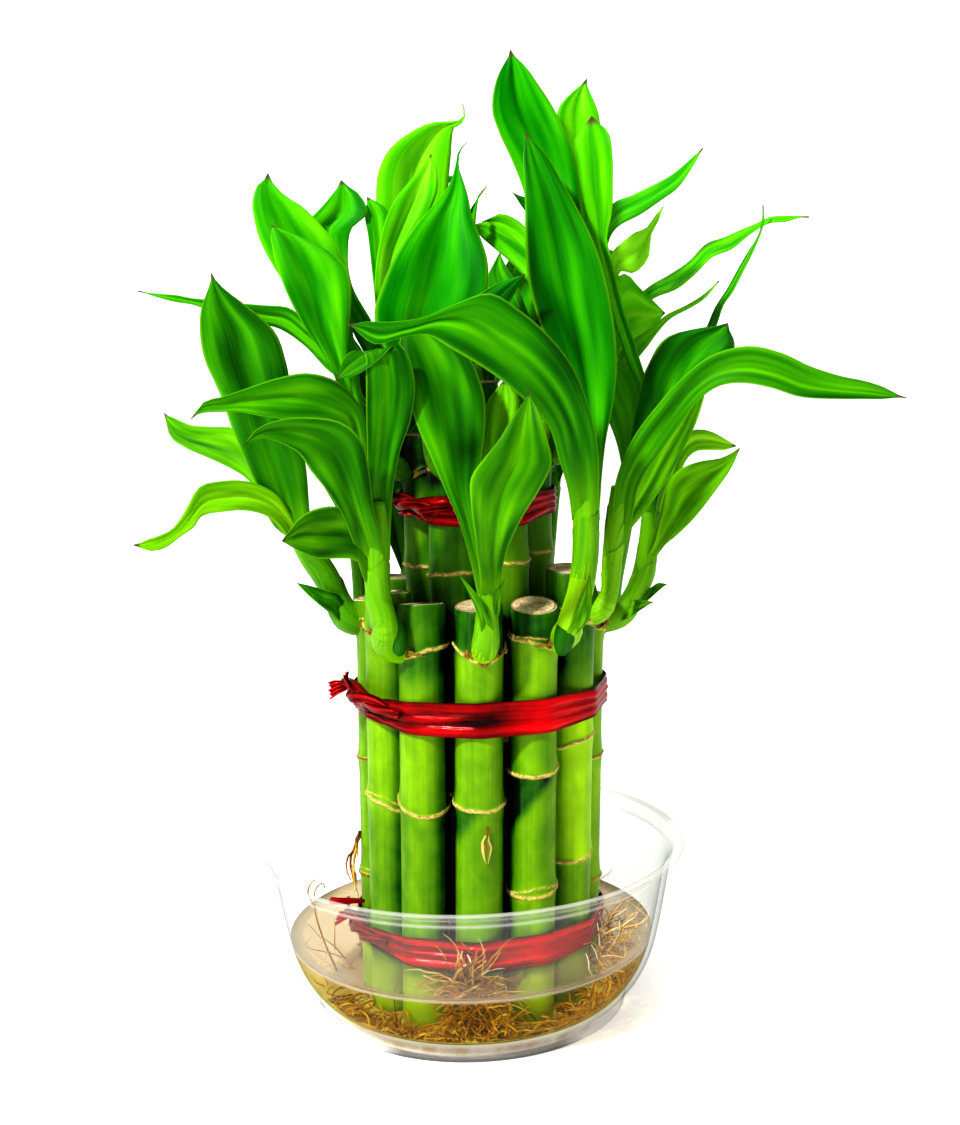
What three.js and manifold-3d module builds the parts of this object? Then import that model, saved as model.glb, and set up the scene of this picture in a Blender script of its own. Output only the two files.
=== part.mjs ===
// Lucky bamboo: two tiers of cut canes with leafy shoots, tied with foil ribbon
// and standing in water in a clear round bowl. Millimetres, +Z up, origin at the
// middle of the bowl's foot on the surface it stands on.
import * as THREE from 'three';
import { mergeVertices } from 'three/addons/utils/BufferGeometryUtils.js';
import Module from 'manifold-3d';

const wasm = await Module();
wasm.setup();

// ---- driving dimensions (mm) ----
const RIM_RADIUS = 52.5;          // outside of the bowl's rolled rim
const RIM_TOP = 40.7;             // height of the rim
const FOOT_RADIUS = 35.2;         // solid disc the bowl stands on
const FLOOR_TOP = 2.8;            // inside floor of the bowl
const WATER_TOP = 17.5;           // water level
const CLEARANCE = 0.3;            // gap between touching pieces
const CANE_RADIUS = 5.8;
const CANE_FOOT = 3.1;            // underside of every cane
const RING_PROUD = 0.25;          // how far a node ring stands out of its cane
const BUNDLE_TOP_X = 4.0;         // the bundle leans slightly to the right
const BUNDLE_FOOT_X = 2.0;
const OUTER_RING_TOP = 24.3, OUTER_RING_FOOT = 23.7;
const INNER_RING_TOP = 12.1, INNER_RING_FOOT = 11.9;
const LEAN_HEIGHT = 95;           // height at which the top ring radii are measured
const LOWER_RIBBON_Z = 22, LOWER_RIBBON_HEIGHT = 7.3;
const MIDDLE_RIBBON_Z = 77.75, MIDDLE_RIBBON_HEIGHT = 8.7;
const UPPER_RIBBON_Z = 123.5, UPPER_RIBBON_HEIGHT = 7.5;
const RIBBON_THICKNESS = 0.8;
const LEAF_THICKNESS = 0.9;       // at the midrib, thinning to the edges

// outer (short) canes: angle round the bundle from the front, cut height, ring heights
const OUTER_CANES = [
  [0, 103.2, [20, 58.3, 92.9]],
  [30, 102.2, [37.1, 65.2, 94.1]],
  [60, 109, [41.7, 69, 98]],
  [90, 101, [30.8, 61.8, 93.6]],
  [120, 104, [48, 88]],
  [150, 101, [38, 68.5, 92]],
  [180, 105, [52, 91]],
  [-150, 102, [33, 66, 92]],
  [-120, 104, [45, 87]],
  [-90, 101, [33, 63.6, 95]],
  [-60, 104.3, [27, 56.1, 96]],
  [-30, 103, [26, 56.4, 92.5]],
];
// inner (tall) canes
const INNER_CANES = [
  [-30, 143, [56, 108.5, 133]],
  [30, 141, [70, 111, 132]],
  [90, 143, [62, 112, 134]],
  [150, 144, [54, 110, 134]],
  [-150, 141, [66, 106, 132]],
  [-90, 140, [60, 109, 131]],
];
const CENTRE_CANE = [152, [72, 114, 138]];

// ---- materials ----
const material = (hex, roughness, metalness = 0, extra = {}) =>
  new THREE.MeshStandardMaterial({ color: hex, roughness, metalness, ...extra });
const clearPlastic = () => material(0xeef4f4, 0.08, 0, { transparent: true, opacity: 0.3 });
const waterLook = () => material(0xc9b79a, 0.05, 0, { transparent: true, opacity: 0.5 });
const foil = () => material(0xc00018, 0.25, 0.6);
const caneLook = () => material(0x5fae10, 0.4);
const leafLook = () => material(0x3aa80a, 0.45);
const rootLook = () => material(0xb06c1c, 0.7);

// ---- helpers ----
const group = new THREE.Group();

function cleaned(geometry) {
  const g = geometry.index ? geometry.toNonIndexed() : geometry.clone();
  for (const name of Object.keys(g.attributes)) if (name !== 'position') g.deleteAttribute(name);
  const m = mergeVertices(g, 1e-4);
  const out = [];
  const idx = m.index.array;
  for (let i = 0; i < idx.length; i += 3) {
    const [a, b, c] = [idx[i], idx[i + 1], idx[i + 2]];
    if (a !== b && b !== c && c !== a) out.push(a, b, c);
  }
  m.setIndex(out);
  return outward(m);
}

function signedVolume(g) {
  const p = g.attributes.position, idx = g.index.array;
  const a = new THREE.Vector3(), b = new THREE.Vector3(), c = new THREE.Vector3();
  let v = 0;
  for (let i = 0; i < idx.length; i += 3) {
    a.fromBufferAttribute(p, idx[i]);
    b.fromBufferAttribute(p, idx[i + 1]);
    c.fromBufferAttribute(p, idx[i + 2]);
    v += a.dot(b.cross(c)) / 6;
  }
  return v;
}

function outward(g) {
  if (signedVolume(g) < 0) {
    const idx = Array.from(g.index.array);
    for (let i = 0; i < idx.length; i += 3) [idx[i], idx[i + 1]] = [idx[i + 1], idx[i]];
    g.setIndex(idx);
  }
  return g;
}

function solid(geometry) {
  const g = cleaned(geometry);
  return new wasm.Manifold(new wasm.Mesh({
    numProp: 3,
    vertProperties: new Float32Array(g.attributes.position.array),
    triVerts: new Uint32Array(g.index.array),
  }));
}

// merges corners that lie closer than this and takes out the needle-thin faces between them
const FINEST_DETAIL = 0.012;

function fromSolid(s) {
  const m = s.asOriginal().simplify(FINEST_DETAIL).getMesh();
  const g = new THREE.BufferGeometry();
  g.setAttribute('position', new THREE.BufferAttribute(new Float32Array(m.vertProperties), 3));
  g.setIndex(Array.from(m.triVerts));
  return g;
}

// fills pockets that the leaf bases close off inside a shoot: shells are sets of
// faces joined along edges, and a pocket's shell has a negative volume
function withoutPockets(g) {
  const idx = g.index.array, faces = idx.length / 3;
  const root = Array.from({ length: faces }, (_, i) => i);
  const find = (i) => { while (root[i] !== i) { root[i] = root[root[i]]; i = root[i]; } return i; };
  const seen = new Map();
  for (let f = 0; f < faces; f++)
    for (let k = 0; k < 3; k++) {
      const a = idx[3 * f + k], b = idx[3 * f + (k + 1) % 3];
      const key = Math.min(a, b) + '_' + Math.max(a, b);
      if (seen.has(key)) root[find(f)] = find(seen.get(key));
      else seen.set(key, f);
    }
  const shells = new Map();
  for (let f = 0; f < faces; f++) {
    const k = find(f);
    if (!shells.has(k)) shells.set(k, []);
    shells.get(k).push(idx[3 * f], idx[3 * f + 1], idx[3 * f + 2]);
  }
  const kept = [];
  for (const tris of shells.values()) {
    const shell = new THREE.BufferGeometry();
    shell.setAttribute('position', g.attributes.position);
    shell.setIndex(tris);
    if (signedVolume(shell) > 0) kept.push(...tris);
  }
  const out = new THREE.BufferGeometry();
  out.setAttribute('position', g.attributes.position);
  out.setIndex(kept);
  return cleaned(out);
}

function fromTriangles(points, triangles) {
  const g = new THREE.BufferGeometry();
  g.setAttribute('position', new THREE.BufferAttribute(new Float32Array(points.flat()), 3));
  g.setIndex(triangles.flat());
  return g;
}

function place(name, geometry, look) {
  const mesh = new THREE.Mesh(geometry, look);
  mesh.name = name;
  group.add(mesh);
  return mesh;
}

// a body of revolution about the Z axis
function revolve(profile, segments) {
  const g = new THREE.LatheGeometry(profile.map(([r, z]) => new THREE.Vector2(r, z)), segments);
  g.rotateX(Math.PI / 2);
  return cleaned(g);
}

const radians = (deg) => deg * Math.PI / 180;

// a point on the leaning axis of a cane
function caneAxis(angle, ringFoot, ringTop, z) {
  const t = (z - CANE_FOOT) / (LEAN_HEIGHT - CANE_FOOT);
  const k = Math.min(Math.max(t, 0), 1);
  const r = ringFoot + (ringTop - ringFoot) * k;
  const x0 = BUNDLE_FOOT_X + (BUNDLE_TOP_X - BUNDLE_FOOT_X) * k;
  return [x0 + r * Math.sin(radians(angle)), -r * Math.cos(radians(angle))];
}

// leans a body that was made upright on the Z axis onto a cane's axis
function leanOnto(g, angle, ringFoot, ringTop) {
  const p = g.attributes.position;
  for (let i = 0; i < p.count; i++) {
    const [x, y] = caneAxis(angle, ringFoot, ringTop, p.getZ(i));
    p.setXYZ(i, p.getX(i) + x, p.getY(i) + y, p.getZ(i));
  }
  return g;
}

function caneProfile(top, rings, radius) {
  const out = [[0, CANE_FOOT], [radius, CANE_FOOT]];
  const zs = [...rings].sort((a, b) => a - b);
  let leaned = false;
  for (const z of zs) {
    if (!leaned && z > LEAN_HEIGHT) { out.push([radius, LEAN_HEIGHT]); leaned = true; }
    out.push([radius, z - 0.8], [radius + RING_PROUD, z], [radius, z + 0.8]);
  }
  if (!leaned) out.push([radius, LEAN_HEIGHT]);
  out.push([radius, top], [0, top]);
  return out;
}

// a tube along a curve
function strand(points, radius, steps, sides = 5) {
  const shape = new THREE.Shape();
  for (let i = 0; i < sides; i++) {
    const a = (i / sides) * Math.PI * 2;
    if (i === 0) shape.moveTo(radius * Math.cos(a), radius * Math.sin(a));
    else shape.lineTo(radius * Math.cos(a), radius * Math.sin(a));
  }
  shape.closePath();
  const path = new THREE.CatmullRomCurve3(points.map((p) => new THREE.Vector3(...p)));
  return new THREE.ExtrudeGeometry(shape, { steps, bevelEnabled: false, extrudePath: path });
}

// a shoot's stem: a tapering round body through points [x, y, z, radius]
function stemBody(points, sides = 6) {
  const verts = [], tris = [];
  for (const [x, y, z, r] of points)
    for (let i = 0; i < sides; i++) {
      const a = (i / sides) * Math.PI * 2;
      verts.push([x + r * Math.cos(a), y + r * Math.sin(a), z]);
    }
  for (let k = 0; k + 1 < points.length; k++)
    for (let i = 0; i < sides; i++) {
      const a = k * sides + i, b = k * sides + (i + 1) % sides;
      tris.push([a, b, a + sides], [b, b + sides, a + sides]);
    }
  const last = (points.length - 1) * sides;
  for (let i = 1; i + 1 < sides; i++) {
    tris.push([0, i + 1, i]);
    tris.push([last, last + i, last + i + 1]);
  }
  return outward(fromTriangles(verts, tris));
}

// a leaf blade from rows [left edge, midrib, right edge]: a closed blade, thickest at the midrib
function leafBody(rows) {
  const verts = [], tris = [];
  const v = (r, k) => new THREE.Vector3(r[3 * k], r[3 * k + 1], r[3 * k + 2]);
  rows.forEach((row, i) => {
    const left = v(row, 0), mid = v(row, 1), right = v(row, 2);
    const before = rows[Math.max(i - 1, 0)], after = rows[Math.min(i + 1, rows.length - 1)];
    const along = v(after, 1).sub(v(before, 1)).normalize();
    const across = right.clone().sub(left).normalize();
    const n = new THREE.Vector3().crossVectors(across, along).normalize();
    const width = right.distanceTo(left);
    const h = Math.min(LEAF_THICKNESS / 2, width * 0.3);
    verts.push(left.toArray(), mid.clone().addScaledVector(n, h).toArray(), right.toArray(), mid.clone().addScaledVector(n, -h).toArray());
  });
  // the upper and the lower face of each half are split along the same diagonal
  for (let k = 0; k + 1 < rows.length; k++) {
    const [l, u, r, d] = [4 * k, 4 * k + 1, 4 * k + 2, 4 * k + 3];
    tris.push([l, u, l + 4], [u, u + 4, l + 4], [u, r, r + 4], [u, r + 4, u + 4]);
    tris.push([r, d, r + 4], [d, d + 4, r + 4], [d, l, l + 4], [d, l + 4, d + 4]);
  }
  const e = 4 * (rows.length - 1);
  tris.push([0, 3, 1], [1, 3, 2], [e, e + 1, e + 3], [e + 1, e + 2, e + 3]);
  return outward(fromTriangles(verts, tris));
}

// ---- bowl ----
const outerWall = [[0, 0], [FOOT_RADIUS, 0], [35.9, 3.3], [41, 9], [44, 14.5], [46, 21], [48.6, 33], [49.7, 39.0], [RIM_RADIUS, 39.3]];
const innerWall = [[50.3, RIM_TOP], [48.4, 38.4], [47.3, 33], [44.7, 21], [42.7, 14.9], [39.9, 9.7], [33.6, FLOOR_TOP], [0, FLOOR_TOP]];
place('bowl', revolve([...outerWall, [RIM_RADIUS, RIM_TOP], ...innerWall], 40), clearPlastic());

// ---- roots: paths through the water; the water is cut round them ----
const ROOTS = {
  roots_front: [
    [[4.6, -31.5, 16.2], [6.4, -33.2, 13], [5.6, -33.6, 9], [7.2, -33, 5.2]],
    [[4.6, -31.5, 16.2], [2.4, -33.2, 12.5], [0.2, -33.2, 9], [-3.5, -32.2, 5.0]],
    [[4.6, -31.5, 16.2], [8.6, -33.0, 12], [11.6, -31.4, 8], [12.5, -28.9, 5.0]],
    [[4.6, -31.5, 16.2], [4.0, -33.9, 11], [2.6, -33.4, 6.0], [2.0, -30.9, 4.4]],
  ],
  roots_right: [
    [[33.9, -1.2, 16.2], [37.0, -4.0, 13], [35.8, -8, 9.0], [31.5, -12, 6.0]],
    [[33.9, -1.2, 16.2], [37.4, 0.6, 13], [36.2, 5, 9.2], [31.8, 9.5, 5.6]],
    [[33.9, -1.2, 16.2], [36.9, -6.5, 14.5], [34.8, -13, 11], [30.2, -18.2, 7.3]],
    [[33.9, -1.2, 16.2], [36.2, -2.6, 11], [34.6, -4.2, 7.0], [33.0, -6.0, 5.3]],
  ],
  roots_left: [
    [[-14.0, -26.8, 13.5], [-17.4, -28.4, 9], [-19.5, -26.4, 5.8], [-22.0, -23.6, 4.9]],
    [[-14.0, -26.8, 13.4], [-14.4, -29.6, 8], [-12.0, -30.2, 5.4], [-8.5, -31.4, 4.9]],
    [[-14.0, -26.8, 13.3], [-18.6, -26.6, 11], [-23.0, -22.8, 7.6], [-26.6, -18.6, 5.6]],
  ],
};
const ROOT_RADIUS = 0.8;
function rootBody(paths, radius) {
  const first = paths[0][0];
  const lump = new THREE.SphereGeometry(radius + 0.6, 6, 4);
  lump.translate(...first);
  let s = solid(lump);
  for (const path of paths) s = s.add(solid(strand(path, radius, 5)));
  return s;
}

// ---- water: fills the bowl round the bundle of canes and the roots ----
let water = solid(revolve([[0, FLOOR_TOP + CLEARANCE], [33.3, FLOOR_TOP + CLEARANCE], [39.4, 9.9], [42.2, 15.0], [43.1, WATER_TOP], [0, WATER_TOP]], 40));
function allCanes() {
  const list = [];
  OUTER_CANES.forEach(([angle, top, rings], i) => list.push([`cane_outer_${String(i + 1).padStart(2, '0')}`, angle, OUTER_RING_FOOT, OUTER_RING_TOP, top, rings]));
  INNER_CANES.forEach(([angle, top, rings], i) => list.push([`cane_inner_${i + 1}`, angle, INNER_RING_FOOT, INNER_RING_TOP, top, rings]));
  list.push(['cane_centre', 0, 0, 0, CENTRE_CANE[0], CENTRE_CANE[1]]);
  return list;
}
// the canes stand so close that the film of water between them is left out
const bundleCore = new THREE.CylinderGeometry(OUTER_RING_FOOT + 1, OUTER_RING_FOOT + 1, 30, 24);
bundleCore.rotateX(Math.PI / 2);
bundleCore.translate(BUNDLE_FOOT_X + 0.15, 0, 9);
water = water.subtract(solid(bundleCore));
for (const [name, angle, foot, top] of allCanes()) {
  if (!name.startsWith('cane_outer')) continue;
  const hole = new THREE.CylinderGeometry(CANE_RADIUS + CLEARANCE / Math.cos(Math.PI / 12), CANE_RADIUS + CLEARANCE / Math.cos(Math.PI / 12), 30, 12);
  hole.rotateX(Math.PI / 2);
  hole.translate(0, 0, 9);
  water = water.subtract(solid(leanOnto(cleaned(hole), angle, foot, top)));
}
for (const paths of Object.values(ROOTS)) water = water.subtract(rootBody(paths, ROOT_RADIUS + CLEARANCE));
place('water', fromSolid(water), waterLook());
for (const [name, paths] of Object.entries(ROOTS)) place(name, fromSolid(rootBody(paths, ROOT_RADIUS)), rootLook());

// aerial roots on the left of the bundle, above the bowl's rim
const AERIAL = [
  [[-27.8, -0.4, 42.5], [-28.4, -0.8, 39.0], [-29.4, -1.2, 35.5], [-28.9, -1.8, 31.8]],
  [[-27.9, -0.6, 41.6], [-28.1, -2.0, 38.0], [-28.6, -2.8, 34.0], [-28.4, -3.2, 30.8]],
];
let aerial = solid(strand(AERIAL[0], 0.7, 6));
for (const path of AERIAL.slice(1)) aerial = aerial.add(solid(strand(path, 0.7, 6)));
place('roots_aerial', fromSolid(aerial), rootLook());

// ---- canes ----
for (const [name, angle, foot, top, cut, rings] of allCanes())
  place(name, leanOnto(revolve(caneProfile(cut, rings, CANE_RADIUS), 10), angle, foot, top), caneLook());

// ---- ribbons: a flat band round the canes with a knot and two tails ----
function ribbon(name, centreX, inside, z, height, knotAngle, tails) {
  const outline = new THREE.Shape();
  outline.absarc(0, 0, inside + RIBBON_THICKNESS, 0, Math.PI * 2, false);
  const hole = new THREE.Path();
  hole.absarc(0, 0, inside, 0, Math.PI * 2, true);
  outline.holes.push(hole);
  const band = new THREE.ExtrudeGeometry(outline, { depth: height, bevelEnabled: false, curveSegments: 15 });
  band.translate(centreX, 0, z - height / 2);
  let s = solid(band);
  const a = radians(knotAngle);
  const out = [Math.sin(a), -Math.cos(a)];
  const along = [Math.cos(a), Math.sin(a)];
  const kr = inside + RIBBON_THICKNESS + 0.9;
  const knot = new THREE.SphereGeometry(1, 7, 5);
  knot.scale(3.0, 1.8, 2.6);
  knot.rotateZ(a);
  knot.translate(centreX + out[0] * kr, out[1] * kr, z);
  s = s.add(solid(knot));
  for (const [dx, dz, width] of tails) {
    const k = [centreX + out[0] * (kr + 0.4), out[1] * (kr + 0.4), z];
    const e = [k[0] + along[0] * dx + out[0] * 1.8, k[1] + along[1] * dx + out[1] * 1.8, z + dz];
    const rows = [[0, 0.35], [0.55, 0.8], [1, 1]].map(([t, w]) => {
      const p = k.map((c, i) => c + (e[i] - c) * t);
      const len = Math.hypot(dx, dz);
      const px = -dz / len * width / 2 * w, pz = dx / len * width / 2 * w;
      return [p[0] - along[0] * px, p[1] - along[1] * px, p[2] - pz, p[0], p[1], p[2], p[0] + along[0] * px, p[1] + along[1] * px, p[2] + pz];
    });
    s = s.add(solid(leafBody(rows)));
  }
  place(name, fromSolid(s), foil());
}
ribbon('ribbon_lower', 2.45, OUTER_RING_FOOT + CANE_RADIUS + 0.7, LOWER_RIBBON_Z, LOWER_RIBBON_HEIGHT, -62, [[-6, 6.5, 4], [-7, 2, 4]]);
ribbon('ribbon_middle', 3.65, OUTER_RING_TOP + CANE_RADIUS + 0.55, MIDDLE_RIBBON_Z, MIDDLE_RIBBON_HEIGHT, -68, [[-6, 3.2, 5], [-3.5, 7.5, 4.5]]);
ribbon('ribbon_upper', BUNDLE_TOP_X, INNER_RING_TOP + CANE_RADIUS + 0.55, UPPER_RIBBON_Z, UPPER_RIBBON_HEIGHT, -66, [[-5, 3.5, 4], [-5, -2.5, 4]]);

// ---- shoots: each is one grown piece, a stem with its leaves ----
// stem points are [x, y, z, radius]; each leaf row is left edge, midrib, right edge
const SHOOTS = {
  shoot_centre: {
    stem: [[4, 8.7, 145.2, 2.3], [4, 8.78, 151.95, 2.12], [4, 8.9, 158.7, 1.95], [4, 9.06, 165.45, 1.77], [4, 9.24, 172.2, 1.6]],
    leaves: [
      [[2.64, 10.04, 155.85, 4, 8.85, 156, 5.36, 7.66, 156.15],
       [-0.23, 11.93, 163.46, 2.23, 7.83, 164.23, 6.51, 6.14, 165.73],
       [-4.04, 13.19, 169.53, -0.67, 7.57, 172.19, 5.27, 5.62, 175.47],
       [-8.39, 13.98, 174.97, -4.38, 8.9, 179.69, 2.47, 8.02, 183.74],
       [-13.35, 15.38, 181.72, -7.97, 12.42, 186.52, -0.48, 13.08, 188.6],
       [-16.41, 20.16, 190.08, -10.11, 18.11, 192.43, -3.23, 18.53, 191.08],
       [-14.54, 27.84, 197.16, -9.61, 25.1, 197.2, -5.01, 24.11, 194.09],
       [-8, 34.57, 201.28, -5.85, 31.9, 200.58, -4.04, 30.39, 198],
       [0.75, 36.89, 202.43, 0.82, 36.8, 202.4, 0.88, 36.75, 202.31]],
      [[5.54, 9.7, 160.03, 4, 8.93, 160.05, 2.46, 8.17, 160.07],
       [7.23, 12.56, 168, 2.76, 11.66, 167.56, -0.68, 8.71, 168.32],
       [7.88, 16.47, 175.37, 1.35, 15.15, 174.71, -3.76, 11.08, 176.22],
       [7.21, 20.98, 182.06, -0.21, 19.55, 181.31, -6.15, 15.35, 183.49],
       [5.41, 26.14, 187.92, -1.83, 24.88, 187.15, -7.83, 21.37, 189.68],
       [3.12, 32.09, 192.82, -3.44, 31.12, 192.04, -9.07, 28.6, 194.56],
       [0.34, 38.77, 196.53, -4.91, 38.15, 195.75, -9.63, 36.73, 197.83],
       [-2.94, 46.09, 198.75, -6.17, 45.77, 198.1, -9.22, 45.28, 199.31],
       [-7.01, 53.76, 198.98, -7.13, 53.75, 198.96, -7.24, 53.73, 199]],
    ],
  },
  shoot_inner_1: {
    stem: [[-4.75, -19, 130.93, 2.25], [-5.82, -20, 140.05, 2.24], [-6.91, -20, 148.99, 2.23], [-7.62, -19, 156.72, 2]],
    leaves: [
      [[-10, -19.9, 150.17, -7.33, -19.9, 150.11, -4.66, -19.9, 150.05],
       [-15.45, -24.14, 160.33, -7.36, -20.63, 160.06, 0.98, -24.14, 159.95],
       [-17.51, -25.66, 167.95, -6.15, -20.69, 167.37, 5.51, -25.66, 166.78],
       [-15.58, -25.33, 174.34, -4.21, -20.36, 174.17, 7.41, -25.33, 173.81],
       [-12.86, -24.15, 180.07, -2.86, -19.78, 180, 7.33, -24.15, 179.62],
       [-9.75, -22.5, 184.77, -1.97, -19.11, 184.76, 5.92, -22.5, 184.41],
       [-6.2, -20.6, 189.06, -0.99, -18.34, 189.09, 4.28, -20.6, 188.83],
       [-2.64, -18.77, 192.96, 0.42, -17.44, 193.2, 3.51, -18.77, 193.25],
       [-0.39, -17.26, 196.24, 1.04, -16.63, 196.58, 2.49, -17.26, 196.82],
       [0.78, -16.05, 199.53, 1.22, -15.86, 199.54, 1.66, -16.05, 199.51],
       [1.75, -14.82, 203.49, 1.97, -14.72, 203.5, 2.19, -14.82, 203.48],
       [3.47, -14.04, 205.25, 3.55, -14, 205.25, 3.64, -14.04, 205.25]],
      [[-8.88, -19.44, 153.23, -7.35, -19.44, 153.7, -5.82, -19.44, 154.17],
       [-5.91, -19.4, 153.38, -4.23, -19.4, 153.89, -2.54, -19.4, 154.41],
       [-2.48, -5.95, 166.48, -0.5, -5.26, 167.57, 1.49, -5.95, 168.66],
       [0.78, 1.71, 180.23, 2.67, 2.38, 181.36, 4.57, 1.71, 182.44],
       [2.61, 3.67, 188.99, 4.05, 4.34, 190.6, 5.49, 3.67, 192.12],
       [4.82, 4.03, 193.31, 5.55, 4.42, 194.34, 6.27, 4.03, 195.33],
       [8.32, 3.97, 197.55, 8.42, 4, 197.55, 8.51, 3.97, 197.55]],
      [[-7.52, -20.07, 137.66, -5.52, -19.8, 137.56, -3.53, -19.53, 137.47],
       [-8.21, -21.08, 143.87, -5.03, -21.45, 143.17, -1.99, -20.22, 143.03],
       [-8.54, -22.78, 150.21, -4.03, -23.26, 148.67, 0.33, -21.39, 147.99],
       [-7.27, -24.66, 156.37, -2.41, -25.11, 153.99, 2.35, -22.89, 152.58],
       [-4.47, -26.42, 162.01, -0.08, -26.84, 159.1, 4.24, -24.63, 156.99],
       [-0.61, -27.68, 167, 2.98, -28.23, 163.91, 6.5, -26.34, 161.31],
       [4.13, -28.21, 171.08, 6.71, -29.04, 168.37, 9.22, -27.88, 165.73],
       [9.5, -28.07, 174.01, 10.96, -29.04, 172.41, 12.38, -28.8, 170.53],
       [15.45, -28.01, 176.05, 15.52, -28.06, 175.97, 15.59, -28.05, 175.88]],
    ],
  },
  shoot_inner_2: {
    stem: [[15.98, -19, 130.45, 2.25], [17.98, -18, 139.34, 2.25], [20.46, -16, 148.15, 2.26], [22.5, -14, 157, 2.03]],
    leaves: [
      [[19.59, -15.35, 150.7, 21.16, -15.35, 151.03, 22.72, -15.35, 151.36],
       [19.42, -13.8, 161.54, 23.78, -12.58, 161.98, 28.01, -13.8, 162.46],
       [18.37, -11.12, 172.72, 23.66, -9.64, 173.19, 28.78, -11.12, 173.6],
       [17.31, -8.23, 183.97, 23.3, -6.55, 184.47, 29.12, -8.23, 184.82],
       [16.23, -5.69, 194.82, 22.69, -3.87, 195.03, 28.97, -5.69, 194.97],
       [13.67, -4.57, 202.06, 20.7, -2.57, 202.98, 27.56, -4.57, 203.52],
       [10.85, -4.24, 208.34, 18.08, -2.17, 209.18, 25.16, -4.24, 209.56],
       [9.37, -4.09, 213.66, 16.01, -2.18, 214.42, 22.53, -4.09, 214.68],
       [10.17, -3.62, 218.96, 15.08, -2.21, 219.05, 19.9, -3.62, 218.74],
       [12.09, -2.82, 223.4, 14.48, -2.13, 223.45, 16.84, -2.82, 223.3],
       [13.67, -2.02, 226.76, 13.76, -1.99, 226.77, 13.85, -2.02, 226.76]],
      [[20.57, -14.45, 154.42, 22.05, -14.45, 155.01, 23.54, -14.45, 155.61],
       [20.56, -4.33, 163.66, 22.34, -3.69, 164.76, 24.06, -4.33, 165.87],
       [17.56, 3.78, 174.14, 19.39, 4.54, 175.85, 21.15, 3.78, 177.53],
       [13.04, 7.13, 179.67, 14.52, 7.92, 181.77, 15.96, 7.13, 183.79],
       [9.33, 8.68, 183.08, 10.1, 9.37, 185.19, 10.85, 8.68, 187.24],
       [6.07, 9.35, 185.98, 6.59, 9.91, 187.75, 7.1, 9.35, 189.45],
       [3.66, 9.97, 188.4, 3.75, 10, 188.4, 3.85, 9.97, 188.39]],
      [[20.7, -14.45, 154.16, 22.05, -14.45, 155.01, 23.41, -14.45, 155.87],
       [23.41, -14, 156.98, 24.78, -14, 157.85, 26.14, -14, 158.71],
       [21.84, 5.93, 170.58, 23.55, 6.55, 171.72, 25.2, 5.93, 172.84],
       [17.62, 15.44, 181.51, 18.64, 16.07, 183.3, 19.61, 15.44, 185.03],
       [12.91, 17.48, 186.23, 13.7, 18.19, 188.39, 14.45, 17.48, 190.47],
       [9.07, 17.81, 188.24, 9.72, 18.37, 189.92, 10.36, 17.81, 191.53],
       [6.58, 17.97, 189.73, 6.68, 18, 189.73, 6.77, 17.97, 189.72]],
      [[20.56, -14.45, 154.43, 22.05, -14.45, 155.01, 23.55, -14.45, 155.59],
       [22.81, 7.13, 168.22, 24.53, 7.75, 169.36, 26.18, 7.13, 170.49],
       [21.88, 18.62, 181.54, 23.26, 19.18, 182.73, 24.6, 18.62, 183.87],
       [19.42, 20.98, 189.61, 20.21, 21.55, 191.31, 20.94, 20.98, 192.93],
       [16.78, 20.81, 193.01, 17.19, 21.2, 194.22, 17.56, 20.81, 195.38],
       [14.05, 19.97, 196.82, 14.15, 20, 196.82, 14.25, 19.97, 196.82]],
      [[18.67, -15.8, 148.18, 20.48, -15.8, 148.7, 22.29, -15.8, 149.22],
       [14.69, -4.35, 159.21, 17.06, -3.56, 160.29, 19.36, -4.35, 161.4],
       [10.29, 0.93, 166.63, 13.28, 1.94, 168.07, 16.21, 0.93, 169.5],
       [7.4, 3.35, 172.74, 10.85, 4.45, 173.84, 14.27, 3.35, 174.9],
       [7.73, 4.76, 176.7, 9.78, 5.49, 177.95, 11.79, 4.76, 179.16],
       [10.6, 5.97, 182.01, 10.69, 6, 182.01, 10.79, 5.97, 182.01]],
      [[16.44, -16.76, 139.74, 18.1, -17.91, 139.84, 19.77, -19.06, 139.94],
       [15.14, -16.06, 146.38, 17.04, -18.88, 146.58, 20.21, -19.64, 147.56],
       [12.38, -15.73, 151.87, 14.8, -19.92, 153.02, 18.94, -21.1, 155.5],
       [9.28, -15.77, 156.27, 11.17, -20.41, 158.86, 15.02, -21.58, 162.81],
       [5.47, -15.96, 159.78, 6.39, -19.61, 163.77, 9.44, -19.8, 168.32],
       [-0.44, -16.56, 162.72, 1.15, -16.98, 167.39, 4.52, -14.73, 170.23],
       [-7.05, -14.3, 168.87, -3.6, -12.41, 169.41, -0.83, -10.8, 167.08],
       [-9.29, -6.69, 170.24, -6.94, -6.37, 169.6, -5.6, -6.64, 167.55],
       [-8.41, 0.14, 167.9, -8.29, 0.16, 167.87, -8.23, 0.14, 167.76]],
    ],
  },
  shoot_inner_3: {
    stem: [[26.85, 0, 129.64, 2.14], [29.08, 0, 136.49, 2.13], [31.63, 1, 145.81, 2.13], [33.7, 2, 155.13, 1.89]],
    leaves: [
      [[31.23, 1.4, 149.33, 33.12, 1.4, 149.53, 35.01, 1.4, 149.72],
       [28.18, 6.35, 163.39, 31.23, 7.41, 163.55, 34.14, 6.35, 163.73],
       [26.96, 10.59, 177.59, 31.14, 12.04, 177.78, 35.11, 10.59, 177.88],
       [25.75, 11.37, 190.55, 30.89, 13.16, 190.9, 35.78, 11.37, 191.02],
       [24.94, 10.75, 202.12, 30.41, 12.67, 202.53, 35.61, 10.75, 202.57],
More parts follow.
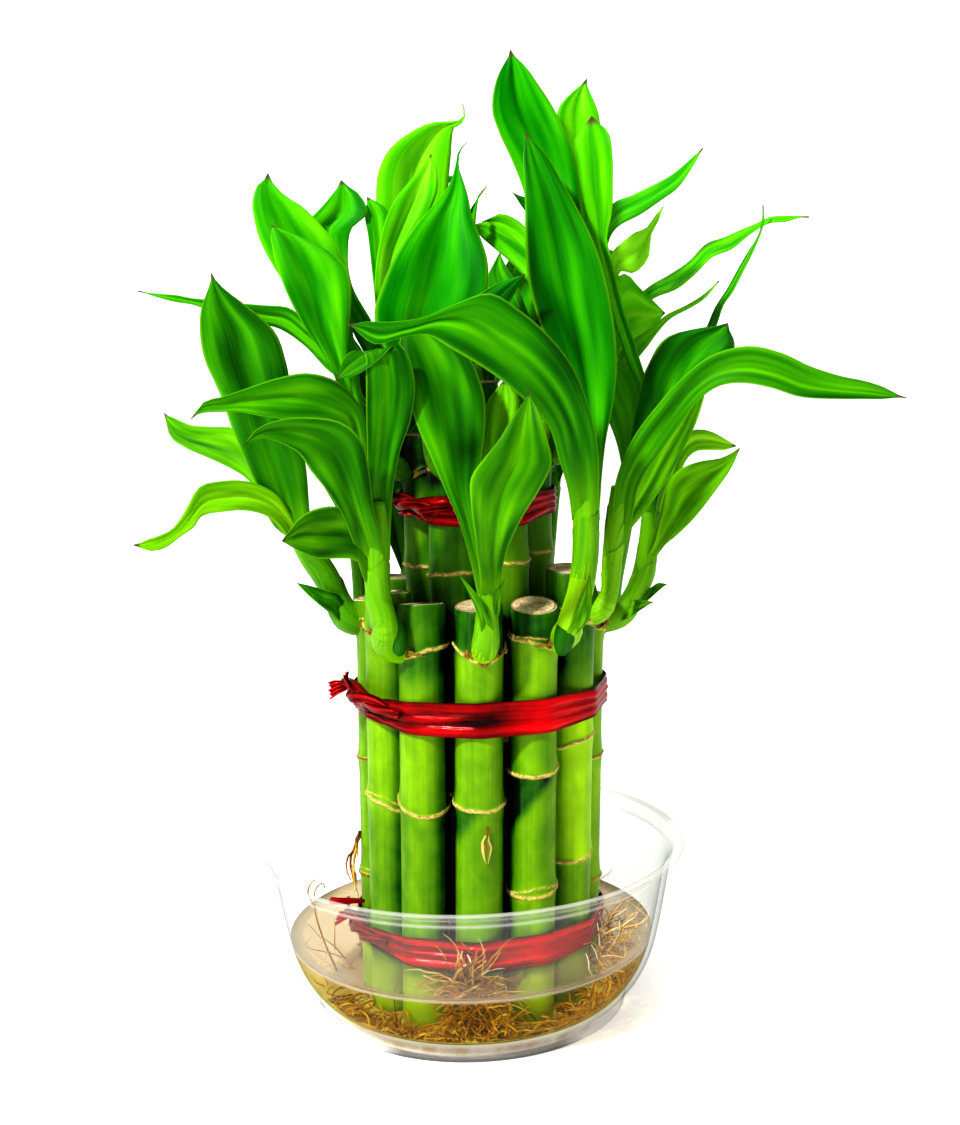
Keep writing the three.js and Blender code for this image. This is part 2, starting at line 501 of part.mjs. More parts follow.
       [24.58, 10.39, 210.6, 30.01, 12.32, 210.47, 35.19, 10.39, 209.9],
       [25.61, 10.55, 215.85, 30.07, 12.14, 215.61, 34.31, 10.55, 214.97],
       [28.27, 11.21, 218.61, 30.69, 12.07, 218.56, 32.99, 11.21, 218.28],
       [32.05, 11.97, 222.05, 32.14, 12, 222.05, 32.24, 11.97, 222.04]],
      [[31.73, 1.78, 152.87, 33.26, 1.78, 153.12, 34.8, 1.78, 153.37],
       [32.44, 8.79, 165.64, 34.22, 7.04, 165.84, 35.88, 4.13, 166.04],
       [32.6, 9.34, 176.26, 34.15, 7.8, 176.07, 35.6, 5.24, 175.85],
       [34.23, 10.63, 185.41, 35.42, 9.24, 184.61, 36.53, 6.94, 183.78],
       [38, 14.71, 192.6, 38.61, 12.36, 190.09, 39.06, 8.43, 187.52],
       [43.16, 18, 195.07, 43.88, 15.8, 192.78, 44.45, 12.13, 190.41],
       [49.11, 21.2, 198.04, 49.61, 19.28, 195.97, 49.95, 16.08, 193.84],
       [53.55, 23.39, 200.51, 54.06, 21.67, 198.68, 54.42, 18.81, 196.78],
       [57.69, 24.94, 203.66, 57.91, 23.87, 202.48, 58.03, 22.07, 201.24],
       [61.45, 26.09, 206.8, 61.53, 26, 206.79, 61.61, 25.85, 206.78]],
      [[31.29, 1.57, 150.67, 32.83, 1.57, 151.11, 34.37, 1.57, 151.55],
       [33.4, 3.13, 163.3, 35.59, 3.8, 163.83, 37.67, 3.13, 164.37],
       [34.47, 3.24, 173.75, 36.4, 3.82, 173.71, 38.23, 3.24, 173.66],
       [37.11, 5.74, 181.4, 38.34, 6.52, 179.2, 39.43, 5.74, 176.94],
       [40.31, 6.84, 184.16, 41.46, 8.08, 180.35, 42.38, 6.84, 176.44],
       [43.11, 8.71, 186.05, 44.74, 9.71, 183.26, 46.17, 8.71, 180.38],
       [45.66, 10.25, 187, 46.29, 10.6, 186.07, 46.84, 10.25, 185.11],
       [47.92, 11.1, 189.8, 48.3, 11.34, 189.11, 48.62, 11.1, 188.38],
       [50.08, 11.97, 192.37, 50.18, 12, 192.37, 50.27, 11.97, 192.37]],
      [[31.6, 1.71, 152.05, 33.12, 1.71, 152.45, 34.64, 1.71, 152.85],
       [33.67, 0.64, 162.16, 35.85, 1.79, 158.95, 37.83, 0.64, 155.78],
       [36.49, -0.56, 174.32, 37.58, 1.96, 166.24, 38.22, -0.56, 158.13],
       [39.69, 1.06, 176.12, 40.68, 3.43, 168.5, 41.21, 1.06, 160.82],
       [43.43, 3.57, 172.85, 44.16, 5.16, 167.73, 44.55, 3.57, 162.58],
       [46.98, 5.91, 169.77, 47.3, 6.74, 167.07, 47.43, 5.91, 164.37],
       [49.73, 7.97, 166.9, 49.83, 8, 166.9, 49.92, 7.97, 166.9]],
      [[31.47, 2.14, 151.28, 32.97, 2.14, 151.78, 34.48, 2.14, 152.28],
       [37.41, 7.02, 155.61, 39.15, 5.25, 155.15, 40.76, 2.28, 154.74],
       [42.11, 10.61, 160.66, 43.61, 8.85, 159.7, 44.96, 5.93, 158.78],
       [46.66, 11.88, 163.4, 47.28, 10.95, 162.68, 47.82, 9.4, 161.97],
       [51.34, 14.5, 166.64, 51.64, 13.94, 166.15, 51.89, 13.02, 165.67],
       [55.81, 16.94, 168.47, 56.11, 16.47, 168.1, 56.37, 15.68, 167.73],
       [60.32, 19.41, 170.81, 60.51, 19.01, 170.43, 60.65, 18.34, 170.06],
       [64.81, 22.09, 174.39, 64.89, 22, 174.39, 64.97, 21.85, 174.38]],
      [[31.14, 1.5, 150.04, 32.69, 1.5, 150.44, 34.24, 1.5, 150.85],
       [35.94, 11.15, 160.78, 37.69, 9.19, 160.54, 39.32, 6.06, 160.31],
       [41.81, 16.24, 168.78, 42.64, 14.85, 167.8, 43.38, 12.61, 166.82],
       [47.69, 20.66, 173.54, 48.25, 19.1, 172.17, 48.69, 16.6, 170.8],
       [52.55, 24.07, 175.93, 53.3, 22.16, 174.29, 53.89, 19.09, 172.64],
       [58.5, 27.59, 179.57, 59.15, 25.94, 178.16, 59.64, 23.3, 176.73],
       [62.99, 30.89, 183.79, 63.47, 29.07, 182.1, 63.78, 26.15, 180.38],
       [67.97, 33.76, 185.54, 68.69, 31.91, 183.95, 69.22, 28.96, 182.33],
       [72.84, 35.64, 187.52, 73.27, 34.43, 186.45, 73.57, 32.49, 185.35],
       [76.32, 36.63, 188.74, 76.57, 35.88, 188.07, 76.74, 34.68, 187.38],
       [80.35, 37.82, 190.47, 80.33, 37.03, 189.67, 80.23, 35.77, 188.85],
       [84.58, 38.57, 190.67, 84.43, 37.79, 189.87, 84.2, 36.54, 189.06],
       [87.89, 38.49, 190.59, 87.84, 38.23, 190.32, 87.76, 37.81, 190.05],
       [90.38, 38.6, 190.29, 90.46, 38.49, 190.28, 90.52, 38.32, 190.27]],
      [[31.29, -0.43, 137.77, 29.44, 0.08, 137.7, 27.59, 0.59, 137.64],
       [33.51, 2.3, 147.98, 30.26, 4.3, 147.1, 26.36, 4.18, 147.33],
       [35.37, 6.23, 157.97, 30.65, 8.99, 156.3, 24.95, 8.72, 156.37],
       [35.81, 11.31, 167.61, 30.52, 14.18, 165.24, 24.07, 13.71, 164.96],
       [34.82, 17.38, 176.62, 29.74, 19.85, 173.84, 23.52, 19.16, 173.19],
       [32.67, 24.06, 184.99, 28.21, 25.95, 182.04, 22.68, 25.05, 181.08],
       [29.27, 31.17, 192.48, 25.82, 32.38, 189.77, 21.51, 31.38, 188.69],
       [24.51, 38.46, 198.85, 22.49, 39.01, 196.96, 19.93, 38.2, 196.09],
       [18.24, 45.67, 203.63, 18.15, 45.69, 203.54, 18.05, 45.66, 203.51]],
    ],
  },
  shoot_inner_4: {
    stem: [[13.06, 18.75, 135.5, 2.4], [13.26, 19.3, 144, 2.2], [13.59, 20.2, 152.5, 2], [13.99, 21.31, 161, 1.8], [14.46, 22.58, 169.5, 1.6]],
    leaves: [
      [[14.84, 18.4, 147.43, 13.38, 19.63, 147.43, 11.92, 20.86, 147.42],
       [18.54, 18.04, 155.66, 15.33, 21.98, 155.09, 10.9, 24.47, 155.56],
       [22.64, 19.47, 163.4, 17.85, 25.08, 162.3, 11.44, 28.78, 163.15],
       [26.63, 22.93, 170.35, 21, 29.05, 168.81, 13.81, 33.34, 169.93],
       [30.48, 28.24, 176.06, 24.76, 33.89, 174.32, 17.85, 38.18, 175.58],
       [34.46, 34.77, 180.26, 29.03, 39.53, 178.56, 22.9, 43.51, 179.84],
       [38.26, 42.26, 182.65, 33.66, 45.79, 181.27, 28.85, 49.1, 182.41],
       [41.45, 50.42, 183.03, 38.46, 52.42, 182.24, 35.56, 54.57, 183],
       [43.28, 59.05, 181.35, 43.18, 59.12, 181.33, 43.09, 59.19, 181.35]],
      [[14.38, 21.82, 152.45, 13.59, 20.2, 152.53, 12.8, 18.59, 152.61],
       [13.14, 25.31, 160.54, 9.99, 22.35, 160.09, 9.39, 18.28, 161.47],
       [10.95, 29.51, 167.59, 6.18, 25.34, 167.25, 4.94, 19.72, 169.91],
       [7.94, 33.7, 173.85, 2.23, 29.32, 173.84, 0.28, 23.5, 177.59],
       [4.26, 38.1, 179.37, -1.66, 34.38, 179.67, -4.21, 29.46, 183.95],
       [0.44, 43.19, 184.17, -5.26, 40.52, 184.58, -8.22, 36.94, 188.87],
       [-3.48, 49.11, 188.18, -8.32, 47.64, 188.41, -11.29, 45.62, 191.98],
       [-7.5, 56.03, 191.17, -10.6, 55.57, 191, -12.86, 54.91, 193.08],
       [-11.8, 64.04, 192.24, -11.92, 64.02, 192.24, -12, 64, 192.32]],
      [[15.31, 19.77, 154.18, 13.66, 20.41, 154.23, 12.02, 21.05, 154.27],
       [17.74, 20.65, 161.66, 14.91, 23.12, 161.27, 11.25, 23.26, 162.18],
       [20.8, 22.58, 168.46, 16.71, 26.24, 168.02, 11.52, 26.68, 169.82],
       [23.71, 25.48, 174.65, 19.19, 29.78, 174.33, 13.59, 30.69, 176.93],
       [26.65, 29.24, 180.2, 22.48, 33.66, 180.04, 17.41, 35.08, 183.1],
       [30.07, 33.48, 185.08, 26.62, 37.75, 185.01, 22.53, 39.62, 188.14],
       [34.06, 38.21, 189.18, 31.62, 41.87, 189.07, 28.81, 43.93, 191.76],
       [38.7, 43.43, 192.3, 37.43, 45.83, 192.08, 36.03, 47.49, 193.73],
       [43.97, 49.34, 193.92, 43.91, 49.45, 193.92, 43.85, 49.52, 193.99]],
    ],
  },
  shoot_inner_5: {
    stem: [[-6.45, 18.1, 132.5, 2.4], [-6.74, 18.61, 141, 2.2], [-7.22, 19.44, 149.5, 2], [-7.81, 20.46, 158, 1.8], [-8.49, 21.63, 166.5, 1.6]],
    leaves: [
      [[-6.16, 20.5, 140.9, -6.74, 18.61, 141.02, -7.33, 16.72, 141.14],
       [-7.18, 23.98, 150.57, -9.5, 20.08, 150.93, -9.78, 15.66, 151.99],
       [-8.77, 28.12, 159.36, -12.18, 22.57, 160.66, -12.58, 16.34, 162.95],
       [-10.67, 32.2, 167.61, -14.48, 26.2, 170.12, -14.82, 19.5, 173.57],
       [-12.59, 36.43, 175.72, -16.01, 30.97, 179.22, -15.95, 24.85, 183.27],
       [-13.93, 41.37, 183.84, -16.31, 36.7, 187.88, -15.52, 31.47, 191.85],
       [-14.07, 46.81, 192.35, -14.99, 43.06, 195.99, -13.47, 38.91, 198.93],
       [-11.96, 52.05, 201.36, -11.79, 49.52, 203.46, -10.29, 46.86, 204.68],
       [-6.59, 55.58, 210.12, -6.58, 55.49, 210.19, -6.52, 55.39, 210.23]],
      [[-6.72, 20.92, 145.93, -7.02, 19.08, 146.13, -7.32, 17.24, 146.33],
       [-8.52, 23.87, 152.34, -10.34, 20.37, 152.92, -10.27, 16.74, 154.59],
       [-10.6, 27.62, 157.14, -13.78, 23.18, 159.16, -14.2, 18.62, 162.77],
       [-12.78, 31.44, 160.77, -16.72, 27.74, 164.58, -17.38, 23.86, 169.89],
       [-15.6, 35.95, 163.43, -18.34, 33.88, 168.87, -17.62, 31.43, 174.77],
       [-21.51, 43.09, 167.71, -17.94, 40.97, 171.76, -12.76, 38.72, 173.08],
       [-18.7, 50.96, 173.88, -15.2, 48.02, 173.02, -12.67, 45.68, 169.89],
       [-11.51, 56.37, 173.54, -10.36, 53.94, 172.5, -10.05, 52.13, 170.27],
       [-4.27, 57.98, 170.18, -4.22, 57.88, 170.13, -4.21, 57.81, 170.04]],
    ],
  },
  shoot_inner_6: {
    stem: [[-15.55, -4.6, 128.5, 2.36], [-16.01, -3.75, 134.2, 2.35], [-15.37, -2, 143.55, 2.35], [-15.85, 0, 153.99, 2.12]],
    leaves: [
      [[-17.28, -0.41, 151.46, -15.73, -0.41, 151.88, -14.19, -0.41, 152.29],
       [-24.5, 1.23, 164.64, -22.17, 2, 165.51, -19.74, 1.23, 166.39],
       [-28.28, 2.85, 174, -26.32, 3.49, 174.55, -24.25, 2.85, 175.07],
       [-31.98, 3.36, 182.87, -28.57, 4.44, 182.83, -24.96, 3.36, 182.71],
       [-35.73, 2.9, 187.52, -30.05, 4.7, 187.72, -24.04, 2.9, 187.71],
       [-32.07, 3.01, 191.78, -26.15, 4.88, 192, -19.93, 3.01, 191.97],
       [-29.02, 4.14, 194.99, -25.58, 5.24, 195.56, -21.97, 4.14, 195.97],
       [-26.28, 5.74, 199.38, -26.19, 5.77, 199.39, -26.09, 5.74, 199.38]],
      [[-17.28, -0.41, 151.49, -15.73, -0.41, 151.88, -14.18, -0.41, 152.27],
       [-17.69, 0, 155.2, -15.56, 0, 155.73, -13.43, 0, 156.27],
       [-18.72, 1.27, 169.14, -16.4, 2.01, 169.67, -13.99, 1.27, 170.19],
       [-19.62, 2.88, 180.27, -17.08, 3.69, 180.47, -14.45, 2.88, 180.61],
       [-20.15, 3.46, 186.51, -17.61, 4.28, 186.84, -14.98, 3.46, 187.08],
       [-20.72, 3.78, 190.89, -18.07, 4.65, 191.57, -15.3, 3.78, 192.14],
       [-20.46, 4.54, 193.22, -19.07, 5, 193.68, -17.62, 4.54, 194.07],
       [-20.32, 5.63, 195.36, -20.23, 5.66, 195.36, -20.13, 5.63, 195.35]],
      [[-17.33, -0.41, 151.75, -15.73, -0.41, 151.88, -14.14, -0.41, 152],
       [-16.06, 2.77, 166.76, -11.75, 4.33, 167.24, -7.34, 3.66, 167.73],
       [-17.15, 5.08, 180.75, -10.4, 7.53, 181.27, -3.49, 6.48, 181.65],
       [-18.2, 6.03, 193.5, -9.96, 9.02, 194.1, -1.53, 7.74, 194.4],
       [-17.2, 5.37, 201.43, -9.13, 8.32, 201.28, -0.88, 7.06, 200.76],
       [-14.18, 4.38, 206.48, -7.3, 6.91, 206.02, -0.28, 5.83, 205.19],
       [-9.64, 3.79, 209.7, -4.84, 5.57, 209.11, 0.05, 4.81, 208.24],
       [-4.47, 3.47, 211.79, -1.96, 4.42, 211.17, 0.58, 4.01, 210.4],
       [0.16, 3.29, 211.89, 0.84, 3.61, 211.36, 1.52, 3.47, 210.76],
       [2.49, 2.97, 212.25, 2.71, 3.09, 212.04, 2.94, 3.04, 211.8],
       [2.78, 2.39, 214.41, 3.01, 2.47, 214.41, 3.24, 2.43, 214.4],
       [2.27, 1.97, 216.15, 2.36, 2, 216.15, 2.45, 1.99, 216.15]],
      [[-17.3, -0.41, 151.58, -15.73, -0.41, 151.88, -14.16, -0.41, 152.17],
       [-17.89, -5.8, 166.83, -15.88, -4.64, 167.01, -13.78, -4.95, 167.19],
       [-18.23, -7.28, 174.74, -15.67, -5.77, 175.27, -12.99, -6.18, 175.77],
       [-17.23, -8.09, 182.53, -13.69, -6.01, 183.09, -10, -6.58, 183.55],
       [-15.19, -8.15, 189.59, -10.54, -5.46, 189.98, -5.72, -6.19, 190.16],
       [-12.83, -7.28, 194.02, -8.26, -4.61, 194.78, -3.55, -5.34, 195.29],
       [-9.39, -5.34, 198.08, -6.46, -3.58, 199.05, -3.46, -4.06, 199.83],
       [-6.4, -3.42, 201.51, -5.27, -2.75, 201.88, -4.11, -2.93, 202.17],
       [-4.85, -2.05, 204.27, -4.76, -2, 204.28, -4.67, -2.01, 204.27]],
      [[-15.6, -1.34, 135.93, -15.94, -3.42, 136.04, -16.29, -5.51, 136.15],
       [-17.09, 1.35, 142.55, -18.9, -2.59, 142.56, -18.63, -6.76, 143.69],
       [-19.22, 4.52, 148.3, -22.08, -1.09, 148.86, -21.98, -6.98, 151.19],
       [-21.8, 7.26, 153.5, -25.41, 1.21, 154.84, -25.72, -5.08, 158.29],
       [-24.79, 9.81, 158.34, -28.73, 4.41, 160.39, -29.47, -1.16, 164.53],
       [-27.88, 12.79, 162.87, -31.8, 8.57, 165.42, -32.84, 4.2, 169.84],
       [-31.03, 16.36, 167.22, -34.4, 13.65, 169.83, -35.41, 10.8, 173.88],
       [-34.18, 20.74, 171.53, -36.28, 19.55, 173.53, -36.87, 18.24, 176.31],
       [-37.15, 26.14, 176.34, -37.23, 26.09, 176.42, -37.25, 26.04, 176.53]],
      [[-15.45, -0.03, 142.7, -15.39, -2.14, 142.8, -15.32, -4.26, 142.9],
       [-17.61, 2.16, 148.93, -18.51, -1.95, 148.9, -17.48, -5.9, 149.88],
       [-20.27, 4.66, 154.56, -21.7, -1.29, 154.94, -20.32, -6.97, 156.79],
       [-23.15, 6.53, 159.94, -24.91, -0.13, 160.9, -23.48, -6.43, 163.48],
       [-26.23, 7.89, 165.28, -28.08, 1.55, 166.75, -26.79, -4.39, 169.73],
       [-29.36, 9.31, 170.65, -31.13, 3.76, 172.49, -30.01, -1.38, 175.58],
       [-32.52, 10.8, 176.19, -33.97, 6.52, 178.09, -33.06, 2.6, 180.88],
       [-35.64, 12.33, 182.1, -36.51, 9.81, 183.55, -35.88, 7.52, 185.44],
       [-38.63, 13.7, 188.79, -38.66, 13.6, 188.85, -38.63, 13.51, 188.93]],
    ],
  },
  shoot_outer_01: {
    stem: [[5.38, -33.5, 94.69, 2.42], [5.53, -34, 101.5, 2.52], [5.86, -34, 106.38, 1.96], [6.62, -34, 111.46, 1.85]],
    leaves: [
      [[4.32, -34, 105.97, 6.39, -34, 105.93, 8.47, -34, 105.88],
       [4.04, -41.41, 113.83, 6.61, -40.53, 114.17, 9.17, -41.41, 114.79],
       [3.38, -46.55, 122.09, 7.13, -45.27, 121.3, 10.87, -46.55, 120.86],
       [2.71, -50.42, 128.88, 8.16, -48.54, 127.49, 13.57, -50.42, 126.56],
       [2.85, -53.21, 134.74, 9.99, -50.76, 133.29, 17.05, -53.21, 132.37],
       [5.58, -54.16, 138.64, 12.51, -51.8, 137.95, 19.33, -54.16, 137.71],
       [8.7, -53.64, 142.37, 13.61, -51.98, 142.33, 18.41, -53.64, 142.55],
       [11.23, -52.52, 146.27, 14.21, -51.5, 146.65, 17.12, -52.52, 147.15],
       [13.56, -51.22, 149.38, 14.79, -50.8, 149.53, 16, -51.22, 149.73],
       [14.98, -50.03, 151.92, 15.07, -50, 151.91, 15.15, -50.03, 151.91]],
      [[3.67, -34, 106.43, 5.42, -34, 106.39, 7.17, -34, 106.35],
       [2.13, -34.92, 115.01, 3.86, -34.48, 114.68, 5.59, -34.92, 114.49],
       [0.16, -35.19, 122.75, 2.3, -34.64, 122.08, 4.45, -35.19, 121.56],
       [-2.88, -35.13, 130.41, 0.44, -34.3, 130.03, 3.78, -35.13, 129.83],
       [-5.91, -34.82, 138, -0.35, -33.42, 137.75, 5.25, -34.82, 137.74],
       [-8.94, -33.96, 145.51, -1.35, -32.05, 145.75, 6.3, -33.96, 146.23],
       [-10.89, -32.63, 154.03, -2.69, -30.54, 153.22, 5.59, -32.63, 152.59],
       [-12.29, -30.62, 160.39, -5.45, -28.88, 160.41, 1.48, -30.62, 160.51],
       [-10.17, -27.02, 167.14, -10.09, -27, 167.14, -10, -27.02, 167.14]],
      [[4.94, -34, 110.3, 6.43, -34, 110.26, 7.93, -34, 110.23],
       [5.17, -34, 114.8, 6.58, -34, 114.76, 8, -34, 114.73],
       [4.55, -30.43, 125.32, 6.98, -29.69, 125.73, 9.39, -30.43, 126.31],
       [4.32, -27.74, 133.84, 7.64, -26.7, 134.76, 10.95, -27.74, 135.89],
       [4.91, -25.98, 140.27, 8.58, -24.84, 141.2, 12.21, -25.98, 142.3],
       [5.94, -24.56, 146.75, 9.82, -23.39, 146.81, 13.66, -24.56, 147.01],
       [8.02, -23.24, 150.58, 10.47, -22.5, 150.71, 12.89, -23.24, 150.91],
       [10.44, -22.03, 153.11, 10.53, -22, 153.11, 10.61, -22.03, 153.11]],
      [[4.61, -33.55, 95.16, 5.83, -33.55, 95.14, 7.06, -33.55, 95.11],
       [3.92, -36.6, 100.53, 5.28, -36.18, 100.82, 6.63, -36.6, 101.28],
       [2.88, -38.24, 105.36, 3.76, -37.94, 105.83, 4.64, -38.24, 106.41],
       [1.47, -39.16, 108.9, 2, -38.99, 109.13, 2.55, -39.16, 109.42],
       [-0.31, -40.02, 112.84, -0.26, -40, 112.83, -0.2, -40.02, 112.84]],
      [[4.64, -33.77, 97.47, 5.44, -33.77, 97.99, 6.24, -33.77, 98.51],
       [7.08, -35.69, 103.12, 7.74, -35.47, 103.4, 8.39, -35.69, 103.75],
       [7.89, -37.12, 107.78, 8.36, -36.96, 108.07, 8.82, -37.12, 108.42],
       [9.54, -38.02, 111.41, 9.59, -38, 111.4, 9.64, -38.02, 111.4]],
    ],
  },
  shoot_outer_02: {
    stem: [[22.41, -27.5, 92.99, 2.24], [24.06, -27.5, 99.33, 2.79], [26.38, -27.5, 106.08, 2.89], [27.61, -27, 113.18, 2.89], [27.94, -27, 122.13, 2.88], [28.03, -27, 129.24, 2.87]],
    leaves: [
      [[24.85, -27, 122.2, 27.94, -27, 122.13, 31.04, -27, 122.06],
       [23.78, -31.68, 129.41, 27.23, -30.62, 129.22, 30.61, -30.55, 129.13],
       [21.9, -36.16, 135.98, 26.1, -34.22, 136.45, 30.2, -34.09, 137.1],
       [18.59, -41.69, 145.39, 23.04, -39.43, 147.24, 27.4, -39.28, 149.23],
       [13.74, -45.73, 150.3, 18.89, -42.78, 153.76, 23.94, -42.59, 157.36],
       [8.83, -48.87, 154.64, 14.11, -45.62, 158.89, 19.33, -45.41, 163.25],
       [4.01, -51.53, 158.07, 8.81, -48.18, 163.12, 13.6, -47.96, 168.24],
       [-0.73, -53.64, 161.03, 3.19, -50.43, 166.37, 7.15, -50.23, 171.76],
       [-5.05, -54.15, 163.71, -2.32, -52.18, 166.7, 0.47, -52.06, 169.71],
       [-10.6, -55.37, 163.26, -8.61, -54.03, 165.17, -6.56, -53.94, 167.1],
       [-15.73, -56.71, 162.22, -14.64, -55.55, 164.34, -13.48, -55.48, 166.47],
       [-19.19, -57.07, 164.65, -18.6, -56.48, 165.71, -17.97, -56.44, 166.78],
       [-21.19, -57.04, 166.26, -21.12, -57, 166.26, -21.04, -57, 166.26]],
      [[26.2, -27, 124.4, 28.64, -27, 124.9, 31.07, -27, 125.39],
       [27.68, -26.01, 130.91, 29.7, -25.61, 131.38, 31.66, -26.01, 131.93],
       [26.98, -24.82, 139.67, 29.92, -23.96, 139.54, 32.72, -24.82, 139.54],
       [24.09, -23.78, 149.58, 29.49, -22.17, 148.83, 34.66, -23.78, 148.24],
       [20.77, -22.74, 159.47, 28.28, -20.47, 158.15, 35.5, -22.74, 156.95],
       [18.08, -21.55, 167.14, 26.61, -18.99, 166.62, 34.81, -21.55, 166.11],
       [16.28, -20.24, 174.79, 24.92, -17.64, 174.88, 33.24, -20.24, 174.84],
       [15.83, -18.71, 183.51, 23.55, -16.37, 183.12, 31.02, -18.71, 182.52],
       [16, -17.09, 190.07, 21.83, -15.32, 190.28, 27.48, -17.09, 190.25],
       [15.95, -15.62, 196.65, 19.98, -14.39, 196.88, 23.91, -15.62, 196.9],
       [15.87, -14.41, 202.14, 18.33, -13.66, 202.38, 20.74, -14.41, 202.46],
       [16.36, -13.03, 207.44, 16.45, -13, 207.44, 16.54, -13.03, 207.43]],
      [[21.28, -27.5, 94.27, 22.83, -27.5, 94.67, 24.38, -27.5, 95.06],
       [24.3, -30.93, 100.01, 26.33, -30.41, 100.64, 28.3, -30.93, 101.49],
       [26.08, -31.73, 105.05, 27.43, -31.39, 105.4, 28.73, -31.73, 105.88],
       [28.31, -31.02, 110.45, 28.4, -31, 110.45, 28.48, -31.02, 110.45]],
    ],
  },
  shoot_outer_03: {
    stem: [[32.95, -15.21, 95.25, 2.08], [33.39, -15, 101.82, 2.31], [34.64, -15, 111.13, 2.3], [35.78, -16, 120.51, 2.51], [36.89, -17, 127.94, 2.5]],
    leaves: [
      [[34.86, -16.58, 124.53, 36.42, -16.58, 124.89, 37.98, -16.58, 125.24],
       [37.36, -12.41, 132.72, 39.62, -12.83, 133.51, 41.74, -14.5, 134.42],
       [40.08, -8.81, 141.57, 42.34, -9.28, 142.13, 44.44, -11.16, 142.78],
       [41.63, -7.62, 147.68, 42.99, -7.9, 147.89, 44.25, -9.02, 148.15],
       [38.54, -7.07, 158.27, 40, -7.38, 158.47, 41.38, -8.59, 158.69],
       [35.4, -7.22, 168.34, 36.86, -7.52, 168.53, 38.24, -8.74, 168.72],
       [33.63, -7.52, 176.93, 34.98, -7.81, 177.34, 36.24, -8.99, 177.72],
       [32.08, -7.87, 183.21, 33.42, -8.16, 183.5, 34.69, -9.31, 183.75],
       [30.33, -7.88, 189.25, 33.12, -8.47, 189.48, 35.74, -10.83, 189.6],
       [28.85, -7.66, 195.93, 32.52, -8.43, 196.11, 35.97, -11.54, 196.11],
       [28.28, -7.03, 201.5, 32.28, -7.88, 201.55, 36.04, -11.26, 201.35],
       [27.72, -6.14, 205.99, 31.73, -7, 206.36, 35.49, -10.41, 206.44],
       [29.15, -5.63, 209.09, 31.82, -6.2, 209.4, 34.34, -8.49, 209.51],
       [31.8, -5.6, 211.22, 31.89, -5.61, 211.22, 31.97, -5.69, 211.21]],
      [[34.51, -16.26, 122.23, 36.07, -16.26, 122.59, 37.63, -16.26, 122.94],
       [37.08, -15.1, 129.56, 39.92, -14.11, 130.07, 42.56, -15.1, 130.8],
       [38.64, -13.65, 136.24, 42.44, -12.35, 136.5, 45.95, -13.65, 136.99],
       [40.72, -11.83, 145.65, 47.16, -9.6, 146.51, 53.06, -11.83, 147.64],
       [43.84, -8.9, 155.23, 51.88, -6.16, 154.62, 59.21, -8.9, 154.2],
       [49.78, -5.62, 162.1, 57.32, -2.99, 160.05, 64.1, -5.62, 158.11],
       [57.86, -2.45, 163.49, 61.31, -1.21, 162.13, 64.38, -2.45, 160.81],
       [63.5, -0.03, 164.27, 63.6, 0, 164.26, 63.69, -0.03, 164.26]],
      [[33.72, -15, 111.16, 35.33, -15, 111.12, 36.93, -15, 111.08],
       [34.25, -17.82, 120.78, 36.67, -17.53, 120.69, 38.97, -18.39, 120.75],
       [35.25, -20.33, 130.14, 37.98, -19.92, 129.81, 40.55, -21.14, 129.66],
       [38.68, -22.62, 139.23, 42.07, -22.09, 138, 45.22, -23.67, 136.95],
       [43.63, -24.35, 146.31, 46.89, -23.83, 144.88, 49.88, -25.39, 143.6],
       [49.42, -25.71, 152.8, 51.67, -25.26, 150.66, 53.67, -26.62, 148.61],
       [55.8, -26.95, 157.68, 56.98, -26.42, 154.4, 57.83, -27.99, 151.19],
       [63.43, -28.11, 159.47, 63.23, -27.5, 155.48, 62.6, -29.32, 151.57],
       [70.62, -29.12, 157.83, 69.68, -28.52, 154.07, 68.28, -30.31, 150.4],
       [76.52, -29.96, 154.93, 75.59, -29.43, 151.6, 74.21, -31.02, 148.37],
       [82.86, -30.72, 152.67, 82.44, -30.34, 150.19, 81.67, -31.49, 147.79],
       [88.77, -31.35, 151.27, 88.54, -31.07, 149.44, 88.04, -31.91, 147.67],
       [93.01, -31.72, 149.69, 92.86, -31.55, 148.61, 92.53, -32.05, 147.57],
       [96.98, -32.01, 147.68, 97.07, -32, 147.68, 97.14, -32.04, 147.68]],
      [[33.61, -15.43, 115.91, 35.2, -15.43, 115.87, 36.8, -15.43, 115.83],
       [37.22, -18, 124.17, 40.24, -17.27, 124.01, 43.11, -18, 124.03],
       [40.71, -19.81, 132.22, 44.17, -18.95, 131.49, 47.45, -19.81, 130.94],
       [43.94, -21.27, 137.89, 47.28, -20.45, 137.41, 50.42, -21.27, 137.07],
       [47.57, -22.74, 143.47, 50.44, -22.05, 143.36, 53.12, -22.74, 143.35],
       [51, -23.71, 147.86, 52.83, -23.26, 148.02, 54.53, -23.71, 148.22],
       [54.84, -24.02, 150.43, 54.93, -24, 150.42, 55.01, -24.02, 150.42]],
    ],
  },
  shoot_outer_04: {
    stem: [[36.83, 1, 93.4, 2.18], [40.25, 1, 98.23, 2.65], [43.33, 0, 104.94, 2.64], [44.57, 0, 112.18, 2.39], [45.33, 0, 120.12, 2.15]],
    leaves: [
      [[43.11, 0, 113.37, 44.71, 0, 113.34, 46.31, 0, 113.3],
       [46.53, 2.12, 120.31, 48.39, 2.66, 119.96, 50.12, 2.12, 119.75],
       [49, 4.44, 127.24, 50.74, 4.97, 126.66, 52.36, 4.44, 126.19],
       [51.4, 6.14, 133.3, 52.91, 6.66, 132.25, 54.28, 6.14, 131.3],
       [55.16, 7.15, 138.44, 56.35, 7.91, 136.06, 57.32, 7.15, 133.8],
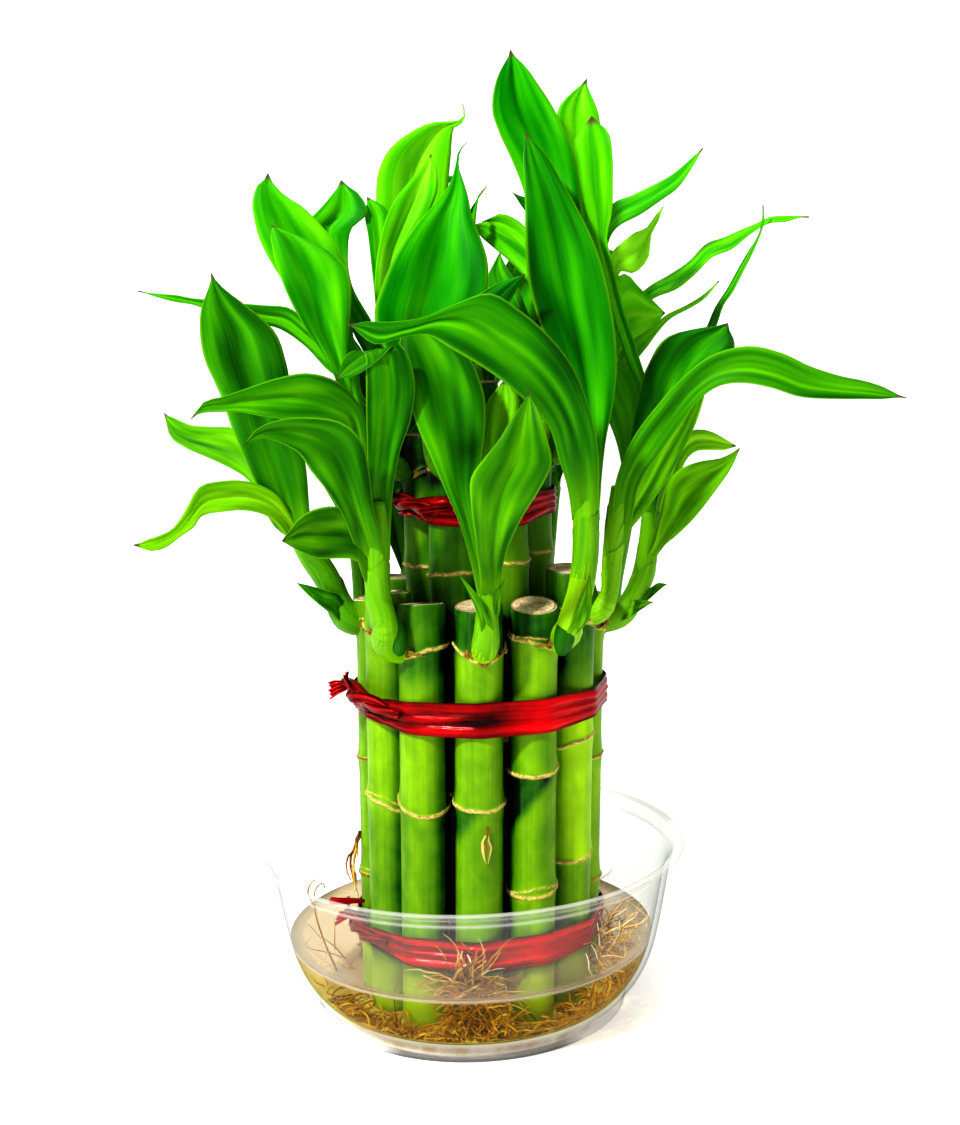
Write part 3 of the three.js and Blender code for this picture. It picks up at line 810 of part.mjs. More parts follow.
       [59.63, 8.01, 138.75, 60.47, 8.77, 136.26, 61.08, 8.01, 133.88],
       [63.65, 8.98, 136.89, 64.09, 9.47, 135.27, 64.38, 8.98, 133.72],
       [67.12, 9.97, 134.55, 67.22, 10, 134.54, 67.31, 9.97, 134.54]],
      [[42.25, -0.07, 106.4, 43.8, -0.07, 106.81, 45.35, -0.07, 107.22],
       [45.07, -4.04, 112.77, 46.67, -3.58, 112.66, 48.15, -4.04, 112.7],
       [46.59, -7.54, 120.33, 48.8, -6.63, 117.92, 50.79, -7.54, 115.75],
       [49.32, -12.11, 130.34, 52.17, -10.48, 125.36, 54.6, -12.11, 120.73],
       [54.99, -14.24, 133.18, 56.98, -13.14, 129.81, 58.65, -14.24, 126.67],
       [59.85, -15.23, 134.07, 60.85, -14.74, 132.63, 61.68, -15.23, 131.29],
       [63.72, -16.03, 136.32, 63.81, -16, 136.32, 63.9, -16.03, 136.32]],
      [[40.71, 0.8, 97.28, 41.69, 0.8, 99.22, 42.66, 0.8, 101.15],
       [43.35, -1.62, 98.4, 44.12, -1.23, 100.14, 44.81, -1.62, 102.02],
       [45.86, -2.81, 100.75, 46.26, -2.54, 102.02, 46.59, -2.81, 103.39],
       [48.62, -3.02, 103.14, 48.71, -3, 103.14, 48.81, -3.02, 103.14]],
      [[37.31, 1, 92.89, 38.54, 1, 95.82, 39.77, 1, 98.74],
       [39.6, -5.44, 95.82, 40.37, -5.02, 97.77, 41.05, -5.44, 99.89],
       [41.9, -8.5, 98.03, 42.29, -8.26, 99.18, 42.62, -8.5, 100.41],
       [44.59, -9.02, 99.98, 44.68, -9, 99.98, 44.77, -9.02, 99.98]],
      [[45.7, -1.91, 115.63, 44.94, 0, 115.58, 44.17, 1.91, 115.53],
       [46.44, -3.89, 123.46, 46.22, 0.7, 122.66, 43.2, 4.25, 122.73],
       [48.38, -4.52, 131.48, 47.9, 1.98, 129.56, 43.44, 7.11, 129.3],
       [50.81, -2.89, 139.34, 49.93, 4.08, 136.17, 44.66, 9.64, 135.25],
       [53.41, 1.01, 146.43, 52.1, 7.16, 142.33, 46.65, 12.05, 140.72],
       [55.79, 6.56, 152.44, 54.17, 11.29, 147.88, 48.89, 14.96, 145.75],
       [57.46, 13.51, 156.91, 55.82, 16.46, 152.65, 51.33, 18.57, 150.45],
       [57.98, 21.32, 159.39, 56.79, 22.51, 156.47, 53.89, 23.16, 154.9],
       [56.87, 29.16, 159.29, 56.83, 29.2, 159.19, 56.73, 29.23, 159.13]],
    ],
  },
  shoot_outer_05: {
    stem: [[35.75, 14, 93.4, 2.25], [37.15, 15, 100.05, 2.5], [38.99, 15, 110.11, 2.49], [40.9, 16, 119.97, 2.49], [44.56, 17, 131.01, 2.23], [47.7, 18, 139.54, 1.74]],
    leaves: [
      [[42.63, 16.86, 128.94, 44.08, 16.86, 129.63, 45.52, 16.86, 130.32],
       [49.27, 23, 139.16, 50.99, 20.6, 140.16, 52.53, 16.89, 141.24],
       [55.23, 26.18, 148.88, 56.71, 24, 149.81, 58, 20.65, 150.79],
       [59.64, 28.79, 157.47, 61.11, 26.71, 158.1, 62.4, 23.5, 158.76],
       [62.83, 29.86, 162.64, 63.98, 28.22, 163.13, 64.98, 25.68, 163.62],
       [65.25, 30.78, 167.84, 66.18, 29.45, 168.18, 66.99, 27.39, 168.53],
       [68.35, 31.24, 172.51, 68.96, 30.3, 172.11, 69.48, 28.83, 171.71],
       [70.96, 31.78, 176.95, 71.45, 30.95, 176.54, 71.87, 29.68, 176.13],
       [73.79, 32.16, 181.62, 74.18, 31.53, 181.34, 74.52, 30.55, 181.04],
       [76.08, 32.35, 185.04, 76.28, 32.06, 185.03, 76.45, 31.62, 185],
       [77.46, 33.13, 189.01, 77.66, 32.85, 188.99, 77.83, 32.41, 188.96],
       [77.74, 33.98, 193.26, 77.82, 33.87, 193.25, 77.89, 33.69, 193.24]],
      [[44.83, 15.99, 126.06, 42.75, 16.53, 125.89, 40.68, 17.06, 125.72],
       [46.04, 18.41, 136.38, 42.92, 20.05, 135.12, 39.2, 19.9, 134.72],
       [46.06, 22.76, 146.69, 41.8, 24.61, 143.8, 36.61, 23.91, 142.25],
       [42.83, 28.37, 156.05, 38.76, 29.82, 151.62, 33.59, 28.33, 148.55],
       [36.11, 33.49, 163.41, 33.39, 34.87, 158.2, 29.65, 33.17, 153.79],
       [26.62, 35.48, 167.49, 25.78, 38.7, 163.19, 24.14, 39.15, 158.02],
       [16.88, 36.21, 164.96, 16.54, 40.37, 166.26, 15.98, 44.55, 165.14],
       [7.73, 37.73, 165.16, 6.76, 39.29, 167.14, 5.65, 41.65, 167.86],
       [-2.21, 35.44, 165.6, -2.25, 35.51, 165.69, -2.3, 35.61, 165.73]],
    ],
  },
  shoot_outer_06: {
    stem: [[20.6, 28.75, 92.5, 2.5], [21.14, 29.68, 101, 2.3], [22.02, 31.21, 109.5, 2.1], [23.1, 33.08, 118, 1.9], [24.34, 35.23, 126.5, 1.7]],
    leaves: [
      [[23.22, 31.18, 104.41, 21.46, 30.25, 104.49, 19.7, 29.31, 104.56],
       [24.66, 34.9, 113.43, 19.72, 34.21, 112.85, 16.33, 30.84, 114.41],
       [25.35, 40.18, 121.18, 18.08, 39.41, 120.52, 12.91, 35.26, 123.64],
       [25.08, 46.28, 127.74, 16.79, 45.99, 127.12, 10.57, 42.59, 131.49],
       [24.17, 53.31, 133.07, 16.13, 53.83, 132.29, 9.71, 52.22, 136.95],
       [23.45, 61.45, 137.01, 16.37, 62.62, 135.66, 10.25, 62.92, 139.63],
       [23.02, 70.72, 138.99, 17.65, 71.86, 136.93, 12.5, 73.42, 139.24],
       [22.98, 80.59, 137.91, 19.95, 80.93, 135.93, 16.66, 82.36, 136.42],
       [23.15, 89.16, 132.67, 23.05, 89.17, 132.6, 22.94, 89.22, 132.62]],
      [[23.46, 32.45, 109.49, 22.03, 31.23, 109.59, 20.59, 30, 109.7],
       [23.11, 36.63, 119.18, 19.61, 34.91, 119.29, 17.34, 31.89, 120.26],
       [22.88, 41.72, 128.09, 17.72, 39.39, 128.77, 14.4, 35.2, 130.75],
       [22.4, 47.01, 136.51, 16.55, 44.66, 137.96, 12.84, 40.24, 140.87],
       [21.93, 52.57, 144.64, 16.34, 50.64, 146.78, 12.88, 46.69, 150.24],
       [22.11, 58.57, 152.5, 17.29, 57.16, 155.15, 14.45, 53.9, 158.82],
       [23.12, 64.92, 160.27, 19.6, 63.99, 162.99, 17.72, 61.52, 166.31],
       [25.23, 71.4, 168.17, 23.4, 70.82, 170.23, 22.6, 69.25, 172.44],
       [28.81, 77.33, 176.71, 28.73, 77.3, 176.79, 28.7, 77.23, 176.89]],
      [[24.99, 33.26, 123.21, 23.84, 34.36, 123.13, 22.69, 35.47, 123.04],
       [28.02, 33.48, 130.95, 25.94, 37.07, 129.65, 22.02, 38.91, 129.82],
       [30.95, 35.55, 138.48, 27.8, 40.42, 135.93, 21.97, 42.89, 135.69],
       [32.96, 39.52, 145.55, 29.27, 44.49, 141.89, 22.54, 46.85, 140.98],
       [33.84, 45.09, 151.73, 30.19, 49.25, 147.44, 23.58, 50.93, 145.88],
       [33.6, 51.58, 156.97, 30.37, 54.61, 152.48, 24.45, 55.43, 150.44],
       [32.05, 58.61, 160.99, 29.65, 60.43, 156.93, 25.06, 60.44, 154.78],
       [29.15, 65.74, 163.46, 27.89, 66.51, 160.69, 25.26, 66.1, 159.03],
       [25.09, 72.57, 163.81, 25.04, 72.6, 163.7, 24.94, 72.58, 163.64]],
    ],
  },
  shoot_outer_07: {
    stem: [[3.22, 33.27, 96.5, 2.6], [3.09, 34.71, 105.5, 2.38], [2.88, 37.07, 114.5, 2.15], [2.63, 39.98, 123.5, 1.93], [2.34, 43.31, 132.5, 1.7]],
    leaves: [
      [[4.55, 36.59, 107.29, 3.05, 35.14, 107.44, 1.55, 33.69, 107.58],
       [3.83, 40.71, 117.17, 0.16, 39.12, 117.15, -1.58, 35.77, 118.47],
       [3.41, 46.09, 126.07, -1.99, 43.96, 126.66, -4.5, 39.33, 129.17],
       [2.91, 51.71, 134.42, -3.2, 49.61, 135.9, -5.9, 44.67, 139.38],
       [2.56, 57.61, 142.48, -3.21, 55.89, 144.79, -5.54, 51.35, 148.74],
       [3.03, 63.91, 150.36, -1.8, 62.56, 153.28, -3.42, 58.59, 157.21],
       [4.54, 70.4, 158.28, 1.17, 69.29, 161.31, 0.45, 66.01, 164.55],
       [7.4, 76.62, 166.59, 5.79, 75.69, 168.8, 5.8, 73.46, 170.63],
       [12.09, 81.4, 175.61, 12.02, 81.36, 175.7, 12.03, 81.26, 175.78]],
      [[4.39, 38.31, 114.53, 2.88, 37.12, 114.65, 1.36, 35.93, 114.78],
       [5.99, 41.16, 124.24, 1.65, 39.73, 124.5, -0.56, 35.88, 125.62],
       [7.46, 44.96, 133.18, 1.22, 42.82, 134.27, -1.75, 37.2, 136.38],
       [8.61, 48.7, 141.9, 1.77, 46.16, 143.96, -1.19, 39.73, 146.69],
       [9.72, 52.21, 150.83, 3.43, 49.45, 153.53, 1.05, 43, 156.21],
       [11.49, 55.27, 160.14, 6.22, 52.35, 162.97, 4.54, 46.25, 165.04],
       [13.97, 57.25, 169.98, 10.04, 54.45, 172.26, 8.99, 49.32, 173.32],
       [17, 57.4, 180.16, 14.67, 55.38, 181.37, 14.1, 52.13, 181.5],
       [19.81, 54.94, 190.24, 19.73, 54.87, 190.28, 19.71, 54.75, 190.28]],
      [[4.23, 38.93, 116.3, 2.83, 37.66, 116.45, 1.44, 36.39, 116.6],
       [5.26, 42.42, 124.96, 1.29, 40.45, 125.6, -1.18, 37.04, 127.14],
       [6.2, 47.02, 131.85, 0.43, 44.93, 134.15, -3.1, 40.82, 137.82],
       [7.11, 52.05, 137.27, 1.23, 50.98, 141.67, -2.05, 47.52, 147.37],
       [8.17, 58.32, 141.5, 4.51, 57.8, 147.71, 3.42, 54.69, 154.14],
       [9.11, 68.71, 147.43, 10.6, 64.12, 151.82, 13.3, 58.39, 153.36],
       [18.27, 73.61, 154.77, 19.03, 68.57, 153.6, 19.39, 64.71, 150.09],
       [29.47, 73.01, 154.1, 28.55, 70.18, 152.81, 27.34, 68.46, 150.34],
       [37.54, 68.92, 149.44, 37.51, 68.82, 149.39, 37.46, 68.76, 149.29]],
    ],
  },
  shoot_outer_08: {
    stem: [[-13.25, 28.33, 93.5, 2.5], [-13.93, 29.31, 101.75, 2.3], [-15.05, 30.9, 110, 2.1], [-16.42, 32.85, 118.25, 1.9], [-17.99, 35.09, 126.5, 1.7]],
    leaves: [
      [[-12.29, 30.56, 101.91, -13.94, 29.32, 101.84, -15.6, 28.08, 101.77],
       [-11.8, 33.39, 111.57, -16.2, 31.86, 110.25, -18.84, 27.82, 110.68],
       [-13.7, 37.61, 120.88, -19.61, 34.92, 118.08, -23.28, 28.89, 118.5],
       [-18.7, 42.17, 129.06, -24.42, 38.34, 124.96, -28.1, 31.21, 125.24],
       [-26.49, 46.53, 135.05, -30.71, 41.8, 130.51, -33.52, 34.52, 130.85],
       [-35.99, 50.21, 138.34, -38.32, 44.92, 134.33, -40.05, 38.15, 135.2],
       [-46.18, 52.39, 138.54, -46.88, 47.33, 136.12, -47.83, 42.02, 137.79],
       [-55.83, 52.24, 136.18, -55.82, 48.79, 135.64, -56.55, 45.89, 137.47],
       [-64.43, 49.31, 132.84, -64.43, 49.19, 132.82, -64.45, 49.09, 132.89]],
      [[-12.94, 30.19, 108.26, -14.82, 30.57, 108.46, -16.69, 30.94, 108.67],
       [-9.12, 30.17, 115.59, -13.51, 32.88, 116.35, -18.32, 31.87, 118.08],
       [-4.83, 31.01, 121.71, -11.08, 34.62, 124.13, -17.76, 32.63, 127.2],
       [-0.71, 32.17, 127.83, -7.77, 35.26, 131.74, -15.07, 31.97, 134.97],
       [3.15, 32.71, 135.18, -4.08, 34.34, 139.14, -11.15, 30.14, 140.86],
       [6.34, 31.01, 143.71, -0.75, 31.67, 146.29, -7.17, 27.67, 145.79],
       [7.35, 26.73, 152.44, 1.35, 27.43, 153.14, -3.67, 24.7, 151.07],
       [5.11, 21.29, 160.16, 1.5, 22.23, 159.64, -1.36, 20.98, 157.53],
       [-0.62, 16.99, 165.75, -0.73, 17.01, 165.73, -0.82, 16.97, 165.66]],
      [[-14.18, 32.64, 114.96, -15.86, 32.06, 115.05, -17.54, 31.47, 115.14],
       [-13, 36.59, 123.78, -16.79, 36.14, 123.92, -20.05, 34.43, 124.88],
       [-11.58, 41.61, 131.49, -17.09, 41.36, 132.21, -21.86, 39.41, 134.33],
       [-10.28, 47.23, 138.23, -16.41, 47.74, 139.63, -21.71, 46.49, 142.82],
       [-8.72, 53.48, 144.08, -14.39, 55.04, 145.86, -19.29, 55.08, 149.56],
       [-6.12, 60.26, 148.98, -10.76, 62.83, 150.58, -14.79, 64.25, 154.1],
       [-2.26, 67.54, 152.93, -5.47, 70.55, 153.52, -8.35, 73, 155.85],
       [2.93, 75.59, 155.41, 1.29, 77.59, 154.45, -0.34, 79.81, 154.62],
       [9.16, 83.32, 153.27, 9.09, 83.41, 153.23, 9.02, 83.5, 153.24]],
      [[-15.09, 33.93, 118.27, -16.43, 32.87, 118.33, -17.77, 31.82, 118.39],
       [-13.44, 35.3, 125.06, -16.73, 33.67, 125.35, -18.85, 30.7, 125.87],
       [-12.04, 37.38, 131.35, -16.69, 34.86, 132.33, -19.53, 30.45, 133.53],
       [-11.05, 39.39, 137.48, -16.03, 36.31, 139.22, -18.86, 31.18, 140.92],
       [-10.1, 41.1, 143.94, -14.53, 37.72, 145.99, -16.82, 32.46, 147.54],
       [-8.49, 42.15, 150.9, -12.15, 38.62, 152.59, -13.88, 33.61, 153.35],
       [-6.25, 41.65, 158.2, -9.1, 38.53, 158.98, -10.42, 34.45, 158.71],
       [-3.98, 38.97, 165.16, -5.84, 37.07, 165.09, -6.74, 34.69, 164.3],
       [-2.96, 34.19, 170.88, -3.04, 34.1, 170.87, -3.07, 33.99, 170.83]],
      [[-16.77, 35.35, 121.75, -17.04, 33.74, 121.6, -17.31, 32.13, 121.45],
       [-17.66, 37.17, 128.92, -19.12, 33.53, 127.73, -18.96, 29.48, 127.04],
       [-19.09, 37.4, 136.25, -21.28, 32.42, 133.73, -21.08, 26.77, 131.74],
       [-20.25, 35.4, 142.96, -23.18, 30.31, 139.55, -23.35, 24.38, 136.24],
       [-20.56, 31.66, 148.26, -24.34, 27.24, 145.12, -25.54, 21.94, 141.35],
       [-20.02, 27.26, 152.07, -24.32, 23.48, 150.39, -26.63, 18.86, 147.42],
       [-19.19, 22.71, 155.2, -22.78, 19.55, 155.3, -25.17, 15.63, 153.96],
       [-17.77, 18.23, 158.86, -19.62, 16.11, 159.78, -20.9, 13.44, 159.73],
       [-14.97, 13.92, 163.72, -15.05, 13.84, 163.76, -15.1, 13.73, 163.76]],
    ],
  },
  shoot_outer_09: {
    stem: [[-25.02, 15.87, 95.5, 2.4], [-25.52, 16.1, 103.5, 2.2], [-26.34, 16.48, 111.5, 2], [-27.35, 16.95, 119.5, 1.8], [-28.5, 17.49, 127.5, 1.6]],
    leaves: [
      [[-24.91, 17.96, 104.98, -25.66, 16.17, 105.12, -26.41, 14.38, 105.27],
       [-24.4, 21.72, 114.07, -27.86, 17.87, 114.65, -28.19, 12.94, 116.3],
       [-24.83, 26.25, 121.52, -29.9, 21.07, 123.82, -30.31, 14.45, 127.53],
       [-25.77, 31.03, 127.78, -30.98, 25.95, 132.39, -30.73, 19.21, 137.76],
       [-27.07, 36.77, 133.85, -30.18, 32.13, 140.11, -28.03, 25.88, 145.27],
       [-27.16, 44, 141.27, -26.78, 38.73, 146.69, -22.78, 32.63, 148.69],
       [-22.03, 49.99, 149.73, -20.57, 44.5, 151.86, -17.73, 39.4, 150.19],
       [-12.21, 51.87, 155.24, -12.02, 48.12, 155.35, -11.49, 45.16, 153.1],
       [-2.25, 48.77, 156.97, -2.25, 48.65, 156.97, -2.23, 48.56, 156.89]],
      [[-26.54, 18.19, 109.76, -26.16, 16.4, 109.93, -25.78, 14.61, 110.1],
       [-28.92, 21.53, 117.32, -29.17, 16.55, 118.24, -27.29, 12.21, 120.04],
       [-32.02, 24.87, 123.05, -32.93, 18.18, 126.07, -30.7, 12.51, 130.26],
       [-35.66, 28.03, 127.52, -36.76, 21.88, 133.12, -34.13, 16.9, 139.33],
       [-41.01, 31.79, 132.08, -39.58, 27.79, 139.06, -34.63, 24.82, 144.82],
       [-46.02, 38.2, 139.97, -40.24, 35.38, 143.54, -33.19, 33.28, 143.94],
       [-42.75, 46.94, 146.57, -37.97, 43.48, 146.27, -33.71, 40.67, 143.3],
       [-34.59, 53.63, 147.93, -32.77, 50.59, 147, -31.61, 48.11, 144.57],
       [-25.53, 55.48, 145.64, -25.48, 55.38, 145.6, -25.44, 55.3, 145.52]],
    ],
  },
  shoot_outer_10: {
    stem: [[-28.99, -1.44, 94.54, 2.4], [-29.75, -1.12, 100.22, 3.12], [-32.52, -2, 106.55, 3.1], [-35.99, -3, 112.58, 2.97], [-38.51, -4, 117.81, 2.36]],
    leaves: [
      [[-38.3, -3.26, 113.76, -36.72, -3.26, 114.01, -35.14, -3.26, 114.27],
       [-42.98, -5.61, 119.08, -39.17, -4.94, 119.26, -35.21, -5.61, 119.61],
       [-44.82, -7.62, 124.81, -40.18, -6.43, 124.79, -35.25, -7.62, 125.06],
       [-48.26, -10.19, 133.33, -42.02, -8.58, 133.03, -35.35, -10.19, 133.03],
       [-51.56, -12.8, 142.82, -44.3, -10.91, 142.51, -36.52, -12.8, 142.47],
       [-53.57, -14.89, 150.92, -45.81, -12.86, 151.2, -37.49, -14.89, 151.67],
       [-56.25, -16.68, 158.87, -47.54, -14.38, 158.39, -38.14, -16.68, 158.02],
       [-56.84, -17.79, 165.55, -49.03, -15.72, 165.35, -40.6, -17.79, 165.18],
       [-56.09, -17.98, 171.02, -51.92, -16.88, 171.26, -47.41, -17.98, 171.48],
       [-54.35, -17.86, 175.14, -53.07, -17.52, 175.12, -51.69, -17.86, 175.08],
       [-53.81, -18.02, 178.17, -53.73, -18, 178.17, -53.64, -18.02, 178.17]],
      [[-38.81, -3.5, 112, -38.22, -3.5, 114.86, -37.63, -3.5, 117.72],
       [-41.1, -6.31, 117.24, -40.56, -5.91, 120.02, -39.86, -6.84, 122.95],
       [-44.32, -8.82, 121.9, -43.68, -8.38, 124.76, -42.83, -9.41, 127.78],
       [-48.98, -11.43, 123.97, -48.67, -10.93, 127.27, -48.11, -12.09, 130.75],
       [-54.53, -14.16, 124.21, -54.45, -13.63, 127.72, -54.07, -14.86, 131.41],
       [-58.77, -16.3, 123.66, -59.03, -15.81, 126.93, -59, -16.96, 130.38],
       [-60.61, -18.21, 121.2, -61.47, -17.89, 123.13, -62.14, -18.63, 125.18],
       [-63.35, -19.83, 119.43, -64.12, -19.64, 120.45, -64.77, -20.09, 121.55],
       [-66.96, -21.69, 117.05, -67.49, -21.45, 118.51, -67.85, -22, 120.07],
       [-70.08, -22.96, 116.86, -70.28, -22.77, 118.09, -70.34, -23.2, 119.4],
       [-72.99, -24.01, 118.45, -72.91, -24, 118.44, -72.81, -24.03, 118.44]],
      [[-38.4, -3.68, 114.72, -37.75, -3.68, 116.18, -37.1, -3.68, 117.65],
       [-43.66, -4, 118.88, -42.62, -4, 121.24, -41.58, -4, 123.59],
       [-47.29, 0.42, 125.1, -46.32, 1.26, 127.85, -45.13, 0.42, 130.79],
       [-50.93, 3.99, 129.59, -49.96, 4.96, 132.85, -48.71, 3.99, 136.27],
       [-56.07, 7.05, 132.55, -55.09, 8.37, 137.01, -53.7, 7.05, 141.67],
       [-62.01, 10.07, 135.08, -61.16, 11.09, 138.51, -59.96, 10.07, 142.08],
       [-67.21, 12.44, 137.19, -66.6, 13.22, 139.81, -65.71, 12.44, 142.53],
       [-70.8, 13.98, 139.6, -70.19, 14.63, 141.75, -69.34, 13.98, 143.98],
       [-72.69, 15.97, 145.4, -72.6, 16, 145.39, -72.49, 15.97, 145.39]],
      [[-29.18, -1.35, 94.14, -29.12, -1.35, 95.74, -29.06, -1.35, 97.34],
       [-29.79, -4.72, 96.58, -29.5, -4.16, 99.37, -29.1, -4.72, 102.36],
       [-33.27, -6.65, 100.16, -32.88, -6.25, 102.12, -32.41, -6.65, 104.22],
       [-36.35, -7.67, 103.3, -35.97, -7.45, 104.33, -35.56, -7.67, 105.43],
       [-38.87, -8.02, 106.28, -38.77, -8, 106.28, -38.68, -8.02, 106.28]],
      [[-31.95, 0.99, 105.17, -31.94, -1.81, 105.41, -31.93, -4.61, 105.65],
       [-34.48, 2.99, 112.51, -35.57, -1.2, 112.9, -34.66, -5.23, 114.26],
       [-37.44, 6.37, 118.79, -39.22, 0.44, 120.23, -38.03, -5.17, 122.97],
       [-40.52, 9.53, 124.65, -42.62, 3.19, 127.35, -41.26, -2.72, 131.24],
       [-43.64, 12.72, 130.5, -45.46, 7.04, 134.19, -43.79, 1.82, 138.56],
       [-46.45, 16.56, 136.55, -47.39, 11.89, 140.71, -45.14, 7.65, 144.83],
       [-48.37, 21, 143.19, -48.09, 17.5, 146.85, -45.36, 14.37, 149.77],
       [-48.23, 25.71, 150.5, -47.29, 23.53, 152.57, -45.07, 21.62, 153.71],
       [-44.87, 29.63, 157.73, -44.83, 29.55, 157.8, -44.74, 29.48, 157.84]],
    ],
  },
  shoot_outer_11: {
    stem: [[-17.89, -20.79, 99.1, 2.29], [-18.85, -20.87, 104.22, 2.51], [-19.5, -18, 109.4, 2.51], [-20.81, -17, 119.66, 2.28], [-21.93, -15, 130.91, 2.05], [-23.13, -13, 139.9, 1.83]],
    leaves: [
      [[-23.12, -14.89, 130.3, -22, -14.89, 131.44, -20.87, -14.89, 132.58],
       [-23.98, -17.92, 137.6, -22.16, -17.06, 139.74, -20.22, -17.92, 142.02],
       [-25.63, -19.76, 143.62, -23.94, -18.81, 146.2, -22.09, -19.76, 148.88],
       [-30.97, -21.87, 144.77, -28.72, -20.37, 149.07, -26.2, -21.87, 153.5],
       [-36.92, -23.91, 145.49, -34.92, -22.23, 150.53, -32.54, -23.91, 155.7],
       [-42.84, -25.5, 146.61, -41.08, -24.13, 150.65, -38.97, -25.5, 154.82],
       [-47.87, -26.82, 147.68, -46.78, -25.96, 150.22, -45.44, -26.82, 152.85],
       [-52.66, -28.23, 147.88, -51.91, -27.69, 149.46, -50.98, -28.23, 151.09],
       [-55.33, -29.17, 147.78, -55.12, -28.8, 148.94, -54.78, -29.17, 150.15],
       [-57.72, -30.03, 146.59, -57.64, -30, 146.58, -57.54, -30.03, 146.58]],
      [[-24.04, -13.72, 136.04, -22.7, -13.72, 136.76, -21.36, -13.72, 137.48],
       [-24.27, -13, 139.92, -22.65, -13, 140.8, -21.02, -13, 141.67],
       [-25.89, -14.75, 148.02, -23.74, -14.26, 149.07, -21.46, -15.49, 150.21],
       [-27.78, -15.74, 155.52, -25.2, -15.15, 156.78, -22.45, -16.63, 158.1],
       [-32.07, -16.76, 163.87, -27.63, -15.8, 165.42, -22.91, -18.22, 166.98],
       [-35.48, -17.25, 172.09, -29.56, -16.02, 172.85, -23.27, -19.11, 173.54],
       [-39.6, -17.54, 178.74, -32, -15.96, 179.05, -23.88, -19.92, 179.18],
       [-42.48, -17.4, 184.24, -34.49, -15.72, 184.13, -25.91, -19.91, 183.75],
       [-43.89, -16.71, 189.29, -37.21, -15.3, 189.22, -29.99, -18.82, 188.85],
       [-44.24, -16.06, 193.23, -38.88, -14.92, 192.75, -33.06, -17.76, 191.99],
       [-43.11, -15.09, 196.73, -40.46, -14.5, 195.96, -37.55, -15.97, 195.02],
       [-40.78, -14.02, 199.57, -40.7, -14, 199.57, -40.6, -14.05, 199.56]],
      [[-23.08, -15, 137.32, -22.39, -15, 137.31, -21.71, -15, 137.29],
       [-24.2, -17.5, 144.77, -23.31, -17.5, 144.53, -22.42, -17.5, 144.28],
       [-26.37, -20.3, 152.78, -24.86, -20, 152.07, -23.29, -20.36, 151.6],
       [-29.4, -22.8, 160.18, -26.85, -22, 159.45, -23.93, -22.96, 158.75],
       [-32.89, -24.9, 166.14, -29.1, -23.5, 166.05, -23.08, -25.18, 165.28],
       [-35.59, -26, 171.57, -30.54, -24.2, 172.34, -22.36, -26.36, 170.63],
       [-37.35, -26, 176.09, -32.29, -24.2, 177.52, -22.41, -26.36, 175.32],
       [-38.74, -25.4, 180.61, -34.1, -23.8, 182.27, -23.84, -25.72, 179.2],
       [-39.38, -24.2, 184.5, -36.21, -23.2, 185.33, -28.37, -24.4, 182.75],
       [-39.65, -23, 186.69, -38.39, -22.6, 186.9, -34.89, -23.08, 185.94],
       [-39.6, -22, 187.81, -39.52, -22, 187.81, -39.43, -22, 187.81]],
      [[-24.04, -13.72, 136.02, -22.7, -13.72, 136.76, -21.36, -13.72, 137.49],
       [-24.15, -13, 143.34, -22.76, -13, 144.1, -21.37, -13, 144.87],
       [-25.17, -11.85, 149.43, -23.63, -11.94, 150.88, -22.02, -12.97, 152.36],
       [-26.23, -11.04, 153.5, -24.73, -11.21, 156.65, -23.1, -13.14, 159.81],
       [-29.38, -10.54, 155.82, -28.88, -10.73, 159.44, -28.22, -12.76, 163.06],
       [-34.45, -10.14, 161.36, -33.99, -10.26, 163.83, -33.41, -11.67, 166.3],
       [-39.56, -9.9, 165.08, -38.53, -10.04, 167.53, -37.35, -11.52, 169.97],
       [-44.96, -9.87, 166.78, -44.4, -9.98, 168.79, -43.69, -11.14, 170.78],
       [-50.11, -9.99, 168.02, -49.79, -10.07, 169.7, -49.34, -11.03, 171.36],
       [-55.21, -10.26, 169.71, -55.14, -10.32, 170.94, -54.97, -11.01, 172.16],
       [-60.05, -10.64, 171.38, -60.01, -10.67, 172.05, -59.91, -11.05, 172.72],
       [-63.37, -10.94, 171.9, -63.32, -10.98, 172.68, -63.19, -11.42, 173.45],
       [-66.63, -11.33, 172.86, -66.61, -11.35, 173.31, -66.53, -11.6, 173.75],
       [-71.46, -12, 174.52, -71.37, -12, 174.52, -71.27, -12.05, 174.52]],
      [[-19.84, -15.27, 112.19, -19.89, -17.48, 112.37, -19.93, -19.68, 112.55],
       [-21.86, -13.1, 118.5, -23.09, -16.89, 118.76, -22.36, -20.59, 120.1],
       [-24.39, -10.06, 123.67, -26.54, -15.36, 124.85, -25.87, -20.43, 127.66],
       [-27.12, -7.23, 128.13, -30.02, -12.68, 130.51, -29.68, -17.82, 134.67],
       [-30.07, -4.31, 132.16, -33.18, -8.76, 135.62, -33, -12.93, 140.53],
       [-33.07, -0.61, 135.78, -35.58, -3.66, 140.04, -34.93, -6.5, 145.06],
       [-36.28, 4.12, 139.35, -36.82, 2.41, 143.65, -34.8, 0.79, 147.52],
       [-38.36, 10.06, 144.26, -36.59, 9.06, 146.32, -33.94, 8.15, 147.02],
       [-34.78, 15.83, 147.86, -34.71, 15.78, 147.95, -34.59, 15.75, 147.97]],
    ],
  },
  shoot_outer_12: {
    stem: [[-14.73, -28, 92.83, 2.46], [-16.97, -28.5, 98.68, 2.89], [-18.27, -29, 105.59, 2.77], [-18.46, -29.5, 112.41, 2.76], [-18.17, -30, 120.27, 2.85], [-17.7, -30, 127.99, 2.62]],
    leaves: [
      [[-21.24, -29.65, 114.73, -18.38, -29.65, 114.66, -15.51, -29.65, 114.6],
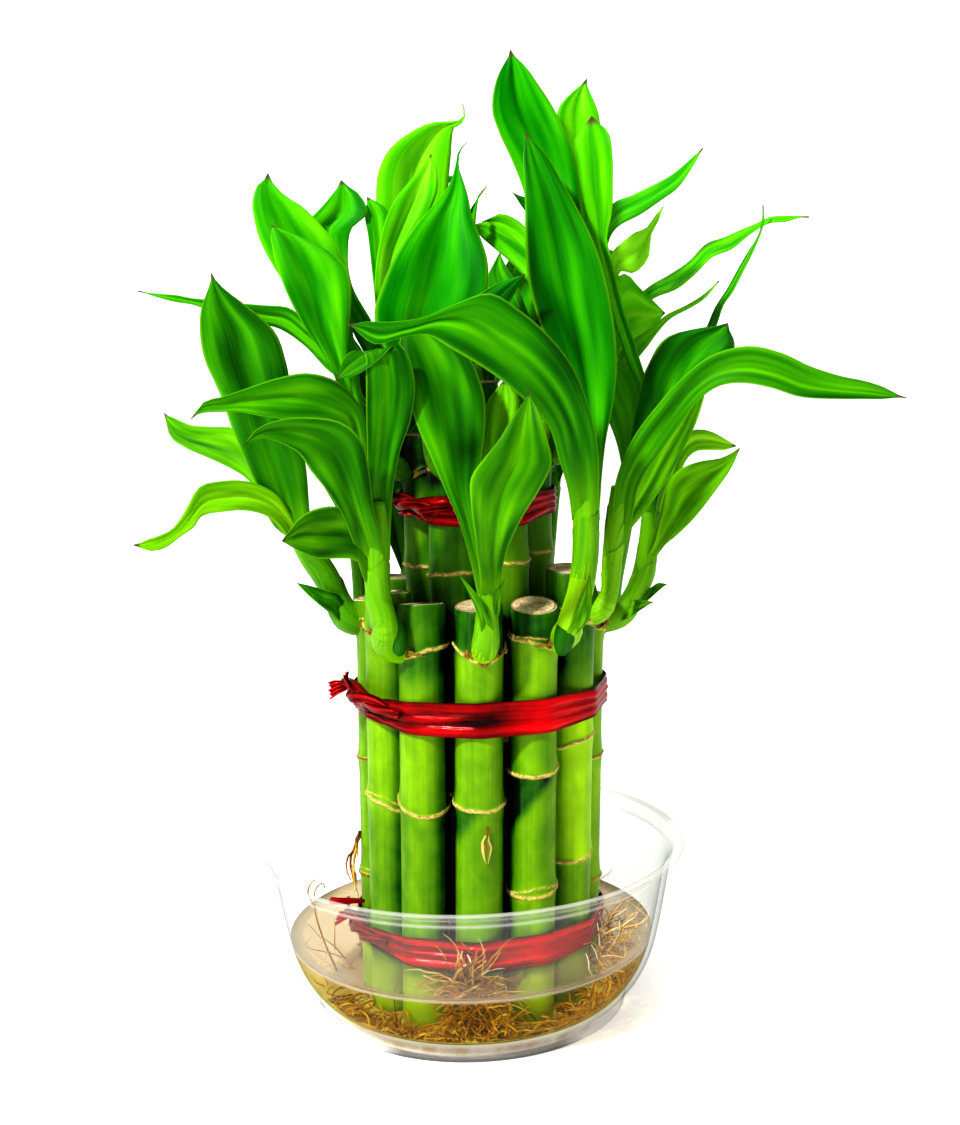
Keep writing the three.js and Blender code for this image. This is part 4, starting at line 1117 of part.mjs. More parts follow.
       [-20.64, -31.18, 122.7, -17.84, -30.62, 122.56, -14.96, -31.18, 122.57],
       [-20.08, -32.28, 130.49, -17.19, -31.69, 130.36, -14.22, -32.28, 130.36],
       [-19.46, -33.75, 139.3, -15.96, -33.04, 138.94, -12.38, -33.75, 138.7],
       [-19.27, -35.38, 147.97, -14.44, -34.38, 147.27, -9.49, -35.38, 146.68],
       [-18.96, -36.47, 154.79, -13.92, -35.44, 154.95, -8.78, -36.47, 155.19],
       [-19.16, -36.97, 160.27, -15.59, -36.22, 161.01, -11.94, -36.97, 161.78],
       [-22.08, -37.41, 160.35, -19.85, -36.85, 158.82, -17.54, -37.41, 157.31],
       [-23.8, -37.83, 158.31, -23.05, -37.45, 156.6, -22.24, -37.83, 154.92],
       [-25.49, -38.02, 154.37, -25.41, -38, 154.37, -25.33, -38.02, 154.37]],
      [[-20.93, -29.45, 111.34, -18.49, -29.45, 111.62, -16.05, -29.45, 111.9],
       [-23.01, -33.5, 118.68, -20.01, -32.58, 119.02, -16.89, -33.5, 119.63],
       [-25.09, -36.67, 125.92, -21.81, -35.63, 126.69, -18.37, -36.67, 127.71],
       [-28.28, -39.13, 131.87, -23.66, -37.61, 133.53, -18.8, -39.13, 135.49],
       [-31.11, -40.98, 135.96, -25.79, -39.1, 138.84, -20.14, -40.98, 142.03],
       [-32.96, -42.11, 139.27, -28.59, -40.42, 142.5, -23.9, -42.11, 145.97],
       [-35.88, -43.22, 141.53, -33.8, -42.14, 144.32, -31.47, -43.22, 147.26],
       [-39.83, -44.4, 143.17, -38.79, -43.78, 144.87, -37.6, -44.4, 146.65],
       [-42.43, -45.24, 142.88, -42.02, -44.91, 143.88, -41.51, -45.24, 144.93],
       [-44.33, -46.02, 141.54, -44.25, -46, 141.53, -44.16, -46.02, 141.53]],
      [[-19.8, -29.1, 106.09, -18, -29.1, 106.95, -16.2, -29.1, 107.81],
       [-21.64, -31.69, 111.73, -19.63, -30.9, 114.11, -17.53, -31.69, 116.74],
       [-22.92, -33.27, 115.34, -21.99, -32.31, 119.03, -20.92, -33.27, 122.98],
       [-26.43, -35.31, 115.96, -25.59, -33.96, 121.22, -24.52, -35.31, 126.82],
       [-31.06, -38.52, 116.78, -30.66, -37.19, 122, -29.99, -38.52, 127.56],
       [-34.61, -40.44, 118.89, -34.25, -39.59, 122.2, -33.69, -40.44, 125.74],
       [-37.61, -42.02, 121.12, -37.52, -42, 121.12, -37.44, -42.02, 121.12]],
    ],
  },
};
for (const [name, { stem, leaves }] of Object.entries(SHOOTS)) {
  let s = solid(stemBody(stem));
  for (const rows of leaves) s = s.add(solid(leafBody(rows)));
  place(name, withoutPockets(fromSolid(s)), leafLook());
}

export default group;
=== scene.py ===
import math
import random

import bpy
import numpy as np
from mathutils import Matrix, Vector, noise


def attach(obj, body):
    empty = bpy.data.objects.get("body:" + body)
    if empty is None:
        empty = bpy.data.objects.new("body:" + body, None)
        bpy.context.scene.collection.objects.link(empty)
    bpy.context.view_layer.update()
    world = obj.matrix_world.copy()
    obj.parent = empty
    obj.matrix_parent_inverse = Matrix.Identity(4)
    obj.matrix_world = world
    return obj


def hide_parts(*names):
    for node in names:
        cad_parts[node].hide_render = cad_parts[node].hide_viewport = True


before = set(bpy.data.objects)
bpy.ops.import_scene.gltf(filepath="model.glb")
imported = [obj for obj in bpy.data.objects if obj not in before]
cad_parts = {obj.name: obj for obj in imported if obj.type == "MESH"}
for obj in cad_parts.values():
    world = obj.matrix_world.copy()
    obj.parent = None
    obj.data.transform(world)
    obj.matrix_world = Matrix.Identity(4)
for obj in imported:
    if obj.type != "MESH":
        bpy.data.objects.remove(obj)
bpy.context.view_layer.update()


scene = bpy.context.scene
scene.view_settings.view_transform = "Standard"
scene.view_settings.look = "High Contrast"
scene.cycles.max_bounces = 18
scene.cycles.transmission_bounces = 14
scene.cycles.transparent_max_bounces = 24
scene.cycles.diffuse_bounces = 5
scene.cycles.glossy_bounces = 6
scene.cycles.caustics_refractive = False
scene.cycles.caustics_reflective = False

# ---- camera: at the photograph's height, tilt and slight roll ----
PITCH, ROLL = math.radians(9.0), -0.023
right0, up0 = Vector((1, 0, 0)), Vector((0, math.sin(PITCH), math.cos(PITCH)))
ahead = Vector((0, math.cos(PITCH), -math.sin(PITCH)))
right = right0 * math.cos(ROLL) + up0 * math.sin(ROLL)
up = right0 * -math.sin(ROLL) + up0 * math.cos(ROLL)
cam_data = bpy.data.cameras.new("camera")
cam_data.sensor_fit = "VERTICAL"
cam_data.sensor_height = 36.0
cam_data.lens = 1559.702 / 1125 * 36
cam_data.clip_start = 0.01
cam = bpy.data.objects.new("camera", cam_data)
scene.collection.objects.link(cam)
m = Matrix((right, up, -ahead)).transposed().to_4x4()
m.translation = Vector((0.004289, -0.369078, 0.167339))
cam.matrix_world = m
scene.camera = cam

# ---- numbers shared with the CAD, in millimetres ----
CANE_R, CANE_FOOT = 5.8, 3.1
OUTER = [  # angle round the bundle, cut height, ring heights
    (-0.8, 103.2, [20, 58.3, 92.9]), (30, 102.2, [37.1, 65.2, 94.1]), (60, 109, [41.7, 69, 98]),
    (90, 101, [30.8, 61.8, 93.6]), (120, 104, [48, 88]), (150, 101, [38, 68.5, 92]),
    (180, 105, [52, 91]), (-150, 102, [33, 66, 92]), (-120, 104, [45, 87]),
    (-90, 101, [33, 63.6, 95]), (-61.6, 104.3, [27, 56.1, 96]), (-33, 103, [26, 56.4, 92.5]),
]
INNER = [
    (-30, 143, [56, 108.5, 133]), (30, 141, [70, 111, 132]), (90, 143, [62, 112, 134]),
    (150, 144, [54, 110, 134]), (-150, 141, [66, 106, 132]), (-90, 140, [60, 109, 131]),
]
CENTRE = (152, [72, 114, 138])
WATER_TOP = 17.5


def axis(angle, foot, top, z):
    t = min(max((z - 3.1) / (95 - 3.1), 0.0), 10.0)
    t = (z - 3.1) / (95 - 3.1)
    t = min(max(t, 0.0), 1.0)
    r, x0, a = foot + (top - foot) * t, 2 + 2 * t, math.radians(angle)
    return np.array([x0 + r * math.sin(a), -r * math.cos(a)])


CANES = [(f"cane_outer_{i + 1:02d}", a, 23.7, 24.3, cut, rings) for i, (a, cut, rings) in enumerate(OUTER)]
CANES += [(f"cane_inner_{i + 1}", a, 11.9, 12.1, cut, rings) for i, (a, cut, rings) in enumerate(INNER)]
CANES += [("cane_centre", 0, 0.0, 0.0, *CENTRE)]

# each shoot: its stem as [x, y, z, radius], and its leaves as (tone, seen from the front, rows of left edge, midrib and
# right edge); a leaf's tone is partly its own green and partly painted light and shade
SHOOTS = {
    "shoot_centre": {
        "stem": [[4, 8.7, 145.2, 2.3], [4, 8.78, 151.95, 2.12], [4, 8.9, 158.7, 1.95], [4, 9.06, 165.45, 1.77], [4, 9.24, 172.2, 1.6]],
        "leaves": [
            (0.46, 0, [[2.64, 10.04, 155.85, 4, 8.85, 156, 5.36, 7.66, 156.15], [-0.23, 11.93, 163.46, 2.23, 7.83, 164.23, 6.51, 6.14, 165.73], [-4.04, 13.19, 169.53, -0.67, 7.57, 172.19, 5.27, 5.62, 175.47], [-8.39, 13.98, 174.97, -4.38, 8.9, 179.69, 2.47, 8.02, 183.74], [-13.35, 15.38, 181.72, -7.97, 12.42, 186.52, -0.48, 13.08, 188.6], [-16.41, 20.16, 190.08, -10.11, 18.11, 192.43, -3.23, 18.53, 191.08], [-14.54, 27.84, 197.16, -9.61, 25.1, 197.2, -5.01, 24.11, 194.09], [-8, 34.57, 201.28, -5.85, 31.9, 200.58, -4.04, 30.39, 198], [0.75, 36.89, 202.43, 0.82, 36.8, 202.4, 0.88, 36.75, 202.31]]),
            (0.28, 0, [[5.54, 9.7, 160.03, 4, 8.93, 160.05, 2.46, 8.17, 160.07], [7.23, 12.56, 168, 2.76, 11.66, 167.56, -0.68, 8.71, 168.32], [7.88, 16.47, 175.37, 1.35, 15.15, 174.71, -3.76, 11.08, 176.22], [7.21, 20.98, 182.06, -0.21, 19.55, 181.31, -6.15, 15.35, 183.49], [5.41, 26.14, 187.92, -1.83, 24.88, 187.15, -7.83, 21.37, 189.68], [3.12, 32.09, 192.82, -3.44, 31.12, 192.04, -9.07, 28.6, 194.56], [0.34, 38.77, 196.53, -4.91, 38.15, 195.75, -9.63, 36.73, 197.83], [-2.94, 46.09, 198.75, -6.17, 45.77, 198.1, -9.22, 45.28, 199.31], [-7.01, 53.76, 198.98, -7.13, 53.75, 198.96, -7.24, 53.73, 199]]),
        ],
    },
    "shoot_inner_1": {
        "stem": [[-4.75, -19, 130.93, 2.25], [-5.82, -20, 140.05, 2.24], [-6.91, -20, 148.99, 2.23], [-7.62, -19, 156.72, 2]],
        "leaves": [
            (0.54, 1, [[-10, -19.9, 150.17, -7.33, -19.9, 150.11, -4.66, -19.9, 150.05], [-15.45, -24.14, 160.33, -7.36, -20.63, 160.06, 0.98, -24.14, 159.95], [-17.51, -25.66, 167.95, -6.15, -20.69, 167.37, 5.51, -25.66, 166.78], [-15.58, -25.33, 174.34, -4.21, -20.36, 174.17, 7.41, -25.33, 173.81], [-12.86, -24.15, 180.07, -2.86, -19.78, 180, 7.33, -24.15, 179.62], [-9.75, -22.5, 184.77, -1.97, -19.11, 184.76, 5.92, -22.5, 184.41], [-6.2, -20.6, 189.06, -0.99, -18.34, 189.09, 4.28, -20.6, 188.83], [-2.64, -18.77, 192.96, 0.42, -17.44, 193.2, 3.51, -18.77, 193.25], [-0.39, -17.26, 196.24, 1.04, -16.63, 196.58, 2.49, -17.26, 196.82], [0.78, -16.05, 199.53, 1.22, -15.86, 199.54, 1.66, -16.05, 199.51], [1.75, -14.82, 203.49, 1.97, -14.72, 203.5, 2.19, -14.82, 203.48], [3.47, -14.04, 205.25, 3.55, -14, 205.25, 3.64, -14.04, 205.25]]),
            (0.5, 1, [[-8.88, -19.44, 153.23, -7.35, -19.44, 153.7, -5.82, -19.44, 154.17], [-5.91, -19.4, 153.38, -4.23, -19.4, 153.89, -2.54, -19.4, 154.41], [-2.48, -5.95, 166.48, -0.5, -5.26, 167.57, 1.49, -5.95, 168.66], [0.78, 1.71, 180.23, 2.67, 2.38, 181.36, 4.57, 1.71, 182.44], [2.61, 3.67, 188.99, 4.05, 4.34, 190.6, 5.49, 3.67, 192.12], [4.82, 4.03, 193.31, 5.55, 4.42, 194.34, 6.27, 4.03, 195.33], [8.32, 3.97, 197.55, 8.42, 4, 197.55, 8.51, 3.97, 197.55]]),
            (0.29, 0, [[-7.52, -20.07, 137.66, -5.52, -19.8, 137.56, -3.53, -19.53, 137.47], [-8.21, -21.08, 143.87, -5.03, -21.45, 143.17, -1.99, -20.22, 143.03], [-8.54, -22.78, 150.21, -4.03, -23.26, 148.67, 0.33, -21.39, 147.99], [-7.27, -24.66, 156.37, -2.41, -25.11, 153.99, 2.35, -22.89, 152.58], [-4.47, -26.42, 162.01, -0.08, -26.84, 159.1, 4.24, -24.63, 156.99], [-0.61, -27.68, 167, 2.98, -28.23, 163.91, 6.5, -26.34, 161.31], [4.13, -28.21, 171.08, 6.71, -29.04, 168.37, 9.22, -27.88, 165.73], [9.5, -28.07, 174.01, 10.96, -29.04, 172.41, 12.38, -28.8, 170.53], [15.45, -28.01, 176.05, 15.52, -28.06, 175.97, 15.59, -28.05, 175.88]]),
        ],
    },
    "shoot_inner_2": {
        "stem": [[15.98, -19, 130.45, 2.25], [17.98, -18, 139.34, 2.25], [20.46, -16, 148.15, 2.26], [22.5, -14, 157, 2.03]],
        "leaves": [
            (0.58, 1, [[19.59, -15.35, 150.7, 21.16, -15.35, 151.03, 22.72, -15.35, 151.36], [19.42, -13.8, 161.54, 23.78, -12.58, 161.98, 28.01, -13.8, 162.46], [18.37, -11.12, 172.72, 23.66, -9.64, 173.19, 28.78, -11.12, 173.6], [17.31, -8.23, 183.97, 23.3, -6.55, 184.47, 29.12, -8.23, 184.82], [16.23, -5.69, 194.82, 22.69, -3.87, 195.03, 28.97, -5.69, 194.97], [13.67, -4.57, 202.06, 20.7, -2.57, 202.98, 27.56, -4.57, 203.52], [10.85, -4.24, 208.34, 18.08, -2.17, 209.18, 25.16, -4.24, 209.56], [9.37, -4.09, 213.66, 16.01, -2.18, 214.42, 22.53, -4.09, 214.68], [10.17, -3.62, 218.96, 15.08, -2.21, 219.05, 19.9, -3.62, 218.74], [12.09, -2.82, 223.4, 14.48, -2.13, 223.45, 16.84, -2.82, 223.3], [13.67, -2.02, 226.76, 13.76, -1.99, 226.77, 13.85, -2.02, 226.76]]),
            (0.85, 1, [[20.57, -14.45, 154.42, 22.05, -14.45, 155.01, 23.54, -14.45, 155.61], [20.56, -4.33, 163.66, 22.34, -3.69, 164.76, 24.06, -4.33, 165.87], [17.56, 3.78, 174.14, 19.39, 4.54, 175.85, 21.15, 3.78, 177.53], [13.04, 7.13, 179.67, 14.52, 7.92, 181.77, 15.96, 7.13, 183.79], [9.33, 8.68, 183.08, 10.1, 9.37, 185.19, 10.85, 8.68, 187.24], [6.07, 9.35, 185.98, 6.59, 9.91, 187.75, 7.1, 9.35, 189.45], [3.66, 9.97, 188.4, 3.75, 10, 188.4, 3.85, 9.97, 188.39]]),
            (0.92, 1, [[20.7, -14.45, 154.16, 22.05, -14.45, 155.01, 23.41, -14.45, 155.87], [23.41, -14, 156.98, 24.78, -14, 157.85, 26.14, -14, 158.71], [21.84, 5.93, 170.58, 23.55, 6.55, 171.72, 25.2, 5.93, 172.84], [17.62, 15.44, 181.51, 18.64, 16.07, 183.3, 19.61, 15.44, 185.03], [12.91, 17.48, 186.23, 13.7, 18.19, 188.39, 14.45, 17.48, 190.47], [9.07, 17.81, 188.24, 9.72, 18.37, 189.92, 10.36, 17.81, 191.53], [6.58, 17.97, 189.73, 6.68, 18, 189.73, 6.77, 17.97, 189.72]]),
            (0.5, 1, [[20.56, -14.45, 154.43, 22.05, -14.45, 155.01, 23.55, -14.45, 155.59], [22.81, 7.13, 168.22, 24.53, 7.75, 169.36, 26.18, 7.13, 170.49], [21.88, 18.62, 181.54, 23.26, 19.18, 182.73, 24.6, 18.62, 183.87], [19.42, 20.98, 189.61, 20.21, 21.55, 191.31, 20.94, 20.98, 192.93], [16.78, 20.81, 193.01, 17.19, 21.2, 194.22, 17.56, 20.81, 195.38], [14.05, 19.97, 196.82, 14.15, 20, 196.82, 14.25, 19.97, 196.82]]),
            (0.63, 1, [[18.67, -15.8, 148.18, 20.48, -15.8, 148.7, 22.29, -15.8, 149.22], [14.69, -4.35, 159.21, 17.06, -3.56, 160.29, 19.36, -4.35, 161.4], [10.29, 0.93, 166.63, 13.28, 1.94, 168.07, 16.21, 0.93, 169.5], [7.4, 3.35, 172.74, 10.85, 4.45, 173.84, 14.27, 3.35, 174.9], [7.73, 4.76, 176.7, 9.78, 5.49, 177.95, 11.79, 4.76, 179.16], [10.6, 5.97, 182.01, 10.69, 6, 182.01, 10.79, 5.97, 182.01]]),
            (0.39, 0, [[16.44, -16.76, 139.74, 18.1, -17.91, 139.84, 19.77, -19.06, 139.94], [15.14, -16.06, 146.38, 17.04, -18.88, 146.58, 20.21, -19.64, 147.56], [12.38, -15.73, 151.87, 14.8, -19.92, 153.02, 18.94, -21.1, 155.5], [9.28, -15.77, 156.27, 11.17, -20.41, 158.86, 15.02, -21.58, 162.81], [5.47, -15.96, 159.78, 6.39, -19.61, 163.77, 9.44, -19.8, 168.32], [-0.44, -16.56, 162.72, 1.15, -16.98, 167.39, 4.52, -14.73, 170.23], [-7.05, -14.3, 168.87, -3.6, -12.41, 169.41, -0.83, -10.8, 167.08], [-9.29, -6.69, 170.24, -6.94, -6.37, 169.6, -5.6, -6.64, 167.55], [-8.41, 0.14, 167.9, -8.29, 0.16, 167.87, -8.23, 0.14, 167.76]]),
        ],
    },
    "shoot_inner_3": {
        "stem": [[26.85, 0, 129.64, 2.14], [29.08, 0, 136.49, 2.13], [31.63, 1, 145.81, 2.13], [33.7, 2, 155.13, 1.89]],
        "leaves": [
            (0.92, 1, [[31.23, 1.4, 149.33, 33.12, 1.4, 149.53, 35.01, 1.4, 149.72], [28.18, 6.35, 163.39, 31.23, 7.41, 163.55, 34.14, 6.35, 163.73], [26.96, 10.59, 177.59, 31.14, 12.04, 177.78, 35.11, 10.59, 177.88], [25.75, 11.37, 190.55, 30.89, 13.16, 190.9, 35.78, 11.37, 191.02], [24.94, 10.75, 202.12, 30.41, 12.67, 202.53, 35.61, 10.75, 202.57], [24.58, 10.39, 210.6, 30.01, 12.32, 210.47, 35.19, 10.39, 209.9], [25.61, 10.55, 215.85, 30.07, 12.14, 215.61, 34.31, 10.55, 214.97], [28.27, 11.21, 218.61, 30.69, 12.07, 218.56, 32.99, 11.21, 218.28], [32.05, 11.97, 222.05, 32.14, 12, 222.05, 32.24, 11.97, 222.04]]),
            (0.75, 1, [[31.73, 1.78, 152.87, 33.26, 1.78, 153.12, 34.8, 1.78, 153.37], [32.44, 8.79, 165.64, 34.22, 7.04, 165.84, 35.88, 4.13, 166.04], [32.6, 9.34, 176.26, 34.15, 7.8, 176.07, 35.6, 5.24, 175.85], [34.23, 10.63, 185.41, 35.42, 9.24, 184.61, 36.53, 6.94, 183.78], [38, 14.71, 192.6, 38.61, 12.36, 190.09, 39.06, 8.43, 187.52], [43.16, 18, 195.07, 43.88, 15.8, 192.78, 44.45, 12.13, 190.41], [49.11, 21.2, 198.04, 49.61, 19.28, 195.97, 49.95, 16.08, 193.84], [53.55, 23.39, 200.51, 54.06, 21.67, 198.68, 54.42, 18.81, 196.78], [57.69, 24.94, 203.66, 57.91, 23.87, 202.48, 58.03, 22.07, 201.24], [61.45, 26.09, 206.8, 61.53, 26, 206.79, 61.61, 25.85, 206.78]]),
            (1.3, 1, [[31.29, 1.57, 150.67, 32.83, 1.57, 151.11, 34.37, 1.57, 151.55], [33.4, 3.13, 163.3, 35.59, 3.8, 163.83, 37.67, 3.13, 164.37], [34.47, 3.24, 173.75, 36.4, 3.82, 173.71, 38.23, 3.24, 173.66], [37.11, 5.74, 181.4, 38.34, 6.52, 179.2, 39.43, 5.74, 176.94], [40.31, 6.84, 184.16, 41.46, 8.08, 180.35, 42.38, 6.84, 176.44], [43.11, 8.71, 186.05, 44.74, 9.71, 183.26, 46.17, 8.71, 180.38], [45.66, 10.25, 187, 46.29, 10.6, 186.07, 46.84, 10.25, 185.11], [47.92, 11.1, 189.8, 48.3, 11.34, 189.11, 48.62, 11.1, 188.38], [50.08, 11.97, 192.37, 50.18, 12, 192.37, 50.27, 11.97, 192.37]]),
            (0.94, 1, [[31.6, 1.71, 152.05, 33.12, 1.71, 152.45, 34.64, 1.71, 152.85], [33.67, 0.64, 162.16, 35.85, 1.79, 158.95, 37.83, 0.64, 155.78], [36.49, -0.56, 174.32, 37.58, 1.96, 166.24, 38.22, -0.56, 158.13], [39.69, 1.06, 176.12, 40.68, 3.43, 168.5, 41.21, 1.06, 160.82], [43.43, 3.57, 172.85, 44.16, 5.16, 167.73, 44.55, 3.57, 162.58], [46.98, 5.91, 169.77, 47.3, 6.74, 167.07, 47.43, 5.91, 164.37], [49.73, 7.97, 166.9, 49.83, 8, 166.9, 49.92, 7.97, 166.9]]),
            (1, 1, [[31.47, 2.14, 151.28, 32.97, 2.14, 151.78, 34.48, 2.14, 152.28], [37.41, 7.02, 155.61, 39.15, 5.25, 155.15, 40.76, 2.28, 154.74], [42.11, 10.61, 160.66, 43.61, 8.85, 159.7, 44.96, 5.93, 158.78], [46.66, 11.88, 163.4, 47.28, 10.95, 162.68, 47.82, 9.4, 161.97], [51.34, 14.5, 166.64, 51.64, 13.94, 166.15, 51.89, 13.02, 165.67], [55.81, 16.94, 168.47, 56.11, 16.47, 168.1, 56.37, 15.68, 167.73], [60.32, 19.41, 170.81, 60.51, 19.01, 170.43, 60.65, 18.34, 170.06], [64.81, 22.09, 174.39, 64.89, 22, 174.39, 64.97, 21.85, 174.38]]),
            (0.83, 1, [[31.14, 1.5, 150.04, 32.69, 1.5, 150.44, 34.24, 1.5, 150.85], [35.94, 11.15, 160.78, 37.69, 9.19, 160.54, 39.32, 6.06, 160.31], [41.81, 16.24, 168.78, 42.64, 14.85, 167.8, 43.38, 12.61, 166.82], [47.69, 20.66, 173.54, 48.25, 19.1, 172.17, 48.69, 16.6, 170.8], [52.55, 24.07, 175.93, 53.3, 22.16, 174.29, 53.89, 19.09, 172.64], [58.5, 27.59, 179.57, 59.15, 25.94, 178.16, 59.64, 23.3, 176.73], [62.99, 30.89, 183.79, 63.47, 29.07, 182.1, 63.78, 26.15, 180.38], [67.97, 33.76, 185.54, 68.69, 31.91, 183.95, 69.22, 28.96, 182.33], [72.84, 35.64, 187.52, 73.27, 34.43, 186.45, 73.57, 32.49, 185.35], [76.32, 36.63, 188.74, 76.57, 35.88, 188.07, 76.74, 34.68, 187.38], [80.35, 37.82, 190.47, 80.33, 37.03, 189.67, 80.23, 35.77, 188.85], [84.58, 38.57, 190.67, 84.43, 37.79, 189.87, 84.2, 36.54, 189.06], [87.89, 38.49, 190.59, 87.84, 38.23, 190.32, 87.76, 37.81, 190.05], [90.38, 38.6, 190.29, 90.46, 38.49, 190.28, 90.52, 38.32, 190.27]]),
            (0.35, 0, [[31.29, -0.43, 137.77, 29.44, 0.08, 137.7, 27.59, 0.59, 137.64], [33.51, 2.3, 147.98, 30.26, 4.3, 147.1, 26.36, 4.18, 147.33], [35.37, 6.23, 157.97, 30.65, 8.99, 156.3, 24.95, 8.72, 156.37], [35.81, 11.31, 167.61, 30.52, 14.18, 165.24, 24.07, 13.71, 164.96], [34.82, 17.38, 176.62, 29.74, 19.85, 173.84, 23.52, 19.16, 173.19], [32.67, 24.06, 184.99, 28.21, 25.95, 182.04, 22.68, 25.05, 181.08], [29.27, 31.17, 192.48, 25.82, 32.38, 189.77, 21.51, 31.38, 188.69], [24.51, 38.46, 198.85, 22.49, 39.01, 196.96, 19.93, 38.2, 196.09], [18.24, 45.67, 203.63, 18.15, 45.69, 203.54, 18.05, 45.66, 203.51]]),
        ],
    },
    "shoot_inner_4": {
        "stem": [[13.06, 18.75, 135.5, 2.4], [13.26, 19.3, 144, 2.2], [13.59, 20.2, 152.5, 2], [13.99, 21.31, 161, 1.8], [14.46, 22.58, 169.5, 1.6]],
        "leaves": [
            (0.54, 0, [[14.84, 18.4, 147.43, 13.38, 19.63, 147.43, 11.92, 20.86, 147.42], [18.54, 18.04, 155.66, 15.33, 21.98, 155.09, 10.9, 24.47, 155.56], [22.64, 19.47, 163.4, 17.85, 25.08, 162.3, 11.44, 28.78, 163.15], [26.63, 22.93, 170.35, 21, 29.05, 168.81, 13.81, 33.34, 169.93], [30.48, 28.24, 176.06, 24.76, 33.89, 174.32, 17.85, 38.18, 175.58], [34.46, 34.77, 180.26, 29.03, 39.53, 178.56, 22.9, 43.51, 179.84], [38.26, 42.26, 182.65, 33.66, 45.79, 181.27, 28.85, 49.1, 182.41], [41.45, 50.42, 183.03, 38.46, 52.42, 182.24, 35.56, 54.57, 183], [43.28, 59.05, 181.35, 43.18, 59.12, 181.33, 43.09, 59.19, 181.35]]),
            (0.53, 0, [[14.38, 21.82, 152.45, 13.59, 20.2, 152.53, 12.8, 18.59, 152.61], [13.14, 25.31, 160.54, 9.99, 22.35, 160.09, 9.39, 18.28, 161.47], [10.95, 29.51, 167.59, 6.18, 25.34, 167.25, 4.94, 19.72, 169.91], [7.94, 33.7, 173.85, 2.23, 29.32, 173.84, 0.28, 23.5, 177.59], [4.26, 38.1, 179.37, -1.66, 34.38, 179.67, -4.21, 29.46, 183.95], [0.44, 43.19, 184.17, -5.26, 40.52, 184.58, -8.22, 36.94, 188.87], [-3.48, 49.11, 188.18, -8.32, 47.64, 188.41, -11.29, 45.62, 191.98], [-7.5, 56.03, 191.17, -10.6, 55.57, 191, -12.86, 54.91, 193.08], [-11.8, 64.04, 192.24, -11.92, 64.02, 192.24, -12, 64, 192.32]]),
            (0.8, 0, [[15.31, 19.77, 154.18, 13.66, 20.41, 154.23, 12.02, 21.05, 154.27], [17.74, 20.65, 161.66, 14.91, 23.12, 161.27, 11.25, 23.26, 162.18], [20.8, 22.58, 168.46, 16.71, 26.24, 168.02, 11.52, 26.68, 169.82], [23.71, 25.48, 174.65, 19.19, 29.78, 174.33, 13.59, 30.69, 176.93], [26.65, 29.24, 180.2, 22.48, 33.66, 180.04, 17.41, 35.08, 183.1], [30.07, 33.48, 185.08, 26.62, 37.75, 185.01, 22.53, 39.62, 188.14], [34.06, 38.21, 189.18, 31.62, 41.87, 189.07, 28.81, 43.93, 191.76], [38.7, 43.43, 192.3, 37.43, 45.83, 192.08, 36.03, 47.49, 193.73], [43.97, 49.34, 193.92, 43.91, 49.45, 193.92, 43.85, 49.52, 193.99]]),
        ],
    },
    "shoot_inner_5": {
        "stem": [[-6.45, 18.1, 132.5, 2.4], [-6.74, 18.61, 141, 2.2], [-7.22, 19.44, 149.5, 2], [-7.81, 20.46, 158, 1.8], [-8.49, 21.63, 166.5, 1.6]],
        "leaves": [
            (0.25, 0, [[-6.16, 20.5, 140.9, -6.74, 18.61, 141.02, -7.33, 16.72, 141.14], [-7.18, 23.98, 150.57, -9.5, 20.08, 150.93, -9.78, 15.66, 151.99], [-8.77, 28.12, 159.36, -12.18, 22.57, 160.66, -12.58, 16.34, 162.95], [-10.67, 32.2, 167.61, -14.48, 26.2, 170.12, -14.82, 19.5, 173.57], [-12.59, 36.43, 175.72, -16.01, 30.97, 179.22, -15.95, 24.85, 183.27], [-13.93, 41.37, 183.84, -16.31, 36.7, 187.88, -15.52, 31.47, 191.85], [-14.07, 46.81, 192.35, -14.99, 43.06, 195.99, -13.47, 38.91, 198.93], [-11.96, 52.05, 201.36, -11.79, 49.52, 203.46, -10.29, 46.86, 204.68], [-6.59, 55.58, 210.12, -6.58, 55.49, 210.19, -6.52, 55.39, 210.23]]),
            (0.42, 0, [[-6.72, 20.92, 145.93, -7.02, 19.08, 146.13, -7.32, 17.24, 146.33], [-8.52, 23.87, 152.34, -10.34, 20.37, 152.92, -10.27, 16.74, 154.59], [-10.6, 27.62, 157.14, -13.78, 23.18, 159.16, -14.2, 18.62, 162.77], [-12.78, 31.44, 160.77, -16.72, 27.74, 164.58, -17.38, 23.86, 169.89], [-15.6, 35.95, 163.43, -18.34, 33.88, 168.87, -17.62, 31.43, 174.77], [-21.51, 43.09, 167.71, -17.94, 40.97, 171.76, -12.76, 38.72, 173.08], [-18.7, 50.96, 173.88, -15.2, 48.02, 173.02, -12.67, 45.68, 169.89], [-11.51, 56.37, 173.54, -10.36, 53.94, 172.5, -10.05, 52.13, 170.27], [-4.27, 57.98, 170.18, -4.22, 57.88, 170.13, -4.21, 57.81, 170.04]]),
        ],
    },
    "shoot_inner_6": {
        "stem": [[-15.55, -4.6, 128.5, 2.36], [-16.01, -3.75, 134.2, 2.35], [-15.37, -2, 143.55, 2.35], [-15.85, 0, 153.99, 2.12]],
        "leaves": [
